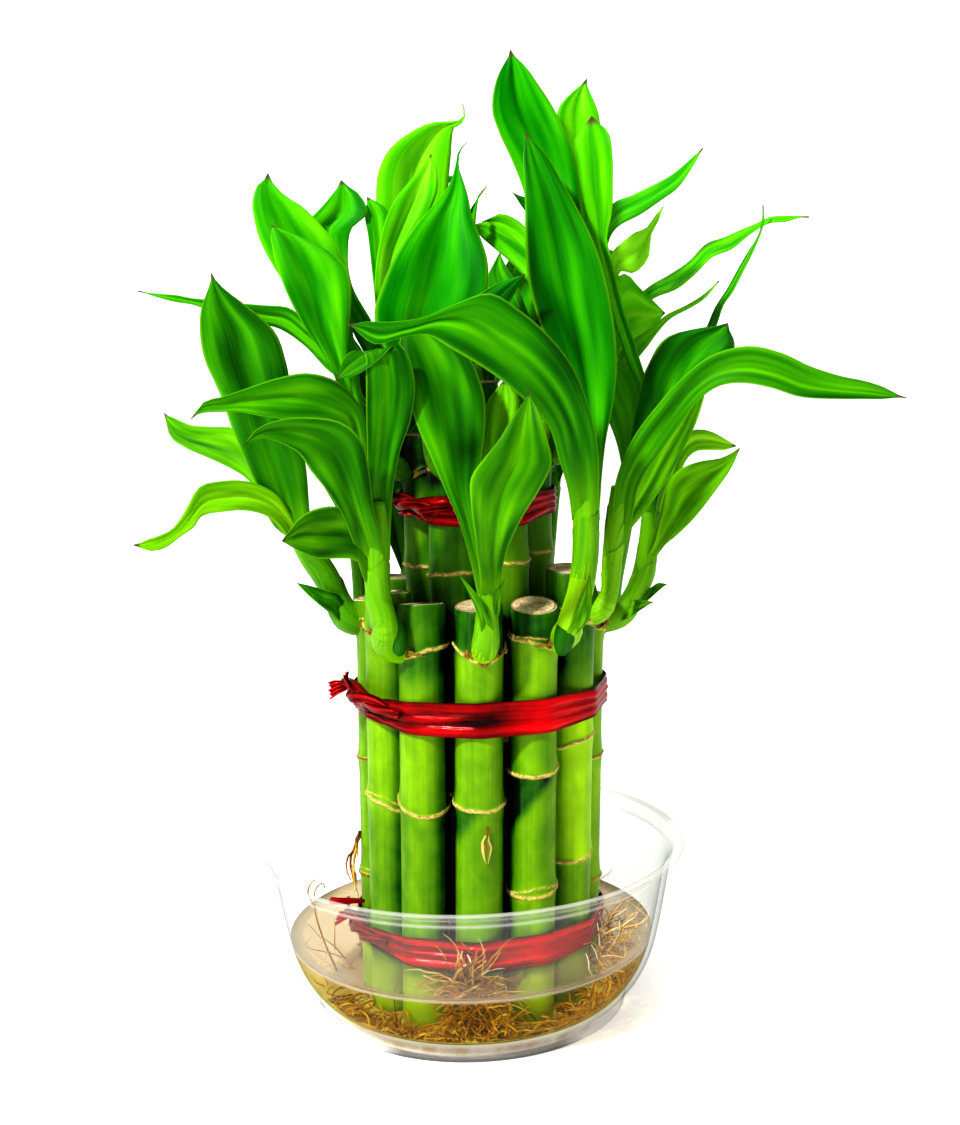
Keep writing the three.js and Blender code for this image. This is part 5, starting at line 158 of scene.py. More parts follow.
            (0.67, 1, [[-17.28, -0.41, 151.46, -15.73, -0.41, 151.88, -14.19, -0.41, 152.29], [-24.5, 1.23, 164.64, -22.17, 2, 165.51, -19.74, 1.23, 166.39], [-28.28, 2.85, 174, -26.32, 3.49, 174.55, -24.25, 2.85, 175.07], [-31.98, 3.36, 182.87, -28.57, 4.44, 182.83, -24.96, 3.36, 182.71], [-35.73, 2.9, 187.52, -30.05, 4.7, 187.72, -24.04, 2.9, 187.71], [-32.07, 3.01, 191.78, -26.15, 4.88, 192, -19.93, 3.01, 191.97], [-29.02, 4.14, 194.99, -25.58, 5.24, 195.56, -21.97, 4.14, 195.97], [-26.28, 5.74, 199.38, -26.19, 5.77, 199.39, -26.09, 5.74, 199.38]]),
            (0.68, 1, [[-17.28, -0.41, 151.49, -15.73, -0.41, 151.88, -14.18, -0.41, 152.27], [-17.69, 0, 155.2, -15.56, 0, 155.73, -13.43, 0, 156.27], [-18.72, 1.27, 169.14, -16.4, 2.01, 169.67, -13.99, 1.27, 170.19], [-19.62, 2.88, 180.27, -17.08, 3.69, 180.47, -14.45, 2.88, 180.61], [-20.15, 3.46, 186.51, -17.61, 4.28, 186.84, -14.98, 3.46, 187.08], [-20.72, 3.78, 190.89, -18.07, 4.65, 191.57, -15.3, 3.78, 192.14], [-20.46, 4.54, 193.22, -19.07, 5, 193.68, -17.62, 4.54, 194.07], [-20.32, 5.63, 195.36, -20.23, 5.66, 195.36, -20.13, 5.63, 195.35]]),
            (1.03, 1, [[-17.33, -0.41, 151.75, -15.73, -0.41, 151.88, -14.14, -0.41, 152], [-16.06, 2.77, 166.76, -11.75, 4.33, 167.24, -7.34, 3.66, 167.73], [-17.15, 5.08, 180.75, -10.4, 7.53, 181.27, -3.49, 6.48, 181.65], [-18.2, 6.03, 193.5, -9.96, 9.02, 194.1, -1.53, 7.74, 194.4], [-17.2, 5.37, 201.43, -9.13, 8.32, 201.28, -0.88, 7.06, 200.76], [-14.18, 4.38, 206.48, -7.3, 6.91, 206.02, -0.28, 5.83, 205.19], [-9.64, 3.79, 209.7, -4.84, 5.57, 209.11, 0.05, 4.81, 208.24], [-4.47, 3.47, 211.79, -1.96, 4.42, 211.17, 0.58, 4.01, 210.4], [0.16, 3.29, 211.89, 0.84, 3.61, 211.36, 1.52, 3.47, 210.76], [2.49, 2.97, 212.25, 2.71, 3.09, 212.04, 2.94, 3.04, 211.8], [2.78, 2.39, 214.41, 3.01, 2.47, 214.41, 3.24, 2.43, 214.4], [2.27, 1.97, 216.15, 2.36, 2, 216.15, 2.45, 1.99, 216.15]]),
            (0.96, 1, [[-17.3, -0.41, 151.58, -15.73, -0.41, 151.88, -14.16, -0.41, 152.17], [-17.89, -5.8, 166.83, -15.88, -4.64, 167.01, -13.78, -4.95, 167.19], [-18.23, -7.28, 174.74, -15.67, -5.77, 175.27, -12.99, -6.18, 175.77], [-17.23, -8.09, 182.53, -13.69, -6.01, 183.09, -10, -6.58, 183.55], [-15.19, -8.15, 189.59, -10.54, -5.46, 189.98, -5.72, -6.19, 190.16], [-12.83, -7.28, 194.02, -8.26, -4.61, 194.78, -3.55, -5.34, 195.29], [-9.39, -5.34, 198.08, -6.46, -3.58, 199.05, -3.46, -4.06, 199.83], [-6.4, -3.42, 201.51, -5.27, -2.75, 201.88, -4.11, -2.93, 202.17], [-4.85, -2.05, 204.27, -4.76, -2, 204.28, -4.67, -2.01, 204.27]]),
            (0.27, 0, [[-15.6, -1.34, 135.93, -15.94, -3.42, 136.04, -16.29, -5.51, 136.15], [-17.09, 1.35, 142.55, -18.9, -2.59, 142.56, -18.63, -6.76, 143.69], [-19.22, 4.52, 148.3, -22.08, -1.09, 148.86, -21.98, -6.98, 151.19], [-21.8, 7.26, 153.5, -25.41, 1.21, 154.84, -25.72, -5.08, 158.29], [-24.79, 9.81, 158.34, -28.73, 4.41, 160.39, -29.47, -1.16, 164.53], [-27.88, 12.79, 162.87, -31.8, 8.57, 165.42, -32.84, 4.2, 169.84], [-31.03, 16.36, 167.22, -34.4, 13.65, 169.83, -35.41, 10.8, 173.88], [-34.18, 20.74, 171.53, -36.28, 19.55, 173.53, -36.87, 18.24, 176.31], [-37.15, 26.14, 176.34, -37.23, 26.09, 176.42, -37.25, 26.04, 176.53]]),
            (0.53, 0, [[-15.45, -0.03, 142.7, -15.39, -2.14, 142.8, -15.32, -4.26, 142.9], [-17.61, 2.16, 148.93, -18.51, -1.95, 148.9, -17.48, -5.9, 149.88], [-20.27, 4.66, 154.56, -21.7, -1.29, 154.94, -20.32, -6.97, 156.79], [-23.15, 6.53, 159.94, -24.91, -0.13, 160.9, -23.48, -6.43, 163.48], [-26.23, 7.89, 165.28, -28.08, 1.55, 166.75, -26.79, -4.39, 169.73], [-29.36, 9.31, 170.65, -31.13, 3.76, 172.49, -30.01, -1.38, 175.58], [-32.52, 10.8, 176.19, -33.97, 6.52, 178.09, -33.06, 2.6, 180.88], [-35.64, 12.33, 182.1, -36.51, 9.81, 183.55, -35.88, 7.52, 185.44], [-38.63, 13.7, 188.79, -38.66, 13.6, 188.85, -38.63, 13.51, 188.93]]),
        ],
    },
    "shoot_outer_01": {
        "stem": [[5.38, -33.5, 94.69, 2.42], [5.53, -34, 101.5, 2.52], [5.86, -34, 106.38, 1.96], [6.62, -34, 111.46, 1.85]],
        "leaves": [
            (0.47, 1, [[4.32, -34, 105.97, 6.39, -34, 105.93, 8.47, -34, 105.88], [4.04, -41.41, 113.83, 6.61, -40.53, 114.17, 9.17, -41.41, 114.79], [3.38, -46.55, 122.09, 7.13, -45.27, 121.3, 10.87, -46.55, 120.86], [2.71, -50.42, 128.88, 8.16, -48.54, 127.49, 13.57, -50.42, 126.56], [2.85, -53.21, 134.74, 9.99, -50.76, 133.29, 17.05, -53.21, 132.37], [5.58, -54.16, 138.64, 12.51, -51.8, 137.95, 19.33, -54.16, 137.71], [8.7, -53.64, 142.37, 13.61, -51.98, 142.33, 18.41, -53.64, 142.55], [11.23, -52.52, 146.27, 14.21, -51.5, 146.65, 17.12, -52.52, 147.15], [13.56, -51.22, 149.38, 14.79, -50.8, 149.53, 16, -51.22, 149.73], [14.98, -50.03, 151.92, 15.07, -50, 151.91, 15.15, -50.03, 151.91]]),
            (0.4, 1, [[3.67, -34, 106.43, 5.42, -34, 106.39, 7.17, -34, 106.35], [2.13, -34.92, 115.01, 3.86, -34.48, 114.68, 5.59, -34.92, 114.49], [0.16, -35.19, 122.75, 2.3, -34.64, 122.08, 4.45, -35.19, 121.56], [-2.88, -35.13, 130.41, 0.44, -34.3, 130.03, 3.78, -35.13, 129.83], [-5.91, -34.82, 138, -0.35, -33.42, 137.75, 5.25, -34.82, 137.74], [-8.94, -33.96, 145.51, -1.35, -32.05, 145.75, 6.3, -33.96, 146.23], [-10.89, -32.63, 154.03, -2.69, -30.54, 153.22, 5.59, -32.63, 152.59], [-12.29, -30.62, 160.39, -5.45, -28.88, 160.41, 1.48, -30.62, 160.51], [-10.17, -27.02, 167.14, -10.09, -27, 167.14, -10, -27.02, 167.14]]),
            (0.8, 1, [[4.94, -34, 110.3, 6.43, -34, 110.26, 7.93, -34, 110.23], [5.17, -34, 114.8, 6.58, -34, 114.76, 8, -34, 114.73], [4.55, -30.43, 125.32, 6.98, -29.69, 125.73, 9.39, -30.43, 126.31], [4.32, -27.74, 133.84, 7.64, -26.7, 134.76, 10.95, -27.74, 135.89], [4.91, -25.98, 140.27, 8.58, -24.84, 141.2, 12.21, -25.98, 142.3], [5.94, -24.56, 146.75, 9.82, -23.39, 146.81, 13.66, -24.56, 147.01], [8.02, -23.24, 150.58, 10.47, -22.5, 150.71, 12.89, -23.24, 150.91], [10.44, -22.03, 153.11, 10.53, -22, 153.11, 10.61, -22.03, 153.11]]),
            (0.54, 1, [[4.61, -33.55, 95.16, 5.83, -33.55, 95.14, 7.06, -33.55, 95.11], [3.92, -36.6, 100.53, 5.28, -36.18, 100.82, 6.63, -36.6, 101.28], [2.88, -38.24, 105.36, 3.76, -37.94, 105.83, 4.64, -38.24, 106.41], [1.47, -39.16, 108.9, 2, -38.99, 109.13, 2.55, -39.16, 109.42], [-0.31, -40.02, 112.84, -0.26, -40, 112.83, -0.2, -40.02, 112.84]]),
            (0.5, 1, [[4.64, -33.77, 97.47, 5.44, -33.77, 97.99, 6.24, -33.77, 98.51], [7.08, -35.69, 103.12, 7.74, -35.47, 103.4, 8.39, -35.69, 103.75], [7.89, -37.12, 107.78, 8.36, -36.96, 108.07, 8.82, -37.12, 108.42], [9.54, -38.02, 111.41, 9.59, -38, 111.4, 9.64, -38.02, 111.4]]),
        ],
    },
    "shoot_outer_02": {
        "stem": [[22.41, -27.5, 92.99, 2.24], [24.06, -27.5, 99.33, 2.79], [26.38, -27.5, 106.08, 2.89], [27.61, -27, 113.18, 2.89], [27.94, -27, 122.13, 2.88], [28.03, -27, 129.24, 2.87]],
        "leaves": [
            (0.48, 1, [[24.85, -27, 122.2, 27.94, -27, 122.13, 31.04, -27, 122.06], [23.78, -31.68, 129.41, 27.23, -30.62, 129.22, 30.61, -30.55, 129.13], [21.9, -36.16, 135.98, 26.1, -34.22, 136.45, 30.2, -34.09, 137.1], [18.59, -41.69, 145.39, 23.04, -39.43, 147.24, 27.4, -39.28, 149.23], [13.74, -45.73, 150.3, 18.89, -42.78, 153.76, 23.94, -42.59, 157.36], [8.83, -48.87, 154.64, 14.11, -45.62, 158.89, 19.33, -45.41, 163.25], [4.01, -51.53, 158.07, 8.81, -48.18, 163.12, 13.6, -47.96, 168.24], [-0.73, -53.64, 161.03, 3.19, -50.43, 166.37, 7.15, -50.23, 171.76], [-5.05, -54.15, 163.71, -2.32, -52.18, 166.7, 0.47, -52.06, 169.71], [-10.6, -55.37, 163.26, -8.61, -54.03, 165.17, -6.56, -53.94, 167.1], [-15.73, -56.71, 162.22, -14.64, -55.55, 164.34, -13.48, -55.48, 166.47], [-19.19, -57.07, 164.65, -18.6, -56.48, 165.71, -17.97, -56.44, 166.78], [-21.19, -57.04, 166.26, -21.12, -57, 166.26, -21.04, -57, 166.26]]),
            (0.44, 1, [[26.2, -27, 124.4, 28.64, -27, 124.9, 31.07, -27, 125.39], [27.68, -26.01, 130.91, 29.7, -25.61, 131.38, 31.66, -26.01, 131.93], [26.98, -24.82, 139.67, 29.92, -23.96, 139.54, 32.72, -24.82, 139.54], [24.09, -23.78, 149.58, 29.49, -22.17, 148.83, 34.66, -23.78, 148.24], [20.77, -22.74, 159.47, 28.28, -20.47, 158.15, 35.5, -22.74, 156.95], [18.08, -21.55, 167.14, 26.61, -18.99, 166.62, 34.81, -21.55, 166.11], [16.28, -20.24, 174.79, 24.92, -17.64, 174.88, 33.24, -20.24, 174.84], [15.83, -18.71, 183.51, 23.55, -16.37, 183.12, 31.02, -18.71, 182.52], [16, -17.09, 190.07, 21.83, -15.32, 190.28, 27.48, -17.09, 190.25], [15.95, -15.62, 196.65, 19.98, -14.39, 196.88, 23.91, -15.62, 196.9], [15.87, -14.41, 202.14, 18.33, -13.66, 202.38, 20.74, -14.41, 202.46], [16.36, -13.03, 207.44, 16.45, -13, 207.44, 16.54, -13.03, 207.43]]),
            (0.6, 1, [[21.28, -27.5, 94.27, 22.83, -27.5, 94.67, 24.38, -27.5, 95.06], [24.3, -30.93, 100.01, 26.33, -30.41, 100.64, 28.3, -30.93, 101.49], [26.08, -31.73, 105.05, 27.43, -31.39, 105.4, 28.73, -31.73, 105.88], [28.31, -31.02, 110.45, 28.4, -31, 110.45, 28.48, -31.02, 110.45]]),
        ],
    },
    "shoot_outer_03": {
        "stem": [[32.95, -15.21, 95.25, 2.08], [33.39, -15, 101.82, 2.31], [34.64, -15, 111.13, 2.3], [35.78, -16, 120.51, 2.51], [36.89, -17, 127.94, 2.5]],
        "leaves": [
            (0.75, 1, [[34.86, -16.58, 124.53, 36.42, -16.58, 124.89, 37.98, -16.58, 125.24], [37.36, -12.41, 132.72, 39.62, -12.83, 133.51, 41.74, -14.5, 134.42], [40.08, -8.81, 141.57, 42.34, -9.28, 142.13, 44.44, -11.16, 142.78], [41.63, -7.62, 147.68, 42.99, -7.9, 147.89, 44.25, -9.02, 148.15], [38.54, -7.07, 158.27, 40, -7.38, 158.47, 41.38, -8.59, 158.69], [35.4, -7.22, 168.34, 36.86, -7.52, 168.53, 38.24, -8.74, 168.72], [33.63, -7.52, 176.93, 34.98, -7.81, 177.34, 36.24, -8.99, 177.72], [32.08, -7.87, 183.21, 33.42, -8.16, 183.5, 34.69, -9.31, 183.75], [30.33, -7.88, 189.25, 33.12, -8.47, 189.48, 35.74, -10.83, 189.6], [28.85, -7.66, 195.93, 32.52, -8.43, 196.11, 35.97, -11.54, 196.11], [28.28, -7.03, 201.5, 32.28, -7.88, 201.55, 36.04, -11.26, 201.35], [27.72, -6.14, 205.99, 31.73, -7, 206.36, 35.49, -10.41, 206.44], [29.15, -5.63, 209.09, 31.82, -6.2, 209.4, 34.34, -8.49, 209.51], [31.8, -5.6, 211.22, 31.89, -5.61, 211.22, 31.97, -5.69, 211.21]]),
            (0.36, 1, [[34.51, -16.26, 122.23, 36.07, -16.26, 122.59, 37.63, -16.26, 122.94], [37.08, -15.1, 129.56, 39.92, -14.11, 130.07, 42.56, -15.1, 130.8], [38.64, -13.65, 136.24, 42.44, -12.35, 136.5, 45.95, -13.65, 136.99], [40.72, -11.83, 145.65, 47.16, -9.6, 146.51, 53.06, -11.83, 147.64], [43.84, -8.9, 155.23, 51.88, -6.16, 154.62, 59.21, -8.9, 154.2], [49.78, -5.62, 162.1, 57.32, -2.99, 160.05, 64.1, -5.62, 158.11], [57.86, -2.45, 163.49, 61.31, -1.21, 162.13, 64.38, -2.45, 160.81], [63.5, -0.03, 164.27, 63.6, 0, 164.26, 63.69, -0.03, 164.26]]),
            (0.5, 1, [[33.72, -15, 111.16, 35.33, -15, 111.12, 36.93, -15, 111.08], [34.25, -17.82, 120.78, 36.67, -17.53, 120.69, 38.97, -18.39, 120.75], [35.25, -20.33, 130.14, 37.98, -19.92, 129.81, 40.55, -21.14, 129.66], [38.68, -22.62, 139.23, 42.07, -22.09, 138, 45.22, -23.67, 136.95], [43.63, -24.35, 146.31, 46.89, -23.83, 144.88, 49.88, -25.39, 143.6], [49.42, -25.71, 152.8, 51.67, -25.26, 150.66, 53.67, -26.62, 148.61], [55.8, -26.95, 157.68, 56.98, -26.42, 154.4, 57.83, -27.99, 151.19], [63.43, -28.11, 159.47, 63.23, -27.5, 155.48, 62.6, -29.32, 151.57], [70.62, -29.12, 157.83, 69.68, -28.52, 154.07, 68.28, -30.31, 150.4], [76.52, -29.96, 154.93, 75.59, -29.43, 151.6, 74.21, -31.02, 148.37], [82.86, -30.72, 152.67, 82.44, -30.34, 150.19, 81.67, -31.49, 147.79], [88.77, -31.35, 151.27, 88.54, -31.07, 149.44, 88.04, -31.91, 147.67], [93.01, -31.72, 149.69, 92.86, -31.55, 148.61, 92.53, -32.05, 147.57], [96.98, -32.01, 147.68, 97.07, -32, 147.68, 97.14, -32.04, 147.68]]),
            (0.7, 1, [[33.61, -15.43, 115.91, 35.2, -15.43, 115.87, 36.8, -15.43, 115.83], [37.22, -18, 124.17, 40.24, -17.27, 124.01, 43.11, -18, 124.03], [40.71, -19.81, 132.22, 44.17, -18.95, 131.49, 47.45, -19.81, 130.94], [43.94, -21.27, 137.89, 47.28, -20.45, 137.41, 50.42, -21.27, 137.07], [47.57, -22.74, 143.47, 50.44, -22.05, 143.36, 53.12, -22.74, 143.35], [51, -23.71, 147.86, 52.83, -23.26, 148.02, 54.53, -23.71, 148.22], [54.84, -24.02, 150.43, 54.93, -24, 150.42, 55.01, -24.02, 150.42]]),
        ],
    },
    "shoot_outer_04": {
        "stem": [[36.83, 1, 93.4, 2.18], [40.25, 1, 98.23, 2.65], [43.33, 0, 104.94, 2.64], [44.57, 0, 112.18, 2.39], [45.33, 0, 120.12, 2.15]],
        "leaves": [
            (1.1, 1, [[43.11, 0, 113.37, 44.71, 0, 113.34, 46.31, 0, 113.3], [46.53, 2.12, 120.31, 48.39, 2.66, 119.96, 50.12, 2.12, 119.75], [49, 4.44, 127.24, 50.74, 4.97, 126.66, 52.36, 4.44, 126.19], [51.4, 6.14, 133.3, 52.91, 6.66, 132.25, 54.28, 6.14, 131.3], [55.16, 7.15, 138.44, 56.35, 7.91, 136.06, 57.32, 7.15, 133.8], [59.63, 8.01, 138.75, 60.47, 8.77, 136.26, 61.08, 8.01, 133.88], [63.65, 8.98, 136.89, 64.09, 9.47, 135.27, 64.38, 8.98, 133.72], [67.12, 9.97, 134.55, 67.22, 10, 134.54, 67.31, 9.97, 134.54]]),
            (0.67, 1, [[42.25, -0.07, 106.4, 43.8, -0.07, 106.81, 45.35, -0.07, 107.22], [45.07, -4.04, 112.77, 46.67, -3.58, 112.66, 48.15, -4.04, 112.7], [46.59, -7.54, 120.33, 48.8, -6.63, 117.92, 50.79, -7.54, 115.75], [49.32, -12.11, 130.34, 52.17, -10.48, 125.36, 54.6, -12.11, 120.73], [54.99, -14.24, 133.18, 56.98, -13.14, 129.81, 58.65, -14.24, 126.67], [59.85, -15.23, 134.07, 60.85, -14.74, 132.63, 61.68, -15.23, 131.29], [63.72, -16.03, 136.32, 63.81, -16, 136.32, 63.9, -16.03, 136.32]]),
            (0.5, 1, [[40.71, 0.8, 97.28, 41.69, 0.8, 99.22, 42.66, 0.8, 101.15], [43.35, -1.62, 98.4, 44.12, -1.23, 100.14, 44.81, -1.62, 102.02], [45.86, -2.81, 100.75, 46.26, -2.54, 102.02, 46.59, -2.81, 103.39], [48.62, -3.02, 103.14, 48.71, -3, 103.14, 48.81, -3.02, 103.14]]),
            (0.9, 1, [[37.31, 1, 92.89, 38.54, 1, 95.82, 39.77, 1, 98.74], [39.6, -5.44, 95.82, 40.37, -5.02, 97.77, 41.05, -5.44, 99.89], [41.9, -8.5, 98.03, 42.29, -8.26, 99.18, 42.62, -8.5, 100.41], [44.59, -9.02, 99.98, 44.68, -9, 99.98, 44.77, -9.02, 99.98]]),
            (0.33, 0, [[45.7, -1.91, 115.63, 44.94, 0, 115.58, 44.17, 1.91, 115.53], [46.44, -3.89, 123.46, 46.22, 0.7, 122.66, 43.2, 4.25, 122.73], [48.38, -4.52, 131.48, 47.9, 1.98, 129.56, 43.44, 7.11, 129.3], [50.81, -2.89, 139.34, 49.93, 4.08, 136.17, 44.66, 9.64, 135.25], [53.41, 1.01, 146.43, 52.1, 7.16, 142.33, 46.65, 12.05, 140.72], [55.79, 6.56, 152.44, 54.17, 11.29, 147.88, 48.89, 14.96, 145.75], [57.46, 13.51, 156.91, 55.82, 16.46, 152.65, 51.33, 18.57, 150.45], [57.98, 21.32, 159.39, 56.79, 22.51, 156.47, 53.89, 23.16, 154.9], [56.87, 29.16, 159.29, 56.83, 29.2, 159.19, 56.73, 29.23, 159.13]]),
        ],
    },
    "shoot_outer_05": {
        "stem": [[35.75, 14, 93.4, 2.25], [37.15, 15, 100.05, 2.5], [38.99, 15, 110.11, 2.49], [40.9, 16, 119.97, 2.49], [44.56, 17, 131.01, 2.23], [47.7, 18, 139.54, 1.74]],
        "leaves": [
            (0.55, 1, [[42.63, 16.86, 128.94, 44.08, 16.86, 129.63, 45.52, 16.86, 130.32], [49.27, 23, 139.16, 50.99, 20.6, 140.16, 52.53, 16.89, 141.24], [55.23, 26.18, 148.88, 56.71, 24, 149.81, 58, 20.65, 150.79], [59.64, 28.79, 157.47, 61.11, 26.71, 158.1, 62.4, 23.5, 158.76], [62.83, 29.86, 162.64, 63.98, 28.22, 163.13, 64.98, 25.68, 163.62], [65.25, 30.78, 167.84, 66.18, 29.45, 168.18, 66.99, 27.39, 168.53], [68.35, 31.24, 172.51, 68.96, 30.3, 172.11, 69.48, 28.83, 171.71], [70.96, 31.78, 176.95, 71.45, 30.95, 176.54, 71.87, 29.68, 176.13], [73.79, 32.16, 181.62, 74.18, 31.53, 181.34, 74.52, 30.55, 181.04], [76.08, 32.35, 185.04, 76.28, 32.06, 185.03, 76.45, 31.62, 185], [77.46, 33.13, 189.01, 77.66, 32.85, 188.99, 77.83, 32.41, 188.96], [77.74, 33.98, 193.26, 77.82, 33.87, 193.25, 77.89, 33.69, 193.24]]),
            (0.86, 0, [[44.83, 15.99, 126.06, 42.75, 16.53, 125.89, 40.68, 17.06, 125.72], [46.04, 18.41, 136.38, 42.92, 20.05, 135.12, 39.2, 19.9, 134.72], [46.06, 22.76, 146.69, 41.8, 24.61, 143.8, 36.61, 23.91, 142.25], [42.83, 28.37, 156.05, 38.76, 29.82, 151.62, 33.59, 28.33, 148.55], [36.11, 33.49, 163.41, 33.39, 34.87, 158.2, 29.65, 33.17, 153.79], [26.62, 35.48, 167.49, 25.78, 38.7, 163.19, 24.14, 39.15, 158.02], [16.88, 36.21, 164.96, 16.54, 40.37, 166.26, 15.98, 44.55, 165.14], [7.73, 37.73, 165.16, 6.76, 39.29, 167.14, 5.65, 41.65, 167.86], [-2.21, 35.44, 165.6, -2.25, 35.51, 165.69, -2.3, 35.61, 165.73]]),
        ],
    },
    "shoot_outer_06": {
        "stem": [[20.6, 28.75, 92.5, 2.5], [21.14, 29.68, 101, 2.3], [22.02, 31.21, 109.5, 2.1], [23.1, 33.08, 118, 1.9], [24.34, 35.23, 126.5, 1.7]],
        "leaves": [
            (0.9, 0, [[23.22, 31.18, 104.41, 21.46, 30.25, 104.49, 19.7, 29.31, 104.56], [24.66, 34.9, 113.43, 19.72, 34.21, 112.85, 16.33, 30.84, 114.41], [25.35, 40.18, 121.18, 18.08, 39.41, 120.52, 12.91, 35.26, 123.64], [25.08, 46.28, 127.74, 16.79, 45.99, 127.12, 10.57, 42.59, 131.49], [24.17, 53.31, 133.07, 16.13, 53.83, 132.29, 9.71, 52.22, 136.95], [23.45, 61.45, 137.01, 16.37, 62.62, 135.66, 10.25, 62.92, 139.63], [23.02, 70.72, 138.99, 17.65, 71.86, 136.93, 12.5, 73.42, 139.24], [22.98, 80.59, 137.91, 19.95, 80.93, 135.93, 16.66, 82.36, 136.42], [23.15, 89.16, 132.67, 23.05, 89.17, 132.6, 22.94, 89.22, 132.62]]),
            (0.3, 0, [[23.46, 32.45, 109.49, 22.03, 31.23, 109.59, 20.59, 30, 109.7], [23.11, 36.63, 119.18, 19.61, 34.91, 119.29, 17.34, 31.89, 120.26], [22.88, 41.72, 128.09, 17.72, 39.39, 128.77, 14.4, 35.2, 130.75], [22.4, 47.01, 136.51, 16.55, 44.66, 137.96, 12.84, 40.24, 140.87], [21.93, 52.57, 144.64, 16.34, 50.64, 146.78, 12.88, 46.69, 150.24], [22.11, 58.57, 152.5, 17.29, 57.16, 155.15, 14.45, 53.9, 158.82], [23.12, 64.92, 160.27, 19.6, 63.99, 162.99, 17.72, 61.52, 166.31], [25.23, 71.4, 168.17, 23.4, 70.82, 170.23, 22.6, 69.25, 172.44], [28.81, 77.33, 176.71, 28.73, 77.3, 176.79, 28.7, 77.23, 176.89]]),
            (0.56, 0, [[24.99, 33.26, 123.21, 23.84, 34.36, 123.13, 22.69, 35.47, 123.04], [28.02, 33.48, 130.95, 25.94, 37.07, 129.65, 22.02, 38.91, 129.82], [30.95, 35.55, 138.48, 27.8, 40.42, 135.93, 21.97, 42.89, 135.69], [32.96, 39.52, 145.55, 29.27, 44.49, 141.89, 22.54, 46.85, 140.98], [33.84, 45.09, 151.73, 30.19, 49.25, 147.44, 23.58, 50.93, 145.88], [33.6, 51.58, 156.97, 30.37, 54.61, 152.48, 24.45, 55.43, 150.44], [32.05, 58.61, 160.99, 29.65, 60.43, 156.93, 25.06, 60.44, 154.78], [29.15, 65.74, 163.46, 27.89, 66.51, 160.69, 25.26, 66.1, 159.03], [25.09, 72.57, 163.81, 25.04, 72.6, 163.7, 24.94, 72.58, 163.64]]),
        ],
    },
    "shoot_outer_07": {
        "stem": [[3.22, 33.27, 96.5, 2.6], [3.09, 34.71, 105.5, 2.38], [2.88, 37.07, 114.5, 2.15], [2.63, 39.98, 123.5, 1.93], [2.34, 43.31, 132.5, 1.7]],
        "leaves": [
            (0.27, 0, [[4.55, 36.59, 107.29, 3.05, 35.14, 107.44, 1.55, 33.69, 107.58], [3.83, 40.71, 117.17, 0.16, 39.12, 117.15, -1.58, 35.77, 118.47], [3.41, 46.09, 126.07, -1.99, 43.96, 126.66, -4.5, 39.33, 129.17], [2.91, 51.71, 134.42, -3.2, 49.61, 135.9, -5.9, 44.67, 139.38], [2.56, 57.61, 142.48, -3.21, 55.89, 144.79, -5.54, 51.35, 148.74], [3.03, 63.91, 150.36, -1.8, 62.56, 153.28, -3.42, 58.59, 157.21], [4.54, 70.4, 158.28, 1.17, 69.29, 161.31, 0.45, 66.01, 164.55], [7.4, 76.62, 166.59, 5.79, 75.69, 168.8, 5.8, 73.46, 170.63], [12.09, 81.4, 175.61, 12.02, 81.36, 175.7, 12.03, 81.26, 175.78]]),
            (0.53, 0, [[4.39, 38.31, 114.53, 2.88, 37.12, 114.65, 1.36, 35.93, 114.78], [5.99, 41.16, 124.24, 1.65, 39.73, 124.5, -0.56, 35.88, 125.62], [7.46, 44.96, 133.18, 1.22, 42.82, 134.27, -1.75, 37.2, 136.38], [8.61, 48.7, 141.9, 1.77, 46.16, 143.96, -1.19, 39.73, 146.69], [9.72, 52.21, 150.83, 3.43, 49.45, 153.53, 1.05, 43, 156.21], [11.49, 55.27, 160.14, 6.22, 52.35, 162.97, 4.54, 46.25, 165.04], [13.97, 57.25, 169.98, 10.04, 54.45, 172.26, 8.99, 49.32, 173.32], [17, 57.4, 180.16, 14.67, 55.38, 181.37, 14.1, 52.13, 181.5], [19.81, 54.94, 190.24, 19.73, 54.87, 190.28, 19.71, 54.75, 190.28]]),
            (0.44, 0, [[4.23, 38.93, 116.3, 2.83, 37.66, 116.45, 1.44, 36.39, 116.6], [5.26, 42.42, 124.96, 1.29, 40.45, 125.6, -1.18, 37.04, 127.14], [6.2, 47.02, 131.85, 0.43, 44.93, 134.15, -3.1, 40.82, 137.82], [7.11, 52.05, 137.27, 1.23, 50.98, 141.67, -2.05, 47.52, 147.37], [8.17, 58.32, 141.5, 4.51, 57.8, 147.71, 3.42, 54.69, 154.14], [9.11, 68.71, 147.43, 10.6, 64.12, 151.82, 13.3, 58.39, 153.36], [18.27, 73.61, 154.77, 19.03, 68.57, 153.6, 19.39, 64.71, 150.09], [29.47, 73.01, 154.1, 28.55, 70.18, 152.81, 27.34, 68.46, 150.34], [37.54, 68.92, 149.44, 37.51, 68.82, 149.39, 37.46, 68.76, 149.29]]),
        ],
    },
    "shoot_outer_08": {
        "stem": [[-13.25, 28.33, 93.5, 2.5], [-13.93, 29.31, 101.75, 2.3], [-15.05, 30.9, 110, 2.1], [-16.42, 32.85, 118.25, 1.9], [-17.99, 35.09, 126.5, 1.7]],
        "leaves": [
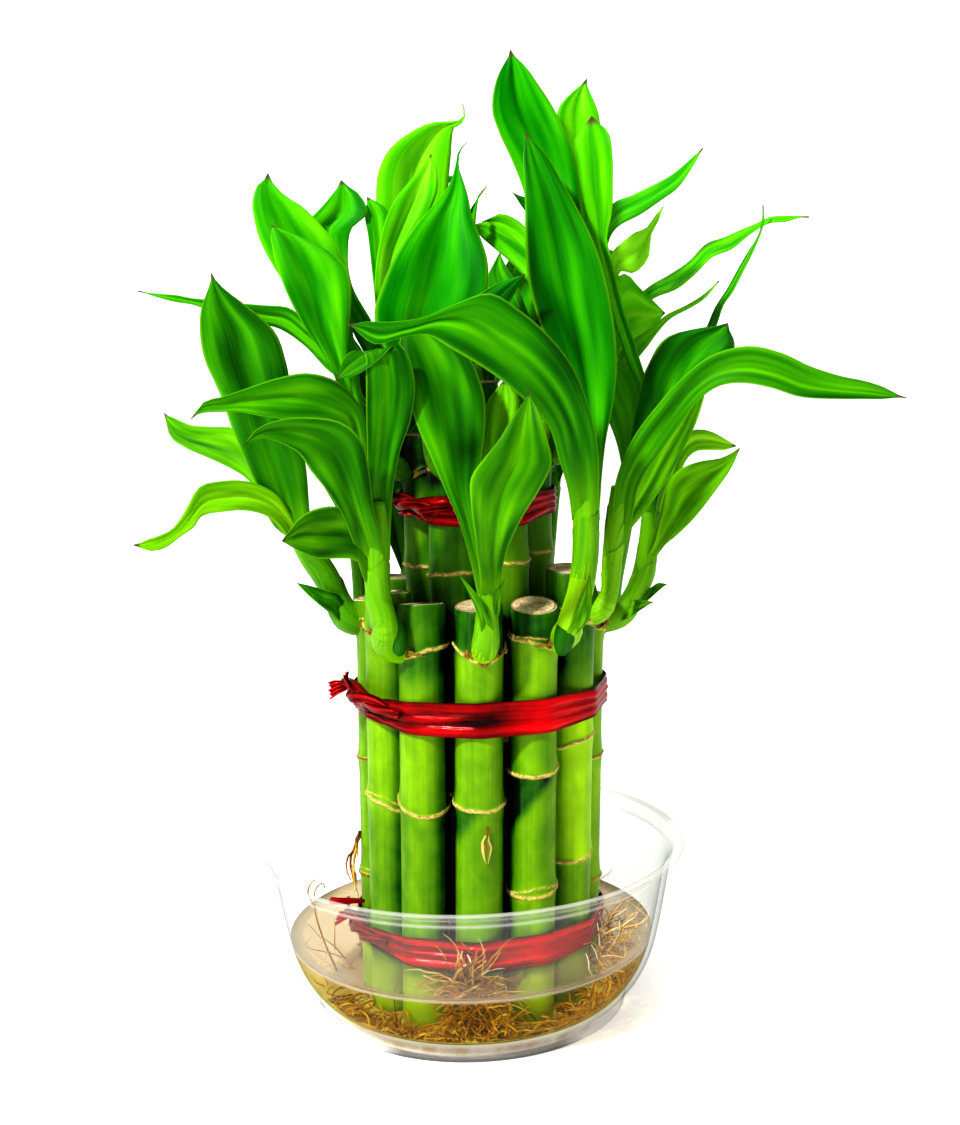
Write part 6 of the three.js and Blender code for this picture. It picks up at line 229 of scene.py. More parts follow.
            (0.38, 0, [[-12.29, 30.56, 101.91, -13.94, 29.32, 101.84, -15.6, 28.08, 101.77], [-11.8, 33.39, 111.57, -16.2, 31.86, 110.25, -18.84, 27.82, 110.68], [-13.7, 37.61, 120.88, -19.61, 34.92, 118.08, -23.28, 28.89, 118.5], [-18.7, 42.17, 129.06, -24.42, 38.34, 124.96, -28.1, 31.21, 125.24], [-26.49, 46.53, 135.05, -30.71, 41.8, 130.51, -33.52, 34.52, 130.85], [-35.99, 50.21, 138.34, -38.32, 44.92, 134.33, -40.05, 38.15, 135.2], [-46.18, 52.39, 138.54, -46.88, 47.33, 136.12, -47.83, 42.02, 137.79], [-55.83, 52.24, 136.18, -55.82, 48.79, 135.64, -56.55, 45.89, 137.47], [-64.43, 49.31, 132.84, -64.43, 49.19, 132.82, -64.45, 49.09, 132.89]]),
            (0.36, 0, [[-12.94, 30.19, 108.26, -14.82, 30.57, 108.46, -16.69, 30.94, 108.67], [-9.12, 30.17, 115.59, -13.51, 32.88, 116.35, -18.32, 31.87, 118.08], [-4.83, 31.01, 121.71, -11.08, 34.62, 124.13, -17.76, 32.63, 127.2], [-0.71, 32.17, 127.83, -7.77, 35.26, 131.74, -15.07, 31.97, 134.97], [3.15, 32.71, 135.18, -4.08, 34.34, 139.14, -11.15, 30.14, 140.86], [6.34, 31.01, 143.71, -0.75, 31.67, 146.29, -7.17, 27.67, 145.79], [7.35, 26.73, 152.44, 1.35, 27.43, 153.14, -3.67, 24.7, 151.07], [5.11, 21.29, 160.16, 1.5, 22.23, 159.64, -1.36, 20.98, 157.53], [-0.62, 16.99, 165.75, -0.73, 17.01, 165.73, -0.82, 16.97, 165.66]]),
            (0.29, 0, [[-14.18, 32.64, 114.96, -15.86, 32.06, 115.05, -17.54, 31.47, 115.14], [-13, 36.59, 123.78, -16.79, 36.14, 123.92, -20.05, 34.43, 124.88], [-11.58, 41.61, 131.49, -17.09, 41.36, 132.21, -21.86, 39.41, 134.33], [-10.28, 47.23, 138.23, -16.41, 47.74, 139.63, -21.71, 46.49, 142.82], [-8.72, 53.48, 144.08, -14.39, 55.04, 145.86, -19.29, 55.08, 149.56], [-6.12, 60.26, 148.98, -10.76, 62.83, 150.58, -14.79, 64.25, 154.1], [-2.26, 67.54, 152.93, -5.47, 70.55, 153.52, -8.35, 73, 155.85], [2.93, 75.59, 155.41, 1.29, 77.59, 154.45, -0.34, 79.81, 154.62], [9.16, 83.32, 153.27, 9.09, 83.41, 153.23, 9.02, 83.5, 153.24]]),
            (0.52, 0, [[-15.09, 33.93, 118.27, -16.43, 32.87, 118.33, -17.77, 31.82, 118.39], [-13.44, 35.3, 125.06, -16.73, 33.67, 125.35, -18.85, 30.7, 125.87], [-12.04, 37.38, 131.35, -16.69, 34.86, 132.33, -19.53, 30.45, 133.53], [-11.05, 39.39, 137.48, -16.03, 36.31, 139.22, -18.86, 31.18, 140.92], [-10.1, 41.1, 143.94, -14.53, 37.72, 145.99, -16.82, 32.46, 147.54], [-8.49, 42.15, 150.9, -12.15, 38.62, 152.59, -13.88, 33.61, 153.35], [-6.25, 41.65, 158.2, -9.1, 38.53, 158.98, -10.42, 34.45, 158.71], [-3.98, 38.97, 165.16, -5.84, 37.07, 165.09, -6.74, 34.69, 164.3], [-2.96, 34.19, 170.88, -3.04, 34.1, 170.87, -3.07, 33.99, 170.83]]),
            (0.45, 0, [[-16.77, 35.35, 121.75, -17.04, 33.74, 121.6, -17.31, 32.13, 121.45], [-17.66, 37.17, 128.92, -19.12, 33.53, 127.73, -18.96, 29.48, 127.04], [-19.09, 37.4, 136.25, -21.28, 32.42, 133.73, -21.08, 26.77, 131.74], [-20.25, 35.4, 142.96, -23.18, 30.31, 139.55, -23.35, 24.38, 136.24], [-20.56, 31.66, 148.26, -24.34, 27.24, 145.12, -25.54, 21.94, 141.35], [-20.02, 27.26, 152.07, -24.32, 23.48, 150.39, -26.63, 18.86, 147.42], [-19.19, 22.71, 155.2, -22.78, 19.55, 155.3, -25.17, 15.63, 153.96], [-17.77, 18.23, 158.86, -19.62, 16.11, 159.78, -20.9, 13.44, 159.73], [-14.97, 13.92, 163.72, -15.05, 13.84, 163.76, -15.1, 13.73, 163.76]]),
        ],
    },
    "shoot_outer_09": {
        "stem": [[-25.02, 15.87, 95.5, 2.4], [-25.52, 16.1, 103.5, 2.2], [-26.34, 16.48, 111.5, 2], [-27.35, 16.95, 119.5, 1.8], [-28.5, 17.49, 127.5, 1.6]],
        "leaves": [
            (0.35, 0, [[-24.91, 17.96, 104.98, -25.66, 16.17, 105.12, -26.41, 14.38, 105.27], [-24.4, 21.72, 114.07, -27.86, 17.87, 114.65, -28.19, 12.94, 116.3], [-24.83, 26.25, 121.52, -29.9, 21.07, 123.82, -30.31, 14.45, 127.53], [-25.77, 31.03, 127.78, -30.98, 25.95, 132.39, -30.73, 19.21, 137.76], [-27.07, 36.77, 133.85, -30.18, 32.13, 140.11, -28.03, 25.88, 145.27], [-27.16, 44, 141.27, -26.78, 38.73, 146.69, -22.78, 32.63, 148.69], [-22.03, 49.99, 149.73, -20.57, 44.5, 151.86, -17.73, 39.4, 150.19], [-12.21, 51.87, 155.24, -12.02, 48.12, 155.35, -11.49, 45.16, 153.1], [-2.25, 48.77, 156.97, -2.25, 48.65, 156.97, -2.23, 48.56, 156.89]]),
            (0.32, 0, [[-26.54, 18.19, 109.76, -26.16, 16.4, 109.93, -25.78, 14.61, 110.1], [-28.92, 21.53, 117.32, -29.17, 16.55, 118.24, -27.29, 12.21, 120.04], [-32.02, 24.87, 123.05, -32.93, 18.18, 126.07, -30.7, 12.51, 130.26], [-35.66, 28.03, 127.52, -36.76, 21.88, 133.12, -34.13, 16.9, 139.33], [-41.01, 31.79, 132.08, -39.58, 27.79, 139.06, -34.63, 24.82, 144.82], [-46.02, 38.2, 139.97, -40.24, 35.38, 143.54, -33.19, 33.28, 143.94], [-42.75, 46.94, 146.57, -37.97, 43.48, 146.27, -33.71, 40.67, 143.3], [-34.59, 53.63, 147.93, -32.77, 50.59, 147, -31.61, 48.11, 144.57], [-25.53, 55.48, 145.64, -25.48, 55.38, 145.6, -25.44, 55.3, 145.52]]),
        ],
    },
    "shoot_outer_10": {
        "stem": [[-28.99, -1.44, 94.54, 2.4], [-29.75, -1.12, 100.22, 3.12], [-32.52, -2, 106.55, 3.1], [-35.99, -3, 112.58, 2.97], [-38.51, -4, 117.81, 2.36]],
        "leaves": [
            (0.43, 1, [[-38.3, -3.26, 113.76, -36.72, -3.26, 114.01, -35.14, -3.26, 114.27], [-42.98, -5.61, 119.08, -39.17, -4.94, 119.26, -35.21, -5.61, 119.61], [-44.82, -7.62, 124.81, -40.18, -6.43, 124.79, -35.25, -7.62, 125.06], [-48.26, -10.19, 133.33, -42.02, -8.58, 133.03, -35.35, -10.19, 133.03], [-51.56, -12.8, 142.82, -44.3, -10.91, 142.51, -36.52, -12.8, 142.47], [-53.57, -14.89, 150.92, -45.81, -12.86, 151.2, -37.49, -14.89, 151.67], [-56.25, -16.68, 158.87, -47.54, -14.38, 158.39, -38.14, -16.68, 158.02], [-56.84, -17.79, 165.55, -49.03, -15.72, 165.35, -40.6, -17.79, 165.18], [-56.09, -17.98, 171.02, -51.92, -16.88, 171.26, -47.41, -17.98, 171.48], [-54.35, -17.86, 175.14, -53.07, -17.52, 175.12, -51.69, -17.86, 175.08], [-53.81, -18.02, 178.17, -53.73, -18, 178.17, -53.64, -18.02, 178.17]]),
            (0.91, 1, [[-38.81, -3.5, 112, -38.22, -3.5, 114.86, -37.63, -3.5, 117.72], [-41.1, -6.31, 117.24, -40.56, -5.91, 120.02, -39.86, -6.84, 122.95], [-44.32, -8.82, 121.9, -43.68, -8.38, 124.76, -42.83, -9.41, 127.78], [-48.98, -11.43, 123.97, -48.67, -10.93, 127.27, -48.11, -12.09, 130.75], [-54.53, -14.16, 124.21, -54.45, -13.63, 127.72, -54.07, -14.86, 131.41], [-58.77, -16.3, 123.66, -59.03, -15.81, 126.93, -59, -16.96, 130.38], [-60.61, -18.21, 121.2, -61.47, -17.89, 123.13, -62.14, -18.63, 125.18], [-63.35, -19.83, 119.43, -64.12, -19.64, 120.45, -64.77, -20.09, 121.55], [-66.96, -21.69, 117.05, -67.49, -21.45, 118.51, -67.85, -22, 120.07], [-70.08, -22.96, 116.86, -70.28, -22.77, 118.09, -70.34, -23.2, 119.4], [-72.99, -24.01, 118.45, -72.91, -24, 118.44, -72.81, -24.03, 118.44]]),
            (0.62, 1, [[-38.4, -3.68, 114.72, -37.75, -3.68, 116.18, -37.1, -3.68, 117.65], [-43.66, -4, 118.88, -42.62, -4, 121.24, -41.58, -4, 123.59], [-47.29, 0.42, 125.1, -46.32, 1.26, 127.85, -45.13, 0.42, 130.79], [-50.93, 3.99, 129.59, -49.96, 4.96, 132.85, -48.71, 3.99, 136.27], [-56.07, 7.05, 132.55, -55.09, 8.37, 137.01, -53.7, 7.05, 141.67], [-62.01, 10.07, 135.08, -61.16, 11.09, 138.51, -59.96, 10.07, 142.08], [-67.21, 12.44, 137.19, -66.6, 13.22, 139.81, -65.71, 12.44, 142.53], [-70.8, 13.98, 139.6, -70.19, 14.63, 141.75, -69.34, 13.98, 143.98], [-72.69, 15.97, 145.4, -72.6, 16, 145.39, -72.49, 15.97, 145.39]]),
            (0.38, 1, [[-29.18, -1.35, 94.14, -29.12, -1.35, 95.74, -29.06, -1.35, 97.34], [-29.79, -4.72, 96.58, -29.5, -4.16, 99.37, -29.1, -4.72, 102.36], [-33.27, -6.65, 100.16, -32.88, -6.25, 102.12, -32.41, -6.65, 104.22], [-36.35, -7.67, 103.3, -35.97, -7.45, 104.33, -35.56, -7.67, 105.43], [-38.87, -8.02, 106.28, -38.77, -8, 106.28, -38.68, -8.02, 106.28]]),
            (0.54, 0, [[-31.95, 0.99, 105.17, -31.94, -1.81, 105.41, -31.93, -4.61, 105.65], [-34.48, 2.99, 112.51, -35.57, -1.2, 112.9, -34.66, -5.23, 114.26], [-37.44, 6.37, 118.79, -39.22, 0.44, 120.23, -38.03, -5.17, 122.97], [-40.52, 9.53, 124.65, -42.62, 3.19, 127.35, -41.26, -2.72, 131.24], [-43.64, 12.72, 130.5, -45.46, 7.04, 134.19, -43.79, 1.82, 138.56], [-46.45, 16.56, 136.55, -47.39, 11.89, 140.71, -45.14, 7.65, 144.83], [-48.37, 21, 143.19, -48.09, 17.5, 146.85, -45.36, 14.37, 149.77], [-48.23, 25.71, 150.5, -47.29, 23.53, 152.57, -45.07, 21.62, 153.71], [-44.87, 29.63, 157.73, -44.83, 29.55, 157.8, -44.74, 29.48, 157.84]]),
        ],
    },
    "shoot_outer_11": {
        "stem": [[-17.89, -20.79, 99.1, 2.29], [-18.85, -20.87, 104.22, 2.51], [-19.5, -18, 109.4, 2.51], [-20.81, -17, 119.66, 2.28], [-21.93, -15, 130.91, 2.05], [-23.13, -13, 139.9, 1.83]],
        "leaves": [
            (0.58, 1, [[-23.12, -14.89, 130.3, -22, -14.89, 131.44, -20.87, -14.89, 132.58], [-23.98, -17.92, 137.6, -22.16, -17.06, 139.74, -20.22, -17.92, 142.02], [-25.63, -19.76, 143.62, -23.94, -18.81, 146.2, -22.09, -19.76, 148.88], [-30.97, -21.87, 144.77, -28.72, -20.37, 149.07, -26.2, -21.87, 153.5], [-36.92, -23.91, 145.49, -34.92, -22.23, 150.53, -32.54, -23.91, 155.7], [-42.84, -25.5, 146.61, -41.08, -24.13, 150.65, -38.97, -25.5, 154.82], [-47.87, -26.82, 147.68, -46.78, -25.96, 150.22, -45.44, -26.82, 152.85], [-52.66, -28.23, 147.88, -51.91, -27.69, 149.46, -50.98, -28.23, 151.09], [-55.33, -29.17, 147.78, -55.12, -28.8, 148.94, -54.78, -29.17, 150.15], [-57.72, -30.03, 146.59, -57.64, -30, 146.58, -57.54, -30.03, 146.58]]),
            (0.67, 1, [[-24.04, -13.72, 136.04, -22.7, -13.72, 136.76, -21.36, -13.72, 137.48], [-24.27, -13, 139.92, -22.65, -13, 140.8, -21.02, -13, 141.67], [-25.89, -14.75, 148.02, -23.74, -14.26, 149.07, -21.46, -15.49, 150.21], [-27.78, -15.74, 155.52, -25.2, -15.15, 156.78, -22.45, -16.63, 158.1], [-32.07, -16.76, 163.87, -27.63, -15.8, 165.42, -22.91, -18.22, 166.98], [-35.48, -17.25, 172.09, -29.56, -16.02, 172.85, -23.27, -19.11, 173.54], [-39.6, -17.54, 178.74, -32, -15.96, 179.05, -23.88, -19.92, 179.18], [-42.48, -17.4, 184.24, -34.49, -15.72, 184.13, -25.91, -19.91, 183.75], [-43.89, -16.71, 189.29, -37.21, -15.3, 189.22, -29.99, -18.82, 188.85], [-44.24, -16.06, 193.23, -38.88, -14.92, 192.75, -33.06, -17.76, 191.99], [-43.11, -15.09, 196.73, -40.46, -14.5, 195.96, -37.55, -15.97, 195.02], [-40.78, -14.02, 199.57, -40.7, -14, 199.57, -40.6, -14.05, 199.56]]),
            (0.62, 1, [[-23.08, -15, 137.32, -22.39, -15, 137.31, -21.71, -15, 137.29], [-24.2, -17.5, 144.77, -23.31, -17.5, 144.53, -22.42, -17.5, 144.28], [-26.37, -20.3, 152.78, -24.86, -20, 152.07, -23.29, -20.36, 151.6], [-29.4, -22.8, 160.18, -26.85, -22, 159.45, -23.93, -22.96, 158.75], [-32.89, -24.9, 166.14, -29.1, -23.5, 166.05, -23.08, -25.18, 165.28], [-35.59, -26, 171.57, -30.54, -24.2, 172.34, -22.36, -26.36, 170.63], [-37.35, -26, 176.09, -32.29, -24.2, 177.52, -22.41, -26.36, 175.32], [-38.74, -25.4, 180.61, -34.1, -23.8, 182.27, -23.84, -25.72, 179.2], [-39.38, -24.2, 184.5, -36.21, -23.2, 185.33, -28.37, -24.4, 182.75], [-39.65, -23, 186.69, -38.39, -22.6, 186.9, -34.89, -23.08, 185.94], [-39.6, -22, 187.81, -39.52, -22, 187.81, -39.43, -22, 187.81]]),
            (0.67, 1, [[-24.04, -13.72, 136.02, -22.7, -13.72, 136.76, -21.36, -13.72, 137.49], [-24.15, -13, 143.34, -22.76, -13, 144.1, -21.37, -13, 144.87], [-25.17, -11.85, 149.43, -23.63, -11.94, 150.88, -22.02, -12.97, 152.36], [-26.23, -11.04, 153.5, -24.73, -11.21, 156.65, -23.1, -13.14, 159.81], [-29.38, -10.54, 155.82, -28.88, -10.73, 159.44, -28.22, -12.76, 163.06], [-34.45, -10.14, 161.36, -33.99, -10.26, 163.83, -33.41, -11.67, 166.3], [-39.56, -9.9, 165.08, -38.53, -10.04, 167.53, -37.35, -11.52, 169.97], [-44.96, -9.87, 166.78, -44.4, -9.98, 168.79, -43.69, -11.14, 170.78], [-50.11, -9.99, 168.02, -49.79, -10.07, 169.7, -49.34, -11.03, 171.36], [-55.21, -10.26, 169.71, -55.14, -10.32, 170.94, -54.97, -11.01, 172.16], [-60.05, -10.64, 171.38, -60.01, -10.67, 172.05, -59.91, -11.05, 172.72], [-63.37, -10.94, 171.9, -63.32, -10.98, 172.68, -63.19, -11.42, 173.45], [-66.63, -11.33, 172.86, -66.61, -11.35, 173.31, -66.53, -11.6, 173.75], [-71.46, -12, 174.52, -71.37, -12, 174.52, -71.27, -12.05, 174.52]]),
            (0.53, 0, [[-19.84, -15.27, 112.19, -19.89, -17.48, 112.37, -19.93, -19.68, 112.55], [-21.86, -13.1, 118.5, -23.09, -16.89, 118.76, -22.36, -20.59, 120.1], [-24.39, -10.06, 123.67, -26.54, -15.36, 124.85, -25.87, -20.43, 127.66], [-27.12, -7.23, 128.13, -30.02, -12.68, 130.51, -29.68, -17.82, 134.67], [-30.07, -4.31, 132.16, -33.18, -8.76, 135.62, -33, -12.93, 140.53], [-33.07, -0.61, 135.78, -35.58, -3.66, 140.04, -34.93, -6.5, 145.06], [-36.28, 4.12, 139.35, -36.82, 2.41, 143.65, -34.8, 0.79, 147.52], [-38.36, 10.06, 144.26, -36.59, 9.06, 146.32, -33.94, 8.15, 147.02], [-34.78, 15.83, 147.86, -34.71, 15.78, 147.95, -34.59, 15.75, 147.97]]),
        ],
    },
    "shoot_outer_12": {
        "stem": [[-14.73, -28, 92.83, 2.46], [-16.97, -28.5, 98.68, 2.89], [-18.27, -29, 105.59, 2.77], [-18.46, -29.5, 112.41, 2.76], [-18.17, -30, 120.27, 2.85], [-17.7, -30, 127.99, 2.62]],
        "leaves": [
            (0.43, 1, [[-21.24, -29.65, 114.73, -18.38, -29.65, 114.66, -15.51, -29.65, 114.6], [-20.64, -31.18, 122.7, -17.84, -30.62, 122.56, -14.96, -31.18, 122.57], [-20.08, -32.28, 130.49, -17.19, -31.69, 130.36, -14.22, -32.28, 130.36], [-19.46, -33.75, 139.3, -15.96, -33.04, 138.94, -12.38, -33.75, 138.7], [-19.27, -35.38, 147.97, -14.44, -34.38, 147.27, -9.49, -35.38, 146.68], [-18.96, -36.47, 154.79, -13.92, -35.44, 154.95, -8.78, -36.47, 155.19], [-19.16, -36.97, 160.27, -15.59, -36.22, 161.01, -11.94, -36.97, 161.78], [-22.08, -37.41, 160.35, -19.85, -36.85, 158.82, -17.54, -37.41, 157.31], [-23.8, -37.83, 158.31, -23.05, -37.45, 156.6, -22.24, -37.83, 154.92], [-25.49, -38.02, 154.37, -25.41, -38, 154.37, -25.33, -38.02, 154.37]]),
            (0.41, 1, [[-20.93, -29.45, 111.34, -18.49, -29.45, 111.62, -16.05, -29.45, 111.9], [-23.01, -33.5, 118.68, -20.01, -32.58, 119.02, -16.89, -33.5, 119.63], [-25.09, -36.67, 125.92, -21.81, -35.63, 126.69, -18.37, -36.67, 127.71], [-28.28, -39.13, 131.87, -23.66, -37.61, 133.53, -18.8, -39.13, 135.49], [-31.11, -40.98, 135.96, -25.79, -39.1, 138.84, -20.14, -40.98, 142.03], [-32.96, -42.11, 139.27, -28.59, -40.42, 142.5, -23.9, -42.11, 145.97], [-35.88, -43.22, 141.53, -33.8, -42.14, 144.32, -31.47, -43.22, 147.26], [-39.83, -44.4, 143.17, -38.79, -43.78, 144.87, -37.6, -44.4, 146.65], [-42.43, -45.24, 142.88, -42.02, -44.91, 143.88, -41.51, -45.24, 144.93], [-44.33, -46.02, 141.54, -44.25, -46, 141.53, -44.16, -46.02, 141.53]]),
            (0.44, 1, [[-19.8, -29.1, 106.09, -18, -29.1, 106.95, -16.2, -29.1, 107.81], [-21.64, -31.69, 111.73, -19.63, -30.9, 114.11, -17.53, -31.69, 116.74], [-22.92, -33.27, 115.34, -21.99, -32.31, 119.03, -20.92, -33.27, 122.98], [-26.43, -35.31, 115.96, -25.59, -33.96, 121.22, -24.52, -35.31, 126.82], [-31.06, -38.52, 116.78, -30.66, -37.19, 122, -29.99, -38.52, 127.56], [-34.61, -40.44, 118.89, -34.25, -39.59, 122.2, -33.69, -40.44, 125.74], [-37.61, -42.02, 121.12, -37.52, -42, 121.12, -37.44, -42.02, 121.12]]),
        ],
    },
}


# ---- helpers ----


def hermite(P, n):
    """n points evenly spaced along a smooth curve through the rows of P."""
    P = np.asarray(P, float)
    step = np.linalg.norm(np.diff(P[:, 3:6] if P.shape[1] == 9 else P[:, :3], axis=0), axis=1)
    t = np.concatenate([[0], np.cumsum(np.maximum(step, 1e-3))])
    d = np.diff(P, axis=0) / np.diff(t)[:, None]
    g = np.zeros_like(P)
    g[0], g[-1] = d[0], d[-1]
    if len(P) > 2:
        h = np.diff(t)[:, None]
        g[1:-1] = (d[1:] * h[:-1] + d[:-1] * h[1:]) / (h[:-1] + h[1:])
    s = np.linspace(0, t[-1], n)
    k = np.clip(np.searchsorted(t, s, side="right") - 1, 0, len(P) - 2)
    h = (t[k + 1] - t[k])[:, None]
    x = ((s - t[k])[:, None]) / h
    a, b = P[k], P[k + 1]
    return ((2 * x**3 - 3 * x**2 + 1) * a + (x**3 - 2 * x**2 + x) * h * g[k]
            + (-2 * x**3 + 3 * x**2) * b + (x**3 - x**2) * h * g[k + 1])


def unit(v):
    return v / np.maximum(np.linalg.norm(v, axis=-1, keepdims=True), 1e-9)


class Parts:
    """Collects points, faces, a material number for each face and named numbers for each point."""

    def __init__(self, *names):
        self.v, self.f, self.m, self.names = [], [], [], names
        self.a = {n: [] for n in names}
        self.n = 0

    def add(self, v, f, mat=0, **values):
        v = np.asarray(v, float)
        self.f += [tuple(int(i) + self.n for i in q) for q in f]
        self.m += [mat] * len(f)
        for n in self.names:
            x = values.get(n, 0.0)
            self.a[n].append(np.broadcast_to(np.asarray(x, float), (len(v),)).copy())
        self.v.append(v)
        self.n += len(v)

    def make(self, name, mats, smooth=True):
        me = bpy.data.meshes.new(name)
        v = np.vstack(self.v) * 0.001
        me.from_pydata(v.tolist(), [], self.f)
        me.validate()
        for m in mats:
            me.materials.append(m)
        me.polygons.foreach_set("material_index", self.m[: len(me.polygons)])
        me.polygons.foreach_set("use_smooth", [smooth] * len(me.polygons))
        for n in self.names:
            me.attributes.new(n, "FLOAT", "POINT").data.foreach_set("value", np.concatenate(self.a[n]).astype(np.float32))
        me.update()
        o = bpy.data.objects.new(name, me)
        scene.collection.objects.link(o)
        return o


def grid_faces(rows, cols, closed=False):
    out = []
    for i in range(rows - 1):
        for j in range(cols if closed else cols - 1):
            a, b = i * cols + j, i * cols + (j + 1) % cols
            out.append((a, b, b + cols, a + cols))
    return out


def frames(P):
    """Tangents and two cross directions along a curve, turned as little as possible."""
    T = unit(np.gradient(P, axis=0))
    n = np.cross(T[0], [0, 0, 1.0])
    if np.linalg.norm(n) < 0.2:
        n = np.cross(T[0], [1.0, 0, 0])
    N = []
    for t in T:
        n = n - t * n.dot(t)
        n = n / max(np.linalg.norm(n), 1e-9)
        N.append(n)
    N = np.array(N)
    return T, N, np.cross(T, N)


def tube(parts, P, radii, sides=8, mat=0, **values):
    P = np.asarray(P, float)
    radii = np.broadcast_to(np.asarray(radii, float), (len(P),))
    T, N, B = frames(P)
    a = np.linspace(0, 2 * math.pi, sides, endpoint=False)
    v = (P[:, None] + radii[:, None, None] * (np.cos(a)[None, :, None] * N[:, None] + np.sin(a)[None, :, None] * B[:, None]))
    v = v.reshape(-1, 3)
    f = grid_faces(len(P), sides, closed=True)
    f.append(tuple(range(sides))[::-1])
    f.append(tuple(range((len(P) - 1) * sides, len(P) * sides)))
    vals = {}
    for k, x in values.items():
        x = np.asarray(x, float)
        vals[k] = np.repeat(x, sides) if x.shape == (len(P),) else x
    parts.add(v, f, mat, **vals)


def revolve(profile, seg, ripple=None):
    """A closed surface turned about the z axis from (radius, height) pairs; a radius of 0 is a pole."""
    v, rings = [], []
    for k, (r, z) in enumerate(profile):
        if r <= 1e-6:
            rings.append([len(v)])
            v.append((0, 0, z))
        else:
            rings.append(list(range(len(v), len(v) + seg)))
            for j in range(seg):
                a = 2 * math.pi * j / seg
                v.append((r * math.cos(a), r * math.sin(a), z))
    f = []
    for p, q in zip(rings, rings[1:]):
        for j in range(seg):
            j2 = (j + 1) % seg
            if len(p) == 1:
                f.append((p[0], q[j2], q[j])[::-1])
            elif len(q) == 1:
                f.append((p[j], p[j2], q[0])[::1])
            else:
                f.append((p[j], p[j2], q[j2], q[j]))
    return np.array(v, float), f


def smooth_profile(pts, n, sharp=()):
    """More points along a profile of (radius, height) pairs, rounded at its corners."""
    P = np.array([(r, 0, z) for r, z in pts], float)
    Q = hermite(P, n)
    return [(max(q[0], 0), q[2]) for q in Q]


def wob(x, y, z, s=1.0):
    return noise.noise(Vector((x * s, y * s, z * s)))


# ---- materials ----


def mat(name):
    m = bpy.data.materials.new(name)
    m.use_nodes = True
    nt = m.node_tree
    nt.nodes.clear()
    out = nt.nodes.new("ShaderNodeOutputMaterial")
    return m, nt, out


def node(nt, kind, **sets):
    n = nt.nodes.new("ShaderNode" + kind)
    for k, v in sets.items():
        if hasattr(n, k):
            setattr(n, k, v)
        else:
            n.inputs[k].default_value = v
    return n


def attr(nt, name):
    n = nt.nodes.new("ShaderNodeAttribute")
    n.attribute_name = name
    return n.outputs["Fac"]


def math_(nt, op, a, b=None, c=None, clamp=False):
    n = nt.nodes.new("ShaderNodeMath")
    n.operation = op
    n.use_clamp = clamp
    for i, x in enumerate((a, b, c)):
        if x is None:
            continue
        if isinstance(x, (int, float)):
            n.inputs[i].default_value = x
        else:
            nt.links.new(x, n.inputs[i])
    return n.outputs[0]


def ramp(nt, fac, stops, mode="LINEAR"):
    n = nt.nodes.new("ShaderNodeValToRGB")
    cr = n.color_ramp
    cr.interpolation = mode
    while len(cr.elements) > 1:
        cr.elements.remove(cr.elements[-1])
    for i, (p, c) in enumerate(stops):
        e = cr.elements[0] if i == 0 else cr.elements.new(p)
        e.position = p
        e.color = (*c, 1) if len(c) == 3 else c
    nt.links.new(fac, n.inputs[0])
    return n.outputs[0]


def srgb(r, g, b):
    def lin(c):
        c /= 255
        return c / 12.92 if c <= 0.04045 else ((c + 0.055) / 1.055) ** 2.4

    return (lin(r), lin(g), lin(b))


def mix(nt, fac, a, b, blend="MIX"):
    n = nt.nodes.new("ShaderNodeMix")
    n.data_type = "RGBA"
    n.blend_type = blend
    n.clamp_factor = True
    for sock, x in ((n.inputs[0], fac), (n.inputs[6], a), (n.inputs[7], b)):
        if isinstance(x, (int, float)):
            sock.default_value = x
        elif isinstance(x, tuple):
            sock.default_value = (*x, 1)
        else:
            nt.links.new(x, sock)
    return n.outputs[2]


def combine(nt, x, y, z):
    n = nt.nodes.new("ShaderNodeCombineXYZ")
    for i, v in enumerate((x, y, z)):
        if isinstance(v, (int, float)):
            n.inputs[i].default_value = v
        else:
            nt.links.new(v, n.inputs[i])
    return n.outputs[0]


def noise_tex(nt, vec, scale, detail=2.0, rough=0.5, distortion=0.0):
    n = nt.nodes.new("ShaderNodeTexNoise")
    n.inputs["Scale"].default_value = scale
    n.inputs["Detail"].default_value = detail
    n.inputs["Roughness"].default_value = rough
    n.inputs["Distortion"].default_value = distortion
    if vec is not None:
        nt.links.new(vec, n.inputs["Vector"])
    return n.outputs["Fac"]


def smoothstep(nt, x, lo, hi):
    n = nt.nodes.new("ShaderNodeMapRange")
    n.interpolation_type = "SMOOTHSTEP"
    n.inputs["From Min"].default_value = lo
    n.inputs["From Max"].default_value = hi
    nt.links.new(x, n.inputs["Value"])
    return n.outputs["Result"]


def bump(nt, height, strength, distance):
    n = nt.nodes.new("ShaderNodeBump")
    n.inputs["Strength"].default_value = strength
    n.inputs["Distance"].default_value = distance
    nt.links.new(height, n.inputs["Height"])
    return n.outputs["Normal"]


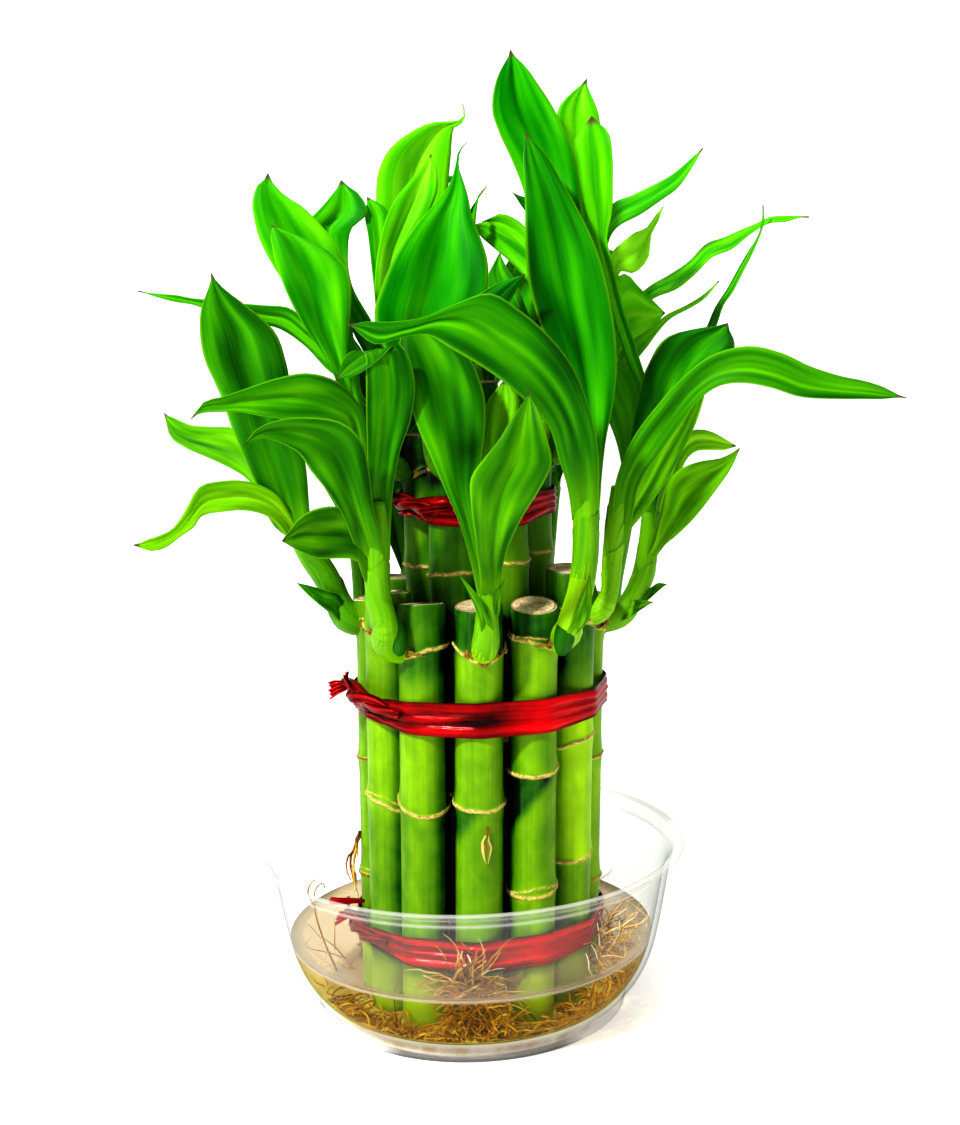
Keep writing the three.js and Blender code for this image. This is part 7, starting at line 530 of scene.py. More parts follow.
def leaf_material():
    m, nt, out = mat("leaf_blade")
    across, along, tone, seed, warm = (attr(nt, n) for n in ("across", "along", "tone", "seed", "warm"))
    wide = combine(nt, math_(nt, "MULTIPLY_ADD", across, 3.0, seed), math_(nt, "MULTIPLY", along, 1.2), seed)
    fine = combine(nt, math_(nt, "MULTIPLY_ADD", across, 19.0, seed), math_(nt, "MULTIPLY", along, 0.5), seed)
    n1, n2 = noise_tex(nt, wide, 1.0, 2.0), noise_tex(nt, fine, 1.0, 2.0, 0.6)
    spot = noise_tex(nt, combine(nt, math_(nt, "MULTIPLY", across, 2.0), math_(nt, "MULTIPLY", along, 3.0), seed), 1.0, 1.0)
    x = math_(nt, "MULTIPLY_ADD", math_(nt, "SUBTRACT", n1, 0.5), 0.34, tone)
    x = math_(nt, "MULTIPLY_ADD", math_(nt, "SUBTRACT", n2, 0.5), 0.16, x)
    x = math_(nt, "MULTIPLY_ADD", math_(nt, "SUBTRACT", spot, 0.5), 1.0, x)
    # painted shade: darker towards both edges of the blade, lighter along the middle
    x = math_(nt, "MULTIPLY_ADD", math_(nt, "POWER", math_(nt, "ABSOLUTE", across), 2.0), -0.12, math_(nt, "ADD", x, 0.05))
    x = math_(nt, "MULTIPLY", x, 0.8)
    cool = ramp(nt, x, [
        (0.0, srgb(0, 60, 0)), (0.2, srgb(2, 100, 0)), (0.36, srgb(16, 138, 0)),
        (0.5, srgb(48, 168, 0)), (0.64, srgb(86, 200, 0)), (0.8, srgb(116, 224, 6)), (1.0, srgb(160, 246, 44)),
    ])
    low = ramp(nt, x, [
        (0.0, srgb(12, 62, 0)), (0.2, srgb(40, 98, 0)), (0.36, srgb(72, 130, 0)),
        (0.5, srgb(100, 156, 0)), (0.64, srgb(126, 188, 0)), (0.8, srgb(150, 216, 12)), (1.0, srgb(184, 240, 56)),
    ])
    olive = math_(nt, "MULTIPLY", warm, math_(nt, "MULTIPLY_ADD", smoothstep(nt, along, 0.5, 0.0), 0.35, 0.82))
    colour = mix(nt, olive, cool, low)
    # painted highlight: a lit yellow-green margin along both edges
    far = math_(nt, "ABSOLUTE", across)
    rim = smoothstep(nt, far, 0.9, 1.0)
    colour = mix(nt, math_(nt, "MULTIPLY", rim, 0.5), colour, srgb(140, 214, 14))
    base = smoothstep(nt, along, 0.24, 0.0)
    colour = mix(nt, math_(nt, "MULTIPLY", base, 0.74), colour, srgb(112, 178, 8))
    dry = math_(nt, "MULTIPLY_ADD", noise_tex(nt, fine, 2.0), 0.02, along)
    colour = mix(nt, smoothstep(nt, dry, 0.978, 0.998), colour, srgb(96, 84, 50))
    under = attr(nt, "under")
    colour = mix(nt, math_(nt, "MULTIPLY", under, 0.25), colour, srgb(26, 120, 4))
    p = node(nt, "BsdfPrincipled", Roughness=0.44)
    p.inputs["Specular IOR Level"].default_value = 0.07
    nt.links.new(colour, p.inputs["Base Color"])
    height = math_(nt, "MULTIPLY_ADD", n1, 0.6, math_(nt, "MULTIPLY", n2, 0.5))
    nt.links.new(bump(nt, height, 0.35, 0.0006), p.inputs["Normal"])
    t = node(nt, "BsdfTranslucent")
    nt.links.new(mix(nt, 0.4, colour, srgb(110, 220, 0)), t.inputs["Color"])
    ms = node(nt, "MixShader")
    ms.inputs[0].default_value = 0.2
    nt.links.new(p.outputs[0], ms.inputs[1])
    nt.links.new(t.outputs[0], ms.inputs[2])
    nt.links.new(ms.outputs[0], out.inputs[0])
    return m


def stem_material():
    m, nt, out = mat("leaf_stem")
    across, along, tone, seed = (attr(nt, n) for n in ("across", "along", "tone", "seed"))
    v = combine(nt, math_(nt, "MULTIPLY_ADD", across, 5.0, seed), math_(nt, "MULTIPLY", along, 0.7), seed)
    n1 = noise_tex(nt, v, 1.0, 2.0)
    fine = noise_tex(nt, combine(nt, math_(nt, "MULTIPLY_ADD", across, 22.0, seed), along, seed), 1.0, 2.0)
    x = math_(nt, "MULTIPLY_ADD", math_(nt, "SUBTRACT", n1, 0.5), 0.45, tone)
    x = math_(nt, "MULTIPLY_ADD", math_(nt, "SUBTRACT", fine, 0.5), 0.2, x)
    colour = ramp(nt, x, [
        (0.0, srgb(14, 76, 0)), (0.3, srgb(44, 114, 0)), (0.55, srgb(84, 148, 0)),
        (0.8, srgb(122, 180, 2)), (1.0, srgb(160, 206, 20)),
    ])
    # painted highlight: sheath edges lightened towards pale yellow-green
    colour = mix(nt, math_(nt, "MULTIPLY", attr(nt, "hem"), 0.06), colour, srgb(176, 214, 70))
    dry = attr(nt, "dry")
    grain = noise_tex(nt, v, 3.0, 3.0)
    colour = mix(nt, dry, colour, ramp(nt, grain, [(0.25, srgb(92, 58, 16)), (0.55, srgb(156, 112, 44)), (0.8, srgb(206, 176, 104))]))
    p = node(nt, "BsdfPrincipled", Roughness=0.42)
    p.inputs["Specular IOR Level"].default_value = 0.14
    nt.links.new(colour, p.inputs["Base Color"])
    nt.links.new(bump(nt, fine, 0.3, 0.0005), p.inputs["Normal"])
    nt.links.new(p.outputs[0], out.inputs[0])
    return m


def cane_material():
    m, nt, out = mat("cane_skin")
    tone, ring, zz, ang, stain, seed = (attr(nt, n) for n in ("tone", "ring", "height", "angle", "stain", "seed"))
    streak = noise_tex(nt, combine(nt, math_(nt, "MULTIPLY_ADD", ang, 2.6, seed), math_(nt, "MULTIPLY", zz, 0.018), seed), 1.0, 3.0, 0.55)
    fine = noise_tex(nt, combine(nt, math_(nt, "MULTIPLY_ADD", ang, 11.0, seed), math_(nt, "MULTIPLY", zz, 0.05), seed), 1.0, 2.0, 0.6)
    patch = noise_tex(nt, combine(nt, math_(nt, "MULTIPLY_ADD", ang, 1.2, seed), math_(nt, "MULTIPLY", zz, 0.16), seed), 1.0, 2.0)
    # tone carries each cane's painted light and shade as well as its own green
    x = math_(nt, "MULTIPLY_ADD", math_(nt, "SUBTRACT", streak, 0.5), 0.34, tone)
    x = math_(nt, "MULTIPLY_ADD", math_(nt, "SUBTRACT", fine, 0.5), 0.13, x)
    x = math_(nt, "MULTIPLY_ADD", math_(nt, "SUBTRACT", patch, 0.5), 0.4, x)
    # painted canopy shade: darker from 72 to 90 mm up
    x = math_(nt, "MULTIPLY_ADD", smoothstep(nt, zz, 72.0, 90.0), -0.1, x)
    colour = ramp(nt, x, [
        (0.0, srgb(4, 14, 0)), (0.1, srgb(26, 82, 0)), (0.25, srgb(58, 112, 0)), (0.5, srgb(102, 148, 0)),
        (0.75, srgb(136, 184, 0)), (1.0, srgb(164, 214, 8)),
    ])
    rag = noise_tex(nt, combine(nt, math_(nt, "MULTIPLY", ang, 4.0), math_(nt, "MULTIPLY", zz, 0.9), seed), 1.6, 3.0, 0.65)
    halo = math_(nt, "MULTIPLY", smoothstep(nt, ring, 0.02, 0.5), 0.35)
    colour = mix(nt, halo, colour, srgb(168, 190, 60))
    on = smoothstep(nt, math_(nt, "MULTIPLY_ADD", math_(nt, "SUBTRACT", rag, 0.5), 0.9, ring), 0.42, 0.62)
    tan = ramp(nt, rag, [(0.3, srgb(104, 84, 30)), (0.5, srgb(196, 170, 92)), (0.75, srgb(232, 212, 150))])
    colour = mix(nt, on, colour, tan)
    dirt = smoothstep(nt, math_(nt, "MULTIPLY_ADD", math_(nt, "SUBTRACT", rag, 0.5), 0.8, stain), 0.45, 0.7)
    colour = mix(nt, dirt, colour, ramp(nt, fine, [(0.3, srgb(84, 52, 14)), (0.7, srgb(170, 124, 52))]))
    p = node(nt, "BsdfPrincipled", Roughness=0.4)
    p.inputs["Specular IOR Level"].default_value = 0.14
    nt.links.new(colour, p.inputs["Base Color"])
    rough = math_(nt, "MULTIPLY_ADD", on, 0.35, 0.4)
    nt.links.new(rough, p.inputs["Roughness"])
    h = math_(nt, "MULTIPLY_ADD", on, math_(nt, "MULTIPLY", rag, 1.0), math_(nt, "MULTIPLY", fine, 0.3))
    nt.links.new(bump(nt, h, 0.4, 0.0006), p.inputs["Normal"])
    nt.links.new(p.outputs[0], out.inputs[0])
    return m


def cut_material():
    m, nt, out = mat("cane_cut")
    c = node(nt, "TexCoord").outputs["Object"]
    dots = nt.nodes.new("ShaderNodeTexVoronoi")
    dots.inputs["Scale"].default_value = 1400
    nt.links.new(c, dots.inputs["Vector"])
    n = noise_tex(nt, c, 420, 4.0, 0.6)
    rad = attr(nt, "ring")
    x = math_(nt, "MULTIPLY_ADD", math_(nt, "SUBTRACT", dots.outputs["Distance"], 0.4), 0.35, n)
    colour = ramp(nt, x, [(0.2, srgb(116, 88, 48)), (0.42, srgb(178, 152, 108)), (0.6, srgb(212, 194, 154)), (0.8, srgb(240, 230, 200))])
    colour = mix(nt, smoothstep(nt, rad, 0.86, 1.0), colour, srgb(122, 88, 40))
    p = node(nt, "BsdfPrincipled", Roughness=0.85)
    nt.links.new(colour, p.inputs["Base Color"])
    nt.links.new(bump(nt, x, 0.6, 0.0006), p.inputs["Normal"])
    nt.links.new(p.outputs[0], out.inputs[0])
    return m


def foil_material():
    m, nt, out = mat("red_foil")
    # fold carries painted shade and light: darker in creases, between pleats and at the rolled edges, lighter on ridges
    # and on lit parts of the band's front
    fold, c = attr(nt, "fold"), node(nt, "TexCoord").outputs["Object"]
    n = noise_tex(nt, c, 420, 3.0, 0.55)
    colour = ramp(nt, math_(nt, "MULTIPLY_ADD", math_(nt, "SUBTRACT", n, 0.5), 0.25, fold), [
        (0.05, srgb(34, 0, 2)), (0.35, srgb(104, 0, 3)), (0.6, srgb(162, 0, 4)), (0.95, srgb(216, 0, 12)),
    ])
    p = node(nt, "BsdfPrincipled", Roughness=0.32, Metallic=0.25)
    p.inputs["Specular IOR Level"].default_value = 0.08
    p.inputs["Coat Weight"].default_value = 0.04
    p.inputs["Coat Roughness"].default_value = 0.06
    nt.links.new(colour, p.inputs["Base Color"])
    nt.links.new(bump(nt, n, 0.22, 0.0005), p.inputs["Normal"])
    nt.links.new(p.outputs[0], out.inputs[0])
    return m


def root_material():
    m, nt, out = mat("root_skin")
    tone, along = attr(nt, "tone"), attr(nt, "along")
    c = node(nt, "TexCoord").outputs["Object"]
    n = noise_tex(nt, c, 500, 3.0, 0.6)
    x = math_(nt, "MULTIPLY_ADD", math_(nt, "SUBTRACT", n, 0.5), 0.7, tone)
    colour = ramp(nt, x, [(0.1, srgb(84, 44, 2)), (0.35, srgb(146, 92, 4)), (0.6, srgb(196, 142, 22)), (0.82, srgb(226, 188, 96)), (1.0, srgb(250, 238, 206))])
    p = node(nt, "BsdfPrincipled", Roughness=0.6)
    p.inputs["Specular IOR Level"].default_value = 0.15
    nt.links.new(colour, p.inputs["Base Color"])
    nt.links.new(p.outputs[0], out.inputs[0])
    return m


def water_material():
    m, nt, out = mat("water")
    top = attr(nt, "cloud")
    t = node(nt, "BsdfTransparent")
    # painted: the side tint turns browner towards the back and middle
    side = mix(nt, attr(nt, "deep"), (0.95, 0.90, 0.36), (0.66, 0.54, 0.38))
    nt.links.new(mix(nt, top, side, (0.88, 0.82, 0.66)), t.inputs["Color"])
    murk = node(nt, "BsdfDiffuse")
    nt.links.new(mix(nt, top, (0.34, 0.23, 0.04), (0.48, 0.38, 0.25)), murk.inputs["Color"])
    m1 = node(nt, "MixShader")
    nt.links.new(math_(nt, "MULTIPLY_ADD", attr(nt, "brim"), 0.45, math_(nt, "MULTIPLY_ADD", top, 0.10, 0.07)), m1.inputs[0])
    nt.links.new(t.outputs[0], m1.inputs[1])
    nt.links.new(murk.outputs[0], m1.inputs[2])
    lw = node(nt, "LayerWeight")
    lw.inputs["Blend"].default_value = 0.5
    shine = math_(nt, "MULTIPLY_ADD", math_(nt, "POWER", lw.outputs["Facing"], 5.0), 0.8, 0.02)
    g = node(nt, "BsdfGlossy", Roughness=0.03)
    m2 = node(nt, "MixShader")
    nt.links.new(math_(nt, "MULTIPLY", shine, math_(nt, "MULTIPLY_ADD", top, 0.85, 0.06)), m2.inputs[0])
    nt.links.new(m1.outputs[0], m2.inputs[1])
    nt.links.new(g.outputs[0], m2.inputs[2])
    nt.links.new(m2.outputs[0], out.inputs[0])
    return m


LEAF, STEM, CANE, CUT, FOIL, ROOT = (
    leaf_material(), stem_material(), cane_material(), cut_material(), foil_material(), root_material())


def plastic_material():
    m, nt, out = mat("clear_plastic")
    lw = node(nt, "LayerWeight")
    lw.inputs["Blend"].default_value = 0.5
    facing = lw.outputs["Facing"]
    edge = math_(nt, "POWER", facing, 6.0)
    t = node(nt, "BsdfTransparent")
    nt.links.new(mix(nt, edge, (0.985, 0.985, 0.98), (0.46, 0.46, 0.47)), t.inputs["Color"])
    g = node(nt, "BsdfGlossy", Roughness=0.05)
    haze = node(nt, "BsdfDiffuse")
    # painted shade: the haze on the foot is grey-violet
    nt.links.new(mix(nt, attr(nt, "foot"), (0.96, 0.94, 0.86), (0.30, 0.28, 0.33)), haze.inputs["Color"])
    m1 = node(nt, "MixShader")
    nt.links.new(math_(nt, "MULTIPLY_ADD", math_(nt, "POWER", facing, 5.0), 0.26, 0.005), m1.inputs[0])
    nt.links.new(t.outputs[0], m1.inputs[1])
    nt.links.new(g.outputs[0], m1.inputs[2])
    m2 = node(nt, "MixShader")
    rim = attr(nt, "rim")
    milky = math_(nt, "MULTIPLY_ADD", math_(nt, "POWER", facing, 4.0), -0.9, 1.0)
    nt.links.new(math_(nt, "MULTIPLY", math_(nt, "MULTIPLY_ADD", rim, 0.38, 0.003), milky), m2.inputs[0])
    nt.links.new(m1.outputs[0], m2.inputs[1])
    nt.links.new(haze.outputs[0], m2.inputs[2])
    # a dark diffuse layer for the painted contact shadow and the painted amber streaks on the foot's front
    dark = node(nt, "BsdfDiffuse")
    amber = attr(nt, "amber")
    nt.links.new(mix(nt, amber, (0.05, 0.045, 0.04), (0.30, 0.165, 0.02)), dark.inputs["Color"])
    m3 = node(nt, "MixShader")
    nt.links.new(math_(nt, "MULTIPLY_ADD", amber, 0.75, math_(nt, "MULTIPLY", attr(nt, "contact"), 0.55)), m3.inputs[0])
    nt.links.new(m2.outputs[0], m3.inputs[1])
    nt.links.new(dark.outputs[0], m3.inputs[2])
    nt.links.new(m3.outputs[0], out.inputs[0])
    return m


PLASTIC = plastic_material()
WATER = water_material()

# ---- bowl ----
outer = [(0.0, 0.55), (32.0, 0.55), (36.2, 0.5), (37.0, 0.1), (37.6, 0.1), (38.0, 0.8), (38.0, 3.3), (39.5, 5.0), (42.7, 9), (45.1, 14.5),
         (46.6, 21), (47.7, 27), (48.7, 33), (49.4, 37.2), (49.8, 38.7), (50.7, 39.3), (52.2, 39.35), (52.5, 39.7), (52.5, 40.3), (52.2, 40.65)]
inner = [(50.9, 40.7), (50.2, 40.3), (48.9, 38.6), (48.2, 36.5), (47.4, 33), (46.4, 27), (45.3, 21), (43.8, 14.9), (41.6, 9.7),
         (38.6, 5.5), (35.6, 3.2), (32, 2.8), (0.0, 2.8)]


def dense(profile, step):
    out = [profile[0]]
    for (r0, z0), (r1, z1) in zip(profile, profile[1:]):
        k = max(1, int(math.hypot(r1 - r0, z1 - z0) / step))
        out += [(r0 + (r1 - r0) * i / k, z0 + (z1 - z0) * i / k) for i in range(1, k + 1)]
    return out


def rounded(profile, passes=2):
    """Corners cut twice, ends kept."""
    p = list(profile)
    for _ in range(passes):
        q = [p[0]]
        for a, b in zip(p, p[1:]):
            q.append((a[0] * 0.75 + b[0] * 0.25, a[1] * 0.75 + b[1] * 0.25))
            q.append((a[0] * 0.25 + b[0] * 0.75, a[1] * 0.25 + b[1] * 0.75))
        q.append(p[-1])
        p = q
    return p


bowl = Parts("rim", "foot", "contact", "amber")
v, f = revolve(rounded(outer + inner), 160)
far = np.hypot(v[:, 0], v[:, 1])
# painted highlight: milky lines along the top of the lip and round it at 37.3 mm
painted_lip_highlight = np.maximum(np.clip((v[:, 2] - 40.25) / 0.3, 0, 1), 0.95 * np.exp(-(((v[:, 2] - 37.3) / 0.32) ** 2)) * (far > 48.8))
painted_lip_highlight = np.maximum(painted_lip_highlight, 0.22 * np.clip((v[:, 2] - 37.3) / 0.3, 0, 1) * (far > 48.8))
# painted shade: a grey-violet line round the bottom edge of the foot
painted_foot_shade_line = np.exp(-(((np.hypot(v[:, 0], v[:, 1]) - 37.6) / 0.5) ** 2)) * (v[:, 2] < 1.0) * 0.5
# foot: where the haze turns grey-violet, painted shade
foot = (v[:, 2] < 3.2) * (far > 33.4) * 1.0
side_haze = 0.09 * np.clip((v[:, 2] - 17.0) / 1.5, 0, 1)
phi = np.arctan2(v[:, 1], v[:, 0])
# painted on the foot's front only: amber streaks standing in for the roots seen through the plastic
amber = (far > 35.0) * (v[:, 1] < 0) * np.exp(-(((v[:, 2] - 3.3) / 1.1) ** 2)) * np.clip((30 - np.abs(v[:, 0] - 2)) / 12, 0, 1)
amber = amber * (0.62 + 0.25 * np.sin(23 * phi + 2 * np.sin(7 * phi)) + 0.13 * np.sin(61 * phi))
# painted contact shadow: dark at the bottom of the foot's front
contact = (far > 35.0) * np.clip((1.5 - v[:, 2]) / 0.8, 0, 1) * np.clip((24 - np.abs(v[:, 0] - 2)) / 6, 0, 1) * (v[:, 1] < 0)
# painted shade: the foot's haze is heavier towards its right-hand front
bowl.add(v, f, contact=contact, amber=amber, rim=np.maximum.reduce([painted_lip_highlight, painted_foot_shade_line, side_haze, (0.10 + 0.3 * np.clip((v[:, 0] - 8) / 14, 0, 1) * (v[:, 1] < 6)) * foot]), foot=foot)
bowl = bowl.make("bowl_clear", [PLASTIC])
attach(bowl, "root")
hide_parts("bowl")

# ---- water: it meets the bowl's inside and climbs a little at the wall ----
wall = [(0.0, 2.7), (32.0, 2.7), (35.7, 3.1), (38.7, 5.4), (41.7, 9.6), (43.9, 14.8), (44.5, 17.6), (44.55, 18.1)]
top = [(44.35, 18.05), (43.7, 17.75), (42.6, 17.55), (41.0, 17.5), (20.0, 17.5), (0.0, 17.5)]
water = Parts("cloud", "brim", "deep")
v, f = revolve(rounded(wall, 2) + top, 128)
far = np.hypot(v[:, 0], v[:, 1])
# painted: a heavier brown tint towards the back and middle, standing in for light through more water
water.add(v, f, cloud=(v[:, 2] > 17.3) * 1.0, deep=np.clip(np.maximum((v[:, 1] + 18) / 14, (31 - far) / 8), 0, 1), brim=(v[:, 2] > 17.3) * (far > 42.4) * 1.0)
water = water.make("water_body", [WATER])
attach(water, "root")
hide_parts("water")

# ---- canes ----
SEG = 60


TILT = {"cane_outer_02": (-90, 0.24), "cane_outer_03": (-60, 0.10), "cane_outer_12": (92, 0.14), "cane_outer_01": (-120, 0.12),
        "cane_inner_2": (-70, 0.10), "cane_outer_11": (100, 0.08)}  # which side of a cut is low, and how steep it is


RINGS = {  # how far a ring leans, which way is low, how strong its second line is, and how far down it sits
    ("cane_outer_11", 56.1): (2.7, 0, 0.9, -2.4), ("cane_outer_12", 56.4): (2.1, -68, 0.0, 0.0), ("cane_outer_01", 58.3): (0.9, -90, 0.0, -0.9),
    ("cane_outer_02", 65.2): (0.9, -115, 0.0, -1.0), ("cane_outer_02", 37.1): (1.6, -95, 1.0, -1.3), ("cane_outer_03", 69): (1.3, 190, 0.2, -0.4),
    ("cane_outer_03", 41.7): (0.9, -100, 0.2, -1.0), ("cane_outer_10", 63.6): (0.4, 0, 0.2, -1.8), ("cane_outer_12", 26): (0.4, -90, 0.0, -5.0),
    ("cane_outer_11", 27): (0.4, -90, 0.0, -6.0), ("cane_outer_01", 20): (0.4, -90, 0.0, 0.0),
}
# each cane's tone offset: partly its own green, partly painted light and shade
CANE_TONE_AND_PAINTED_LIGHT = {"cane_outer_12": 0.12, "cane_outer_11": 0.10, "cane_outer_01": -0.02, "cane_outer_02": 0.05, "cane_outer_03": 0.46, "cane_outer_04": 0.20}


def painted_cane_light_and_shade(name, z, t, radial):
    """A cane's tone offset at a height and a side, mostly painted light and shade: painted canopy shade on upper parts,
    painted cast shadows below rings of cane_outer_01 and cane_outer_02, painted shade where canes face their neighbours
    and inside the bundle, painted light on some lit bands, darker bands just below some rings, and a lighter tone below
    the water line.
    """
    side = math.cos(t)
    out = CANE_TONE_AND_PAINTED_LIGHT.get(name, 0.0)
    step = lambda a, b, v: min(max((v - a) / (b - a), 0.0), 1.0)
    # painted canopy shade from 81 mm up, and darker just below the ring at 56.4 mm
    if name == "cane_outer_12":
        out -= 0.14 * step(57, 54, z) + 0.24 * step(81, 89, z)
    elif name == "cane_outer_11":
        out -= 0.16 * step(54, 50, z)
    # painted light from 80 to 88 mm, painted canopy shade from 92 mm up, and a painted cast shadow slanting below the
    # ring at 57 mm
    elif name == "cane_outer_01":
        out -= 0.06 * step(57, 52, z) - 0.10 * step(80, 88, z) + 0.42 * step(91.6, 94.0, z)
        out -= 0.34 * step(0.5, -0.1, side + (57.0 - z) / 7.0) * step(57.4, 56.6, z)
    # painted light from 80 to 88 mm, painted canopy shade from 94 mm up, and a painted cast shadow slanting below the
    # ring at 64 mm
    elif name == "cane_outer_02":
        out += 0.16 * step(80, 88, z) - 0.42 * step(94, 96, z)
        out -= 0.42 * step(1.3, 0.8, side + (64.0 - z) / 6.5) * step(64.2, 63.4, z)
    # painted canopy shade from 78 mm up, and darker below 41 mm
    elif name == "cane_outer_03":
        out -= 0.36 * step(41.0, 38.5, z) + 0.62 * step(78, 88, z)
    out += 0.55 * step(17.5, 14, z)
    # painted shade on inner canes: low down inside the bundle, under the canopy from 126 mm up, and more on the two
    # front-left canes
    if "outer" not in name:
        out -= 0.75 * step(102, 94, z) + 0.30 * step(126, 131, z) + (0.12 if name in ("cane_inner_1", "cane_inner_6") else 0.0)
    # painted shade on the sides of outer canes that face their neighbours and the bundle's middle
    else:
        out -= 0.30 * step(0.55, 0.1, radial) * step(102, 92, z)
        out -= 0.6 * step(-0.05, -0.35, radial) * step(100, 90, z)
    return out


TURN = {"shoot_outer_12": (-0.93, -0.37), "shoot_outer_02": (0.93, -0.37)}  # the side of the cane that a shoot leaves


def cane(name, angle, foot, topr, cut, rings, k):
    rnd = random.Random(100 + k)
    low_side, slope = TILT.get(name, (rnd.uniform(0, 360), rnd.uniform(0.0, 0.07)))
    low_side = math.radians(low_side)
    shoot = SHOOTS["shoot" + name[4:]]["stem"][0]
    c_top = axis(angle, foot, topr, shoot[2])
    shoot_at = math.atan2(shoot[1] - c_top[1], shoot[0] - c_top[0])
    if "shoot" + name[4:] in TURN:
        tx, ty = TURN["shoot" + name[4:]]
        shoot_at = math.atan2(ty, tx)
    shoot_ring = min(rings, key=lambda r: abs(r - shoot[2] + 2))
    if math.hypot(shoot[0] - c_top[0], shoot[1] - c_top[1]) < 3:
        shoot_ring = None
    p = Parts("tone", "ring", "height", "angle", "stain", "seed")
    moved = {r + (RINGS[name, r][3] if (name, r) in RINGS else 0.0): r for r in rings}
    zs, marks = [], sorted(moved)
    z = CANE_FOOT
    while z < cut - 1.2:
        near = min(abs(z - r) for r in marks)
        zs.append(z)
        z += 0.22 if near < 1.4 else (0.5 if near < 3 else 1.6)
    zs += [cut - 0.9, cut - 0.5, cut - 0.25, cut - 0.08]
    waves = {r: (rnd.uniform(0.15, 0.5), rnd.uniform(0, 6.3), rnd.uniform(0.1, 0.3), rnd.uniform(0, 6.3), rnd.uniform(0.35, 0.6), rnd.random()) for r in marks}
    for r in marks:
        if (name, moved[r]) in RINGS:
            lean, low, line, _ = RINGS[name, moved[r]]
            old = waves[r]
            waves[r] = (lean, -math.pi / 2 - math.radians(low), 0.25, old[3], old[4], line)
    fat = rnd.uniform(-0.12, 0.06)
    a = np.linspace(0, 2 * math.pi, SEG, endpoint=False)
    V, ring, stain, hh, aa, tones = [], [], [], [], [], []
    own = 0.5 + rnd.uniform(-0.05, 0.05)
    seed = k * 3.7
    top_n = len(zs)
    for i, z in enumerate(zs):
        c = axis(angle, foot, topr, z)
        near = min(marks, key=lambda r: abs(z - r))
        A1, p1, A2, p2, H, second = waves[near]
        d = z - near
        w = math.exp(-((d / (3.0 + 1.2 * A1)) ** 2))
        r = CANE_R - 0.22 + fat * 0.5
        r += 0.30 * math.exp(-((d / 2.6) ** 2)) - 0.06
        r += H * math.exp(-((d / 0.40) ** 2))
        over = max(0.0, z - (cut - 1.0))
        r -= 0.35 * over * over
        for t in a:
            patch = 0.0
            swell = 0.10 * wob(math.cos(t) * 0.8 + seed, math.sin(t) * 0.8, z * 0.035)
            rag = 0.12 * wob(math.cos(t) * 3.1, math.sin(t) * 3.1 + seed, near) * w
            d2 = d - 1.2 - 0.7 * second * math.sin(2 * t + p2)
            if second > 0.45:
                swell += 0.24 * math.exp(-((d2 / 0.32) ** 2))
            rr = min(r + swell + rag * math.exp(-((d / 0.6) ** 2)), CANE_R + 0.42)
            dz = w * (A1 * math.sin(t + p1) + A2 * math.sin(2 * t + p2) + 0.35 * wob(math.cos(t) * 2.2 + seed, math.sin(t) * 2.2, near))
            if near == shoot_ring:
                off = (t - shoot_at + math.pi) % (2 * math.pi) - math.pi
                dz += math.exp(-((d / 4.5) ** 2)) * (1.1 - 3.6 * (1 - min(1.0, math.sqrt(off * off + 0.04) / 1.45)))
                rr += 1.3 * math.exp(-((off / 0.5) ** 2)) * min(max((d + 0.2) / 2.6, 0.0), 1.0) * min(max((9.0 - d) / 4.0, 0.0), 1.0)
                patch = max(math.exp(-(((abs(off) - 0.66) / 0.15) ** 2)) * min(max((d + 0.7) / 0.7, 0.0), 1.0) * min(max((2.8 - d) / 2.0, 0.0), 1.0),
                            0.9 * math.exp(-((off / 0.34) ** 2) - (d / 1.1) ** 2))
            dz -= slope * rr * math.cos(t - low_side) * max(0.0, 1 - (cut - z) / 5.0)
            zz = z + dz
            V.append((c[0] + rr * math.cos(t), c[1] + rr * math.sin(t), zz))
            main = math.exp(-((d / 0.5) ** 2))
            # painted shade: on inner canes above 126 mm the pale ring lines are dimmed
            if "outer" not in name and z > 126:
                main *= 0.35
            ring.append((0.4 if "outer" not in name and z > 126 else 1.0) * max(main, (0.55 + 0.35 * second if second > 0.45 else 0.0) * math.exp(-((d2 / 0.3) ** 2))))
            stain.append(max(patch, 0.45 * math.exp(-((d / 1.6) ** 2)) * (0.5 + wob(math.cos(t), math.sin(t) + seed, near))))
            if name == "cane_outer_10" and abs(d) < 2:
                stain[-1] = max(stain[-1], 0.8 * main)
            hh.append(z)
            aa.append(t)
            tones.append(own + painted_cane_light_and_shade(name, z + dz, t, ((c[0] - 4.0) * math.cos(t) + c[1] * math.sin(t)) / max(math.hypot(c[0] - 4.0, c[1]), 1.0)))
    ang = np.array(aa)
    ang = np.minimum(ang, 2 * math.pi - ang)  # mirrored, so that no seam shows at the back
    f = grid_faces(top_n, SEG, closed=True)
    f.append(tuple(range(SEG))[::-1])
    p.add(V, f, 0, tone=tones, ring=ring, height=hh, angle=ang + 0.35 * np.sin(np.array(aa)), stain=stain, seed=seed)
    # the cut end: a low rim round a slightly sunken, fibrous face
    c = axis(angle, foot, topr, cut)
    rr = CANE_R - 0.62 + fat * 0.5
    V, rad = [], []
    for s in (1.0, 0.9, 0.8, 0.55, 0.3):
        for t in a:
            dip = 0.0 if s > 0.95 else (-0.04 if s > 0.85 else -0.2)
            V.append((c[0] + rr * s * math.cos(t), c[1] + rr * s * math.sin(t), cut - 0.02 + dip + (0.10 * wob(math.cos(t) * 2 * s, math.sin(t) * 2 * s, seed) if s < 0.95 else 0.0) - slope * rr * s * math.cos(t - low_side)))
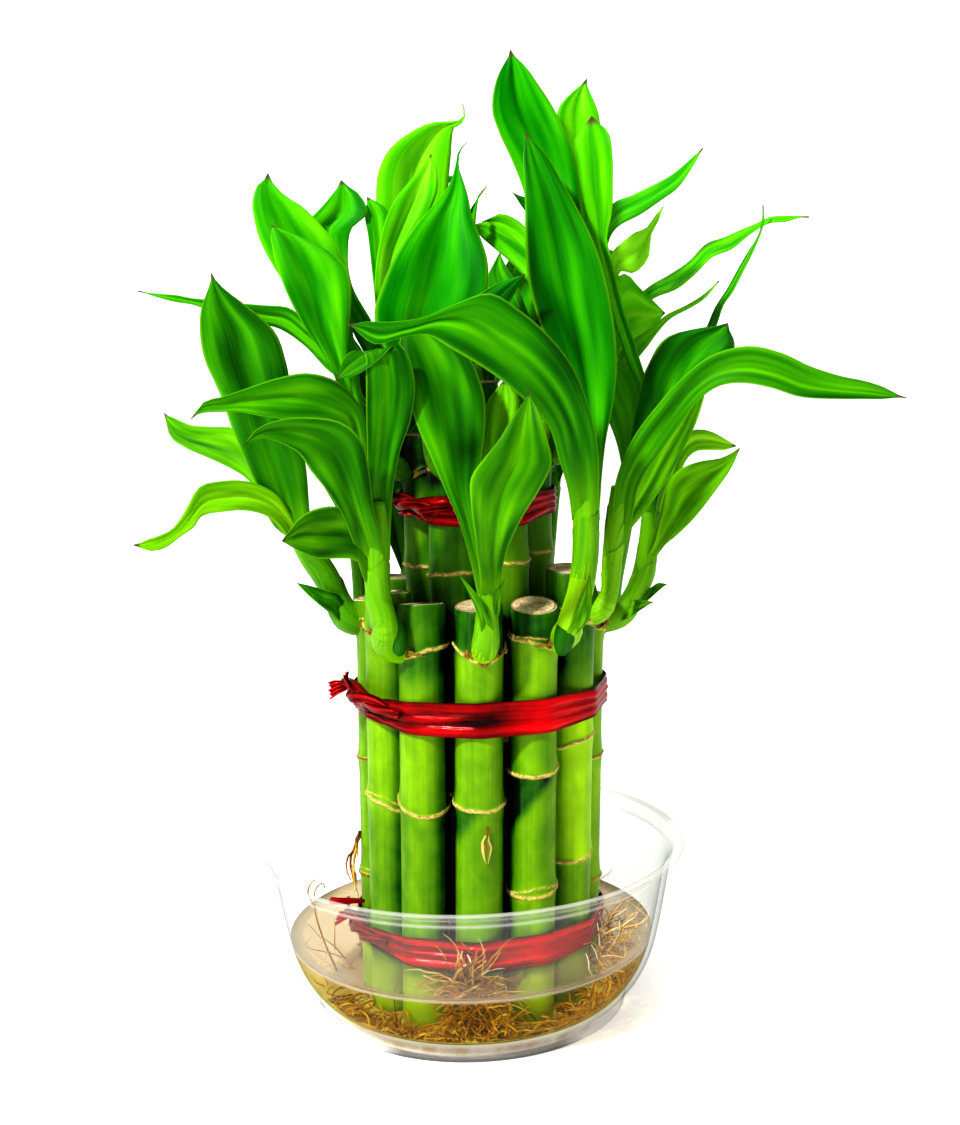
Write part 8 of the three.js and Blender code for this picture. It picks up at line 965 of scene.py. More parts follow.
            # painted shade: the inner canes' cut faces take the dark rim colour all over
            rad.append(s if "outer" in name else 0.97)
    V.append((c[0], c[1], cut - 0.26))
    rad.append(0 if "outer" in name else 0.97)
    f = [(q[3], q[2], q[1], q[0]) for q in grid_faces(5, SEG, closed=True)]
    f = [(q[1], q[0], q[3], q[2]) for q in grid_faces(5, SEG, closed=True)]
    f = [tuple(reversed(q)) for q in grid_faces(5, SEG, closed=True)]
    f = [(q[0], q[1], q[2], q[3]) for q in grid_faces(5, SEG, closed=True)]
    last = 4 * SEG
    f += [(last + j, last + (j + 1) % SEG, 5 * SEG) for j in range(SEG)]
    base = p.n
    p.add(V, f, 1, ring=rad, height=cut, seed=seed, tone=0.5)
    link = [((top_n - 1) * SEG + j, (top_n - 1) * SEG + (j + 1) % SEG, base + (j + 1) % SEG, base + j) for j in range(SEG)]
    p.f += link
    p.m += [1] * SEG
    return p


def scar(p, angle, foot, topr, z, face, w, h):
    """A bud scar on a cane: a pale raised outline round a brown, partly green middle, with a stalk above."""
    c = axis(angle, foot, topr, z)
    rows, cols = 33, 15
    V, S, G = [], [], []
    for i in range(rows):
        t = i / (rows - 1) * 2 - 1
        half = w / 2 * max(0.12, (1 - abs(t * 1.12 + 0.1) ** 1.5)) if t < 0.62 else w * 0.11
        bend = 0.35 * wob(t * 3, 1.1, 2.2) + 0.45 * max(0.0, t - 0.4)
        for j in range(cols):
            s = j / (cols - 1) * 2 - 1
            a = face + (s * half + bend) / CANE_R
            edge = math.exp(-(((abs(s) - 0.66) / 0.22) ** 2))
            r = CANE_R - 0.12 + (0.42 * edge + 0.15) * (1 - s * s) ** 0.5 - (0.25 if abs(s) == 1 else 0)
            V.append((c[0] + r * math.cos(a), c[1] + r * math.sin(a), z + t * h / 2))
            S.append(1.0 if t > 0.62 or t < -0.9 else (0.9 if abs(s) < 0.2 and abs(t) < 0.3 else (0.62 if 0.3 < abs(s) < 0.45 else 0.15)))
            G.append(0.1 if t > 0.62 or t < -0.9 else (1.0 if abs(s) >= 0.45 else 0.1))
    p.add(V, grid_faces(rows, cols), 0, tone=0.42, stain=S, ring=G, height=z, angle=0.5, seed=3.3)


for k, (name, angle, foot, topr, cut, rings) in enumerate(CANES):
    parts = cane(name, angle, foot, topr, cut, rings, k)
    if name == "cane_outer_01":
        scar(parts, angle, foot, topr, 48.2, math.radians(-73), 2.9, 9.0)
    o = parts.make(name + "_skin", [CANE, CUT])
    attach(o, "root")
    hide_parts(name)

# ---- ribbons: crinkled foil pulled round the canes ----


def hull_path(z, canes, extra, n):
    pts = []
    for _, angle, foot, topr, _, _ in canes:
        c = axis(angle, foot, topr, z)
        for t in np.linspace(0, 2 * math.pi, 72, endpoint=False):
            pts.append((c[0] + (CANE_R + extra) * math.cos(t), c[1] + (CANE_R + extra) * math.sin(t)))
    pts = sorted(set(pts))

    def half(points):
        out = []
        for q in points:
            while len(out) > 1 and (out[-1][0] - out[-2][0]) * (q[1] - out[-2][1]) - (out[-1][1] - out[-2][1]) * (q[0] - out[-2][0]) <= 0:
                out.pop()
            out.append(q)
        return out

    low, high = half(pts), half(pts[::-1])
    ring = np.array(low[:-1] + high[:-1])
    ring = np.vstack([ring, ring[:1]])
    s = np.concatenate([[0], np.cumsum(np.linalg.norm(np.diff(ring, axis=0), axis=1))])
    q = np.linspace(0, s[-1], n, endpoint=False)
    return np.stack([np.interp(q, s, ring[:, 0]), np.interp(q, s, ring[:, 1])], 1), s[-1]


def strip(p, start, way, outw, length, width, seed, twist=0.6, lift=0.0):
    """A short pleated end of foil that fans out from the knot."""
    rows, cols = 16, 25
    way, outw = unit(np.array(way, float)), unit(np.array(outw, float))
    side = unit(np.cross(way, outw))
    outw = np.cross(side, way)
    V, F = [], []
    for i in range(rows):
        t = i / (rows - 1)
        c = np.array(start) + way * length * t + outw * (lift * math.sin(t * math.pi)) + np.array([0, 0, -0.8 * t * t])
        w = width * (0.24 + 0.76 * t ** 0.8)
        a = twist * t
        sd = side * math.cos(a) + outw * math.sin(a)
        nd = np.cross(sd, way)
        for j in range(cols):
            s = j / (cols - 1) * 2 - 1
            saw = abs(((s * 2.1 + 0.3 * seed) % 1.0) * 2 - 1) - 0.5
            zig = (0.5 + 0.7 * (1 - t)) * saw + 0.35 * wob(s * 1.4, t * 2.0, seed)
            end = 0.9 * wob(s * 2.1, seed, 2.2) + 0.5 * saw if i == rows - 1 else 0
            V.append(c + sd * s * w / 2 + nd * zig + way * end)
            # painted shade: lighter on pleat ridges, darker in pleat hollows
            F.append(0.55 + 0.9 * saw * (1 if t > 0.2 else 0.6))
    V = np.array(V)
    n = len(V)
    up_ = np.array([outw] * n) * 0.05
    both = np.vstack([V + up_, V - up_])
    f = grid_faces(rows, cols)
    g = [tuple(reversed([i + n for i in q])) for q in f]
    edge = [i for i in range(cols)] + [i * cols + cols - 1 for i in range(1, rows)] + [(rows - 1) * cols + i for i in range(cols - 2, -1, -1)] + [i * cols for i in range(rows - 2, 0, -1)]
    rim = [(edge[(i + 1) % len(edge)], edge[i], edge[i] + n, edge[(i + 1) % len(edge)] + n) for i in range(len(edge))]
    p.add(both, f + g + rim, 0, fold=F + F)


def ribbon(name, canes, z, h, knot_angle, rope, tails, seed):
    """A foil ribbon pulled round the canes: a band with long soft folds, a twisted knot and its loose ends."""
    n, rows = 480, 32
    path, length = hull_path(z, canes, 0.25, n)
    T = unit(np.roll(path, -1, 0) - np.roll(path, 1, 0))
    O = np.stack([T[:, 1], -T[:, 0]], 1)
    centre = path.mean(0)
    ang = np.arctan2(path[:, 1] - centre[1], path[:, 0] - centre[0])
    k_ang = math.atan2(-math.cos(math.radians(knot_angle)), math.sin(math.radians(knot_angle)))
    V, F = [], []
    for j in range(n):
        ca, sa = math.cos(ang[j]), math.sin(ang[j])
        near = abs((ang[j] - k_ang + math.pi) % (2 * math.pi) - math.pi)
        gather = math.exp(-((near / 0.5) ** 2))
        hh = h * (1 - 0.42 * gather - 0.22 * math.exp(-(((near - 2.5) / 0.5) ** 2))) * (1 + 0.05 * wob(ca * 2, sa * 2, seed))
        mid = z + 0.4 * wob(ca * 1.5, sa * 1.5, seed)
        folds = []
        for c, w, amp, ph in ((-0.6, 0.24, 0.75, 0.0), (0.05, 0.20, 0.85, 2.1), (0.62, 0.22, 0.75, 4.4)):
            folds.append((c + 0.22 * wob(ca * 1.3 + ph, sa * 1.3, seed), w, amp * min(max(0.75 + 1.2 * wob(ca * 1.9, sa * 1.9 + ph, seed + 3), 0.1), 1.2)))
        for i in range(rows):
            t = i / (rows - 1) * 2 - 1
            fold = sum(amp * math.exp(-(((t - c) / w) ** 2)) for c, w, amp in folds)
            fine = (0.06 + 0.5 * gather) * wob(ca * 8, sa * 8, t * 4 + seed) + 0.05 * math.sin(t * 24 + 3 * wob(ca * 3, sa * 3, seed))
            hem = 0.22 * math.exp(-(((abs(t) - 0.93) / 0.05) ** 2))
            o = 0.32 + 0.85 * fold + fine + hem
            V.append((path[j, 0] + O[j, 0] * o, path[j, 1] + O[j, 1] * o, mid + t * hh / 2 + 0.10 * wob(ca * 6, sa * 6, t * 3)))
            # painted light on the front of the lower and middle bands, and a painted dark crease across the middle
            # band's front
            front = ang[j] + math.pi / 2
            painted_light_and_shade = 0.0
            if name == "ribbon_lower":
                painted_light_and_shade = 0.42 * math.exp(-(((front - 0.72) / 0.4) ** 2))
            if name == "ribbon_middle":
                painted_light_and_shade = 0.36 * math.exp(-(((front - 0.5) / 0.3) ** 2)) - 0.55 * math.exp(-((front / 0.22) ** 2)) * math.exp(-(((t - 0.05) / 0.38) ** 2))
            # painted shade: lighter on the fold ridges, darker between them and at the rolled edges
            F.append(0.30 + painted_light_and_shade + 0.55 * fold + fine * 0.8 + 0.12 * wob(ca * 1.2, sa * 1.2, t + seed) - 0.25 * max(0.0, (abs(t) - 0.93) / 0.07))
    V = np.array(V)
    outw = np.repeat(np.concatenate([O, np.zeros((n, 1))], 1), rows, axis=0)
    p = Parts("fold")
    f = grid_faces(n, rows)
    f += [((n - 1) * rows + i, (n - 1) * rows + i + 1, i + 1, i) for i in range(rows - 1)]
    N = len(V)
    g = [tuple(reversed([i + N for i in q])) for q in f]
    rim = []
    for j in range(n):
        a, b = j * rows, ((j + 1) % n) * rows
        rim.append((b, a, a + N, b + N))
        a, b = a + rows - 1, b + rows - 1
        rim.append((a, b, b + N, a + N))
    p.add(np.vstack([V, V - outw * 0.10]), f + g + rim, 0, fold=F + F)

    def on_band(off, rise, out):
        j = int(np.argmin(np.abs((ang - k_ang - off + math.pi) % (2 * math.pi) - math.pi)))
        return np.array([path[j, 0] + O[j, 0] * out, path[j, 1] + O[j, 1] * out, z + rise]), np.array([O[j, 0], O[j, 1], 0.0])

    # the knot: two strands of gathered foil twisted along the band
    start, end, thick = rope
    steps, sides = 44, 22
    spine, outs = zip(*(on_band(start[0] + (end[0] - start[0]) * u, start[1] + (end[1] - start[1]) * u, 0.9 + thick * 0.7 * (1 - u) ** 0.5) for u in np.linspace(0, 1, steps)))
    spine = hermite(np.array(spine)[::4], steps)
    for q in range(2):
        C = []
        for i in range(steps):
            u = i / (steps - 1)
            ph = u * 2 * math.pi * 1.25 + q * math.pi
            C.append(spine[i] + np.array(outs[i]) * thick * 0.42 * math.cos(ph) * (1 - u) ** 0.4 + np.array([0, 0, thick * 0.42 * math.sin(ph) * (1 - 0.6 * u)]))
        C = np.array(C)
        tang, nn, bb = frames(C)
        V, F = [], []
        for i in range(steps):
            u = i / (steps - 1)
            r = thick * 0.5 * (1 - 0.35 * u) * (1 + 0.22 * math.exp(-(((u - 0.4) / 0.12) ** 2))) * (0.35 + 0.65 * min(1.0, (1 - u) / 0.06)) * (0.5 + 0.5 * min(1.0, u / 0.05))
            for e in range(sides):
                th = 2 * math.pi * e / sides
                pleat = 0.16 * math.sin(5 * th + 4 * u + q) + 0.22 * wob(math.cos(th) * 1.4, math.sin(th) * 1.4, u * 5 + seed + q)
                V.append(C[i] + (nn[i] * math.cos(th) + bb[i] * math.sin(th)) * r * (1 + pleat))
                # painted shade on the knot's pleats
                F.append(0.36 + pleat * 1.3)
        faces = grid_faces(steps, sides, closed=True)
        faces.append(tuple(range(sides))[::-1])
        faces.append(tuple(range((steps - 1) * sides, steps * sides)))
        p.add(V, faces, 0, fold=F)
    top = spine[3]
    d = np.array(outs[0])
    back = np.array([-(spine[8] - spine[0])[0], -(spine[8] - spine[0])[1], 0.0])
    back = unit(back)
    for q, (dx, dz, dd, w, ln, tw, ox, oz) in enumerate(tails):
        strip(p, spine[3 + (0 if dx > 0.2 else 8)] - d * (2.6 if oz > 4 else 0.0) + back * ox + np.array([0, 0, oz]), back * dx + np.array([0, 0, dz]) + d * dd, -back if dd > 0.9 and dx < 0.2 else d, ln, w, seed * 7 + q, twist=tw, lift=0.5)
    o = p.make(name + "_foil", [FOIL])
    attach(o, "root")
    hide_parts(name)
    return o


outer_canes, inner_canes = CANES[:12], CANES[12:18]
ribbon("ribbon_lower", outer_canes, 21.7, 7.6, -68, ((-0.30, 1.2), (0.42, 0.4), 2.4),
       [(0.22, 1.0, 0.1, 1.8, 4.9, 0.2, 0, 0), (0.1, 0.16, 1.0, 2.4, 8.6, 0.3, 0.4, 4.6), (0.7, -0.3, 0.8, 3.8, 4.6, -0.6, 0, 0)], 3)
ribbon("ribbon_middle", outer_canes, 77.75, 8.2, -68, ((-0.12, 4.4), (0.62, 0.2), 2.7),
       [(0.05, 1.0, 0.3, 4.0, 5.4, 0.5, 0, 0), (0.21, -0.1, 1.0, 5.0, 4.8, -0.4, 0, 0)], 5)
ribbon("ribbon_upper", inner_canes, 123.5, 7.4, -66, ((-0.3, 1.6), (0.9, 0.4), 2.4),
       [(0.4, 0.5, 0.8, 4.0, 4.6, 0.5, 0, 0), (0.6, -0.7, 0.6, 3.6, 4.4, -0.5, 0, 0)], 9)

# ---- roots ----


def wander(start, aim, length, step, rnd, pull_down=0.0, keep=None, curl=0.6):
    P = [np.array(start, float)]
    d = np.array(aim, float)
    d /= np.linalg.norm(d)
    n = max(4, int(length / step))
    for _ in range(n):
        d = d + curl * np.array([rnd.gauss(0, 1), rnd.gauss(0, 1), rnd.gauss(0, 0.8)]) * 0.28 + np.array([0, 0, -pull_down])
        d /= np.linalg.norm(d)
        q = P[-1] + d * step
        if keep:
            q2 = keep(q)
            d = d * 0.6 + (q2 - q) / step
            d /= max(np.linalg.norm(d), 1e-9)
            q = q2
        P.append(q)
    return np.array(P)


turned = rounded(outer + inner)
rim_at = max(range(len(turned)), key=lambda i: turned[i][1])
WALL_Z, WALL_R = zip(*sorted((z, r) for r, z in turned[rim_at:] if r > 20))


def within_wall(Q):
    """The points of a root, held a root's thickness clear of the bowl's own inside."""
    Q = np.array(Q, float)
    Q[:, 2] = np.maximum(Q[:, 2], 3.35)
    lim = np.interp(Q[:, 2] - 0.45, WALL_Z, WALL_R) - 0.5
    k = np.minimum(1.0, lim / np.maximum(np.hypot(Q[:, 0], Q[:, 1]), 1e-6))
    Q[:, :2] *= k[:, None]
    return Q


def in_bowl(q):
    """Pushed out of the canes and in from the wall and floor."""
    q = q.copy()
    z = min(max(q[2], 3.2), 30.0)
    q[2] = max(q[2], 3.2)
    prof = [(3.2, 35.6), (5.6, 38.6), (9.7, 41.5), (14.9, 43.5), (21, 44.9), (33, 46.9)]
    lim = np.interp(z, [a for a, _ in prof], [b for _, b in prof]) - 0.8
    r = math.hypot(q[0], q[1])
    if r > lim:
        q[0] *= lim / r
        q[1] *= lim / r
    for _, angle, foot, topr, _, _ in CANES:
        c = axis(angle, foot, topr, z)
        d = np.array([q[0] - c[0], q[1] - c[1]])
        s = math.hypot(*d)
        if s < CANE_R + 0.3:
            d = d / max(s, 1e-6) * (CANE_R + 0.3)
            q[0], q[1] = c[0] + d[0], c[1] + d[1]
    return q


def root_bunch(name, node_name, seed, groups, extra=()):
    rnd = random.Random(seed)
    p = Parts("tone", "along")
    for (cx, cy, cz), spread, aim, count, length, rad, pale in groups:
        for _ in range(count):
            s = np.array([cx + rnd.gauss(0, spread[0]), cy + rnd.gauss(0, spread[1]), max(4.2, cz + rnd.gauss(0, spread[2]))])
            if cz < 10:
                s[:2] *= 1 + rnd.uniform(1.0, 3.4) / math.hypot(cx, cy)
            s = in_bowl(s)
            a = np.array(aim) + np.array([rnd.gauss(0, 0.8), rnd.gauss(0, 0.8), rnd.gauss(0, 0.6)])
            P = wander(s, a, length * rnd.uniform(0.5, 1.3), 1.1, rnd, pull_down=0.3 if cz < 5.8 else 0.05, keep=in_bowl)
            n = len(P)
            r = rad * rnd.uniform(0.6, 1.3) * np.linspace(1, 0.35, n)
            tone = pale + rnd.uniform(0.3, 0.8) + 0.35 * np.linspace(0, 1, n) ** 3 * (1 if rnd.random() < 0.3 else 0)
            tube(p, within_wall(hermite(P, n * 2)), np.repeat(r, 2)[: n * 2], 5, 0, tone=np.repeat(tone, 2)[: n * 2])
    for path in extra:
        P = hermite(path, 26)
        tube(p, P, 0.26 * np.linspace(1, 0.6, 26), 6, 0, tone=np.linspace(0.3, 0.5, 26))
    o = p.make(name, [ROOT])
    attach(o, "root")
    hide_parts(node_name)
    return o


root_bunch("roots_front_fine", "roots_front", 11, [
    ((0.4, -31.8, 8.0), (2.8, 1.2, 2.8), (0, -0.8, 0.3), 160, 10, 0.31, -0.05),
    ((0.0, -32.0, 13.5), (2.4, 0.9, 2.4), (0, -0.7, 0.4), 130, 9, 0.29, -0.05),
    ((-1.0, -31.6, 17.0), (1.4, 0.5, 1.6), (0.2, -0.4, 1.4), 34, 11, 0.25, 0.0),
    ((-1.0, -32.6, 15.5), (1.6, 0.8, 1.2), (-1.4, -0.3, 0.2), 26, 12, 0.22, 0.1),
    ((0.0, -32.6, 15.0), (1.6, 0.8, 1.4), (1.4, -0.3, 0.1), 26, 13, 0.22, 0.1),
    ((2.0, -32.5, 4.0), (15, 2.6, 0.4), (0, -1.0, -0.3), 190, 10, 0.26, 0),
    ((8.0, -34.0, 6.0), (4, 1.5, 1.2), (0.8, -0.3, 0.2), 30, 11, 0.24, 0.1),
    ((-6.0, -34.0, 5.2), (3, 1.5, 0.8), (-0.8, -0.3, 0.0), 20, 10, 0.24, 0.1),
    ((-0.5, -36.0, 5.0), (1.6, 0.4, 0.4), (0, -0.9, -0.6), 10, 5, 0.34, 0.8),
])
root_bunch("roots_right_fine", "roots_right", 12, [
    ((24.0, -24.0, 5.4), (6, 4, 1.2), (1, -0.5, 0.2), 100, 13, 0.26, 0),
    ((29.5, -20.0, 9.5), (3, 4, 2.4), (1, -0.3, 0.6), 70, 13, 0.24, 0.05),
    ((31.5, -10.0, 12.0), (3, 6, 3.0), (1, -0.2, 0.7), 60, 14, 0.24, 0),
    ((32.5, -15.0, 16.5), (2.2, 4, 1.8), (0.9, -0.4, 0.9), 20, 12, 0.22, 0.1),
    ((33.5, -6.0, 18.0), (2.4, 5, 2.4), (0.7, -0.2, 1.0), 18, 13, 0.20, 0.15),
    ((22.0, 20.0, 6.0), (8, 6, 1.6), (0.6, 0.8, 0.3), 60, 15, 0.25, 0),
])
root_bunch("roots_left_fine", "roots_left", 13, [
    ((-19.0, -27.0, 4.6), (6, 3.0, 0.6), (-0.6, -0.8, 0.0), 90, 13, 0.26, 0),
    ((-27.0, -18.0, 5.2), (4, 6, 1.0), (-1, 0, 0.1), 54, 12, 0.25, 0),
    ((-33.0, -8.0, 12.0), (2.4, 5, 3.0), (-0.6, -0.2, 1.0), 9, 12, 0.20, 0.1),
    ((-16.0, 24.0, 5.5), (8, 5, 1.6), (-0.5, 0.8, 0.2), 60, 15, 0.25, 0),
], [[(-33, -8, 10), (-36.4, -6, 18), (-38.2, -4, 25), (-37.6, -3.2, 29.6), (-36.2, -3.0, 30.6), (-35.6, -3.0, 29.2)],
    [(-38.2, -4, 25), (-39.8, -3.6, 28.4), (-39.2, -3.2, 30.4), (-37.9, -3, 31.6)]])

aerial = Parts("tone", "along")
rnd = random.Random(21)
AERIAL = [
    [(-26.8, -0.4, 42.8), (-27.9, -0.8, 39.6), (-29.3, -1.2, 35.6), (-28.8, -1.8, 31.6), (-27.8, -2.2, 27.0)],
    [(-26.8, -0.8, 42.2), (-27.9, -1.9, 38.0), (-28.5, -2.7, 34.0), (-28.2, -3.1, 30.4), (-27.6, -3.0, 26.4)],
    [(-28.4, -1.0, 38.2), (-29.9, -1.6, 36.4), (-30.2, -2.0, 33.4), (-29.2, -2.4, 30.8)],
    [(-29.1, -1.4, 34.2), (-28.0, -2.2, 31.8), (-28.4, -2.8, 28.6)],
    [(-26.8, -1.2, 43.0), (-27.5, -2.2, 40.6), (-27.2, -3.2, 37.0)],
]
for i, path in enumerate(AERIAL):
    P = hermite(path, 30)
    P = P + np.array([[0.25 * wob(j * 0.4, i, 0), 0.25 * wob(j * 0.4, i, 5), 0.2 * wob(j * 0.4, i, 9)] for j in range(30)])
    tube(aerial, P, (0.40 if i < 2 else 0.28) * np.linspace(1, 0.55, 30), 7, 0, tone=np.linspace(0.15, 0.5, 30) + 0.42 * (i % 2))
aerial = aerial.make("roots_aerial_fine", [ROOT])
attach(aerial, "root")
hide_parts("roots_aerial")

# ---- shoots ----


def leaf(p, rows, tone, seed):
    rows = np.array(rows, float)
    seg = np.linalg.norm(np.diff(rows[:, 3:6], axis=0), axis=1).sum()
    n = int(min(64, max(14, seg / 1.7)))
    Q = hermite(rows, n)
    L, M, R = Q[:, :3], Q[:, 3:6], Q[:, 6:]
    u = np.linspace(0, 1, n)
    tan = unit(np.gradient(M, axis=0))
    acr = unit(R - L)
    nrm = unit(np.cross(acr, tan))
    # the tip closes in a point
    pinch = np.clip((1 - u) / 0.05, 0, 1) ** 0.6
    L, R = M + (L - M) * pinch[:, None], M + (R - M) * pinch[:, None]
    width = np.linalg.norm(R - L, axis=1)
    cols = 15
    ss = np.linspace(-1, 1, cols)
    V, S, U = [], [], []
    rnd = random.Random(int(seed * 1000) + 5)
    ph, amp = rnd.uniform(0, 6.3), rnd.uniform(0.5, 1.0)
    for i in range(n):
        for s in ss:
            e = (L[i] - M[i]) if s < 0 else (R[i] - M[i])
            x = abs(s)
            soft = math.sqrt(x * x + 0.012) - math.sqrt(0.012)
            soft = soft / (math.sqrt(1.012) - math.sqrt(0.012))
            # the fold is soft at the middle: the point follows the chord, then the half
            q = M[i] + e * x
            half = unit(e) if np.linalg.norm(e) > 1e-6 else acr[i]
            flat_part = half.dot(acr[i]) * np.linalg.norm(e) * x * acr[i]
            rise = e * x - flat_part
            q = M[i] + flat_part + rise * (soft / max(x, 1e-6) if x > 1e-6 else 0)
            puff = 0.065 * width[i] * 4 * x * (1 - x)
            ripple = 0.15 * width[i] * 0.25 * amp * (x**3) * math.sin(11 * u[i] + ph + (1.9 if s > 0 else 0))
            pleat = 0.09 * math.sin(s * 13 + seed) * min(1.0, width[i] / 8) * (1 - u[i]) ** 0.3
            pleat += 0.035 * width[i] * wob(s * 1.6 + seed, u[i] * 3.2, seed)
            V.append(q + nrm[i] * (puff + ripple + pleat))
            S.append(s)
            U.append(u[i])
    V, S, U = np.array(V), np.array(S), np.array(U)
    N = np.repeat(nrm, cols, axis=0)
    thick = (0.16 * (1 - 0.7 * S**2) + 0.04)[:, None]
    both = np.vstack([V + N * thick, V - N * thick])
    k = len(V)
    f = grid_faces(n, cols)
    g = [tuple(reversed([i + k for i in q])) for q in f]
    edge = list(range(cols)) + [i * cols + cols - 1 for i in range(1, n)] + [(n - 1) * cols + i for i in range(cols - 2, -1, -1)] + [i * cols for i in range(n - 2, 0, -1)]
    rim = [(edge[(i + 1) % len(edge)], edge[i], edge[i] + k, edge[(i + 1) % len(edge)] + k) for i in range(len(edge))]
    warm = min(max((176 - M[:, 2].mean()) / 56, 0.0), 1.0) * min(max((tone - 0.26) / 0.16, 0.3), 1.0)
    p.add(both, f + g + rim, 0, across=np.concatenate([S, S]), along=np.concatenate([U, U]), tone=tone,
          under=np.concatenate([np.zeros(k), np.ones(k)]), seed=seed, warm=warm)


def nearest(P, q):
    return int(np.argmin(np.linalg.norm(P - q, axis=1)))


def sheath(p, P, rad, i_top, side, tone, seed, length=14):
    """The lower part of a leaf, rolled round the stem below where the blade leaves it."""
    T, _, _ = frames(P)
    step = np.linalg.norm(P[1] - P[0])
    rows = max(4, min(int(length / step), i_top))
    cols = 15
    V, S, U, W = [], [], [], []
    for i in range(rows + 1):
        j = i_top - rows + i
        t = T[j]
        d = side - t * side.dot(t)
        d = d / max(np.linalg.norm(d), 1e-9)
        b = np.cross(t, d)
        x = i / rows
        span = math.radians(165 - 55 * x)
        r = rad[j] + 0.03 + 0.14 * x * x
        for c in range(cols):
            s = c / (cols - 1) * 2 - 1
            a = s * span
            V.append(P[j] + r * (math.cos(a) * d + math.sin(a) * b) + t * (4.0 * ((1 - abs(s)) ** 1.4 - 0.6) * x ** 3))
            S.append(s)
            U.append(x)
            # hem: painted highlight weight along the sheath's edges
            W.append(abs(s) ** 10)
    V = np.array(V)
    f = grid_faces(rows + 1, cols)
    p.add(V, f, 1, across=np.array(S), along=np.array(U), tone=tone, seed=seed, dry=0.0, hem=np.array(W))


def collar(p, angle, foot, topr, z, towards, seed, reach=1.0, height=3.0):
    """Dried, ragged scraps of old sheath round a cane where its shoot grows."""
    rnd = random.Random(seed)
    c = axis(angle, foot, topr, z)
    mid = math.atan2(towards[1], towards[0])
    for q in range(3):
        a0 = mid + rnd.uniform(-1.2, 1.2)
        span = rnd.uniform(0.5, 1.1)
        h = height * rnd.uniform(0.4, 1.1)
        rows, cols = 6, 13
        V, S = [], []
        for i in range(rows):
            t = i / (rows - 1)
            for j in range(cols):
                s = j / (cols - 1) * 2 - 1
                a = a0 + s * span / 2
                jag = (1 - s * s) * (0.6 + 0.7 * wob(s * 4, seed + q, 1.3))
                r = CANE_R + 0.22 + t * reach * (0.5 + 0.8 * (1 - s * s)) * (1 + 0.5 * wob(s * 3, q, seed))
                V.append((c[0] + r * math.cos(a), c[1] + r * math.sin(a), z - 0.6 + t * h * max(0.08, jag)))
                S.append(s)
        p.add(V, grid_faces(rows, cols), 1, across=S, along=0.5, tone=0.5, seed=seed + q * 0.7, dry=0.75 + 0.25 * rnd.random())


BULBS = {  # swollen first sheaths at a shoot's foot: centre, half sizes, lean
    "shoot_outer_12": [((-14.9, -27.4, 97.6), (2.2, 2.3, 5.2), -0.9)],
    "shoot_outer_02": [((23.0, -27.4, 96.6), (2.5, 2.3, 5.0), 0.9)],
}
# how light each stem is painted near its foot: partly its own green, partly painted light and shade
STEM_TONE = {"shoot_outer_01": 0.9, "shoot_outer_03": 0.85, "shoot_outer_12": 0.74, "shoot_outer_02": 0.86, "shoot_outer_11": 0.6, "shoot_outer_04": 0.7}
CANE_OF = {}
for i in range(12):
    CANE_OF[f"shoot_outer_{i + 1:02d}"] = CANES[i]
for i in range(6):
    CANE_OF[f"shoot_inner_{i + 1}"] = CANES[12 + i]
CANE_OF["shoot_centre"] = CANES[18]

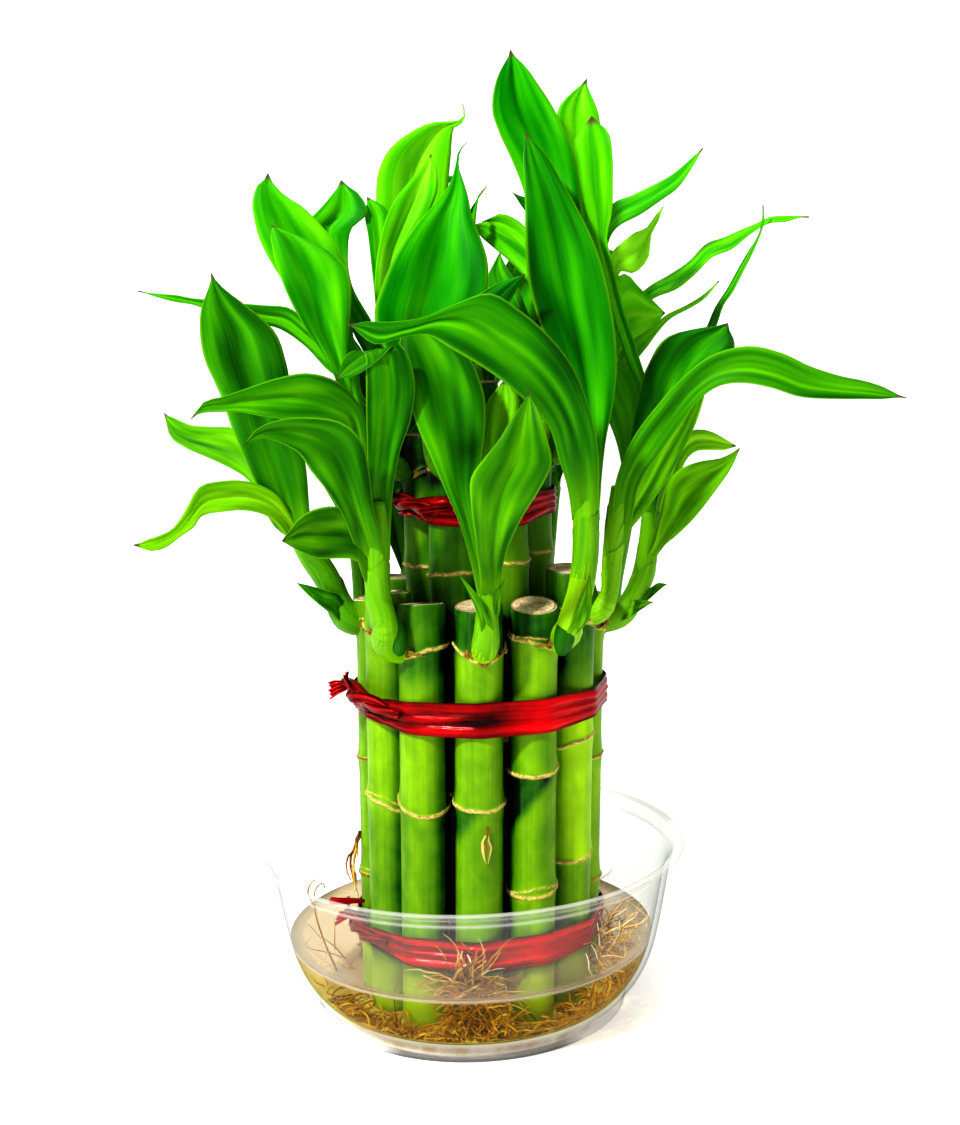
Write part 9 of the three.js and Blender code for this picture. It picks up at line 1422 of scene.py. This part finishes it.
for k, (name, body) in enumerate(SHOOTS.items()):
    p = Parts("across", "along", "tone", "under", "seed", "dry", "warm", "hem")
    stem = np.array(body["stem"], float)
    _, angle, foot, topr, cut, rings = CANE_OF[name]
    c0 = axis(angle, foot, topr, stem[0, 2])
    out_ = stem[0, :2] - c0
    if np.linalg.norm(out_) > 3:
        # it grows out of the cane just above a ring, and turns up at once
        z_ring = min(rings, key=lambda r: abs(r - stem[0, 2] + 2))
        out_ = unit(out_)
        if name in TURN:
            out_ = unit(np.array(TURN[name]))
        reach = np.linalg.norm(stem[1, :2] - axis(angle, foot, topr, stem[1, 2]))
        A = np.array([*(c0 + out_ * 3.0), z_ring - 0.2])
        B = np.array([*(c0 + out_ * max(7.2, reach * 0.88)), z_ring + 0.7])
        C = stem[1, :3]
        r0 = max(stem[0, 3], stem[1, 3])
        new = []
        for t, grow in ((0.0, 1.0), (0.3, 1.16), (0.55, 1.22), (0.8, 1.12)):
            new.append([*((1 - t) ** 2 * A + 2 * t * (1 - t) * B + t * t * C), r0 * grow])
        stem = np.vstack([new, stem[1:]])
    n = max(14, int(np.linalg.norm(np.diff(stem[:, :3], axis=0), axis=1).sum() / 1.2))
    Q = hermite(stem, n)
    P, rad = Q[:, :3], Q[:, 3].copy()
    mean_tone = STEM_TONE.get(name, 0.52)
    sides = 20
    T, N, B = frames(P)
    a = np.linspace(0, 2 * math.pi, sides, endpoint=False)
    V = (P[:, None] + rad[:, None, None] * (np.cos(a)[None, :, None] * N[:, None] + np.sin(a)[None, :, None] * B[:, None])).reshape(-1, 3)
    f = grid_faces(n, sides, closed=True)
    f.append(tuple(range(sides))[::-1])
    f.append(tuple(range((n - 1) * sides, n * sides)))
    low = np.repeat(np.arange(n) * 1.2, sides)
    p.add(V, f, 1, across=np.tile(np.cos(a), n), along=np.repeat(np.linspace(0, 1, n), sides),
          tone=np.repeat(0.5 + (mean_tone - 0.5) * np.clip(1.6 - 1.4 * np.linspace(0, 1, n), 0, 1), sides),
          seed=k * 1.9, dry=0.16 * np.exp(-((low / 2.2) ** 2)))
    for centre, size_, lean in BULBS.get(name, ()):
        V, A_ = [], []
        for i in range(19):
            lat = -math.pi / 2 + math.pi * i / 18
            for e in range(24):
                lon = 2 * math.pi * e / 24
                q_ = np.array([math.cos(lat) * math.cos(lon), math.cos(lat) * math.sin(lon), math.sin(lat)])
                V.append(np.array(centre) + q_ * np.array(size_) * (1 + 0.05 * wob(*(q_ * 1.5), k)) + np.array([lean * q_[2], 0, 0]))
                A_.append(math.cos(lon))
        p.add(V, grid_faces(19, 24, closed=True), 1, across=A_, along=0.4, tone=0.16, seed=k * 1.1)
    for q, (tone, vis, rows) in enumerate(body["leaves"]):
        seed = k * 2.3 + q * 0.71
        leaf(p, rows, tone, seed)
        r0 = np.array(rows[0], float)
        base = r0[3:6]
        j = nearest(P, base)
        if j > 5 and len(rows) > 5:
            r1 = np.array(rows[1], float)[3:6]
            side = (r1 - P[min(j + 3, n - 1)]) + (base - P[j]) * 0.5
            if np.linalg.norm(side) < 0.3:
                side = np.array([0, -1.0, 0.0])
            at_j = 0.5 + (mean_tone - 0.5) * min(1.0, max(0.0, 1.6 - 1.4 * j / (n - 1)))
            sheath(p, P, rad, j, unit(side), 0.2 * (0.4 * tone + 0.30) + 0.8 * at_j, seed)
    zc = min(rings, key=lambda r: abs(r - P[0, 2]))
    c = axis(angle, foot, topr, zc)
    if "outer" in name:
        collar(p, angle, foot, topr, zc, P[0, :2] - c, k * 1.3)
    o = p.make(name + "_grown", [LEAF, STEM])
    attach(o, "root")
    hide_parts(name)

# ---- stage ----
floor_m, nt, out = mat("floor_pale")
p = node(nt, "BsdfPrincipled", Roughness=0.6)
p.inputs["Base Color"].default_value = (0.93, 0.93, 0.92, 1)
p.inputs["Emission Color"].default_value = (1, 0.998, 0.985, 1)
p.inputs["Emission Strength"].default_value = 0.42
p.inputs["Specular IOR Level"].default_value = 0.1
nt.links.new(p.outputs[0], out.inputs[0])
me = bpy.data.meshes.new("floor")
s = 4.0
me.from_pydata([(-s, -s, 0), (s, -s, 0), (s, s, 0), (-s, s, 0)], [], [(0, 1, 2, 3)])
me.materials.append(floor_m)
floor = bpy.data.objects.new("floor", me)
scene.collection.objects.link(floor)

world = bpy.data.worlds.new("studio")
world.use_nodes = True
wt = world.node_tree
bg = wt.nodes["Background"]
bg.inputs[0].default_value = (1.0, 0.998, 0.985, 1)
lp = wt.nodes.new("ShaderNodeLightPath")
bg.inputs[1].default_value = 1.0
wt.links.new(math_(wt, "MULTIPLY_ADD", lp.outputs["Is Diffuse Ray"], -0.78, 1.0), bg.inputs[1])
scene.world = world


def area(name, place, target, w, h, power, colour=(1, 1, 1)):
    d = bpy.data.lights.new(name, "AREA")
    d.shape = "RECTANGLE"
    d.size, d.size_y, d.energy, d.color = w, h, power, colour
    o = bpy.data.objects.new(name, d)
    scene.collection.objects.link(o)
    o.location = place
    o.rotation_euler = (Vector(target) - Vector(place)).to_track_quat("-Z", "Y").to_euler()
    return o


area("key", (-0.60, -0.72, 0.96), (0, 0, 0.10), 0.10, 0.10, 17.0)
area("top", (0.1, 0.1, 1.0), (0, 0, 0.1), 0.5, 0.5, 2.0)
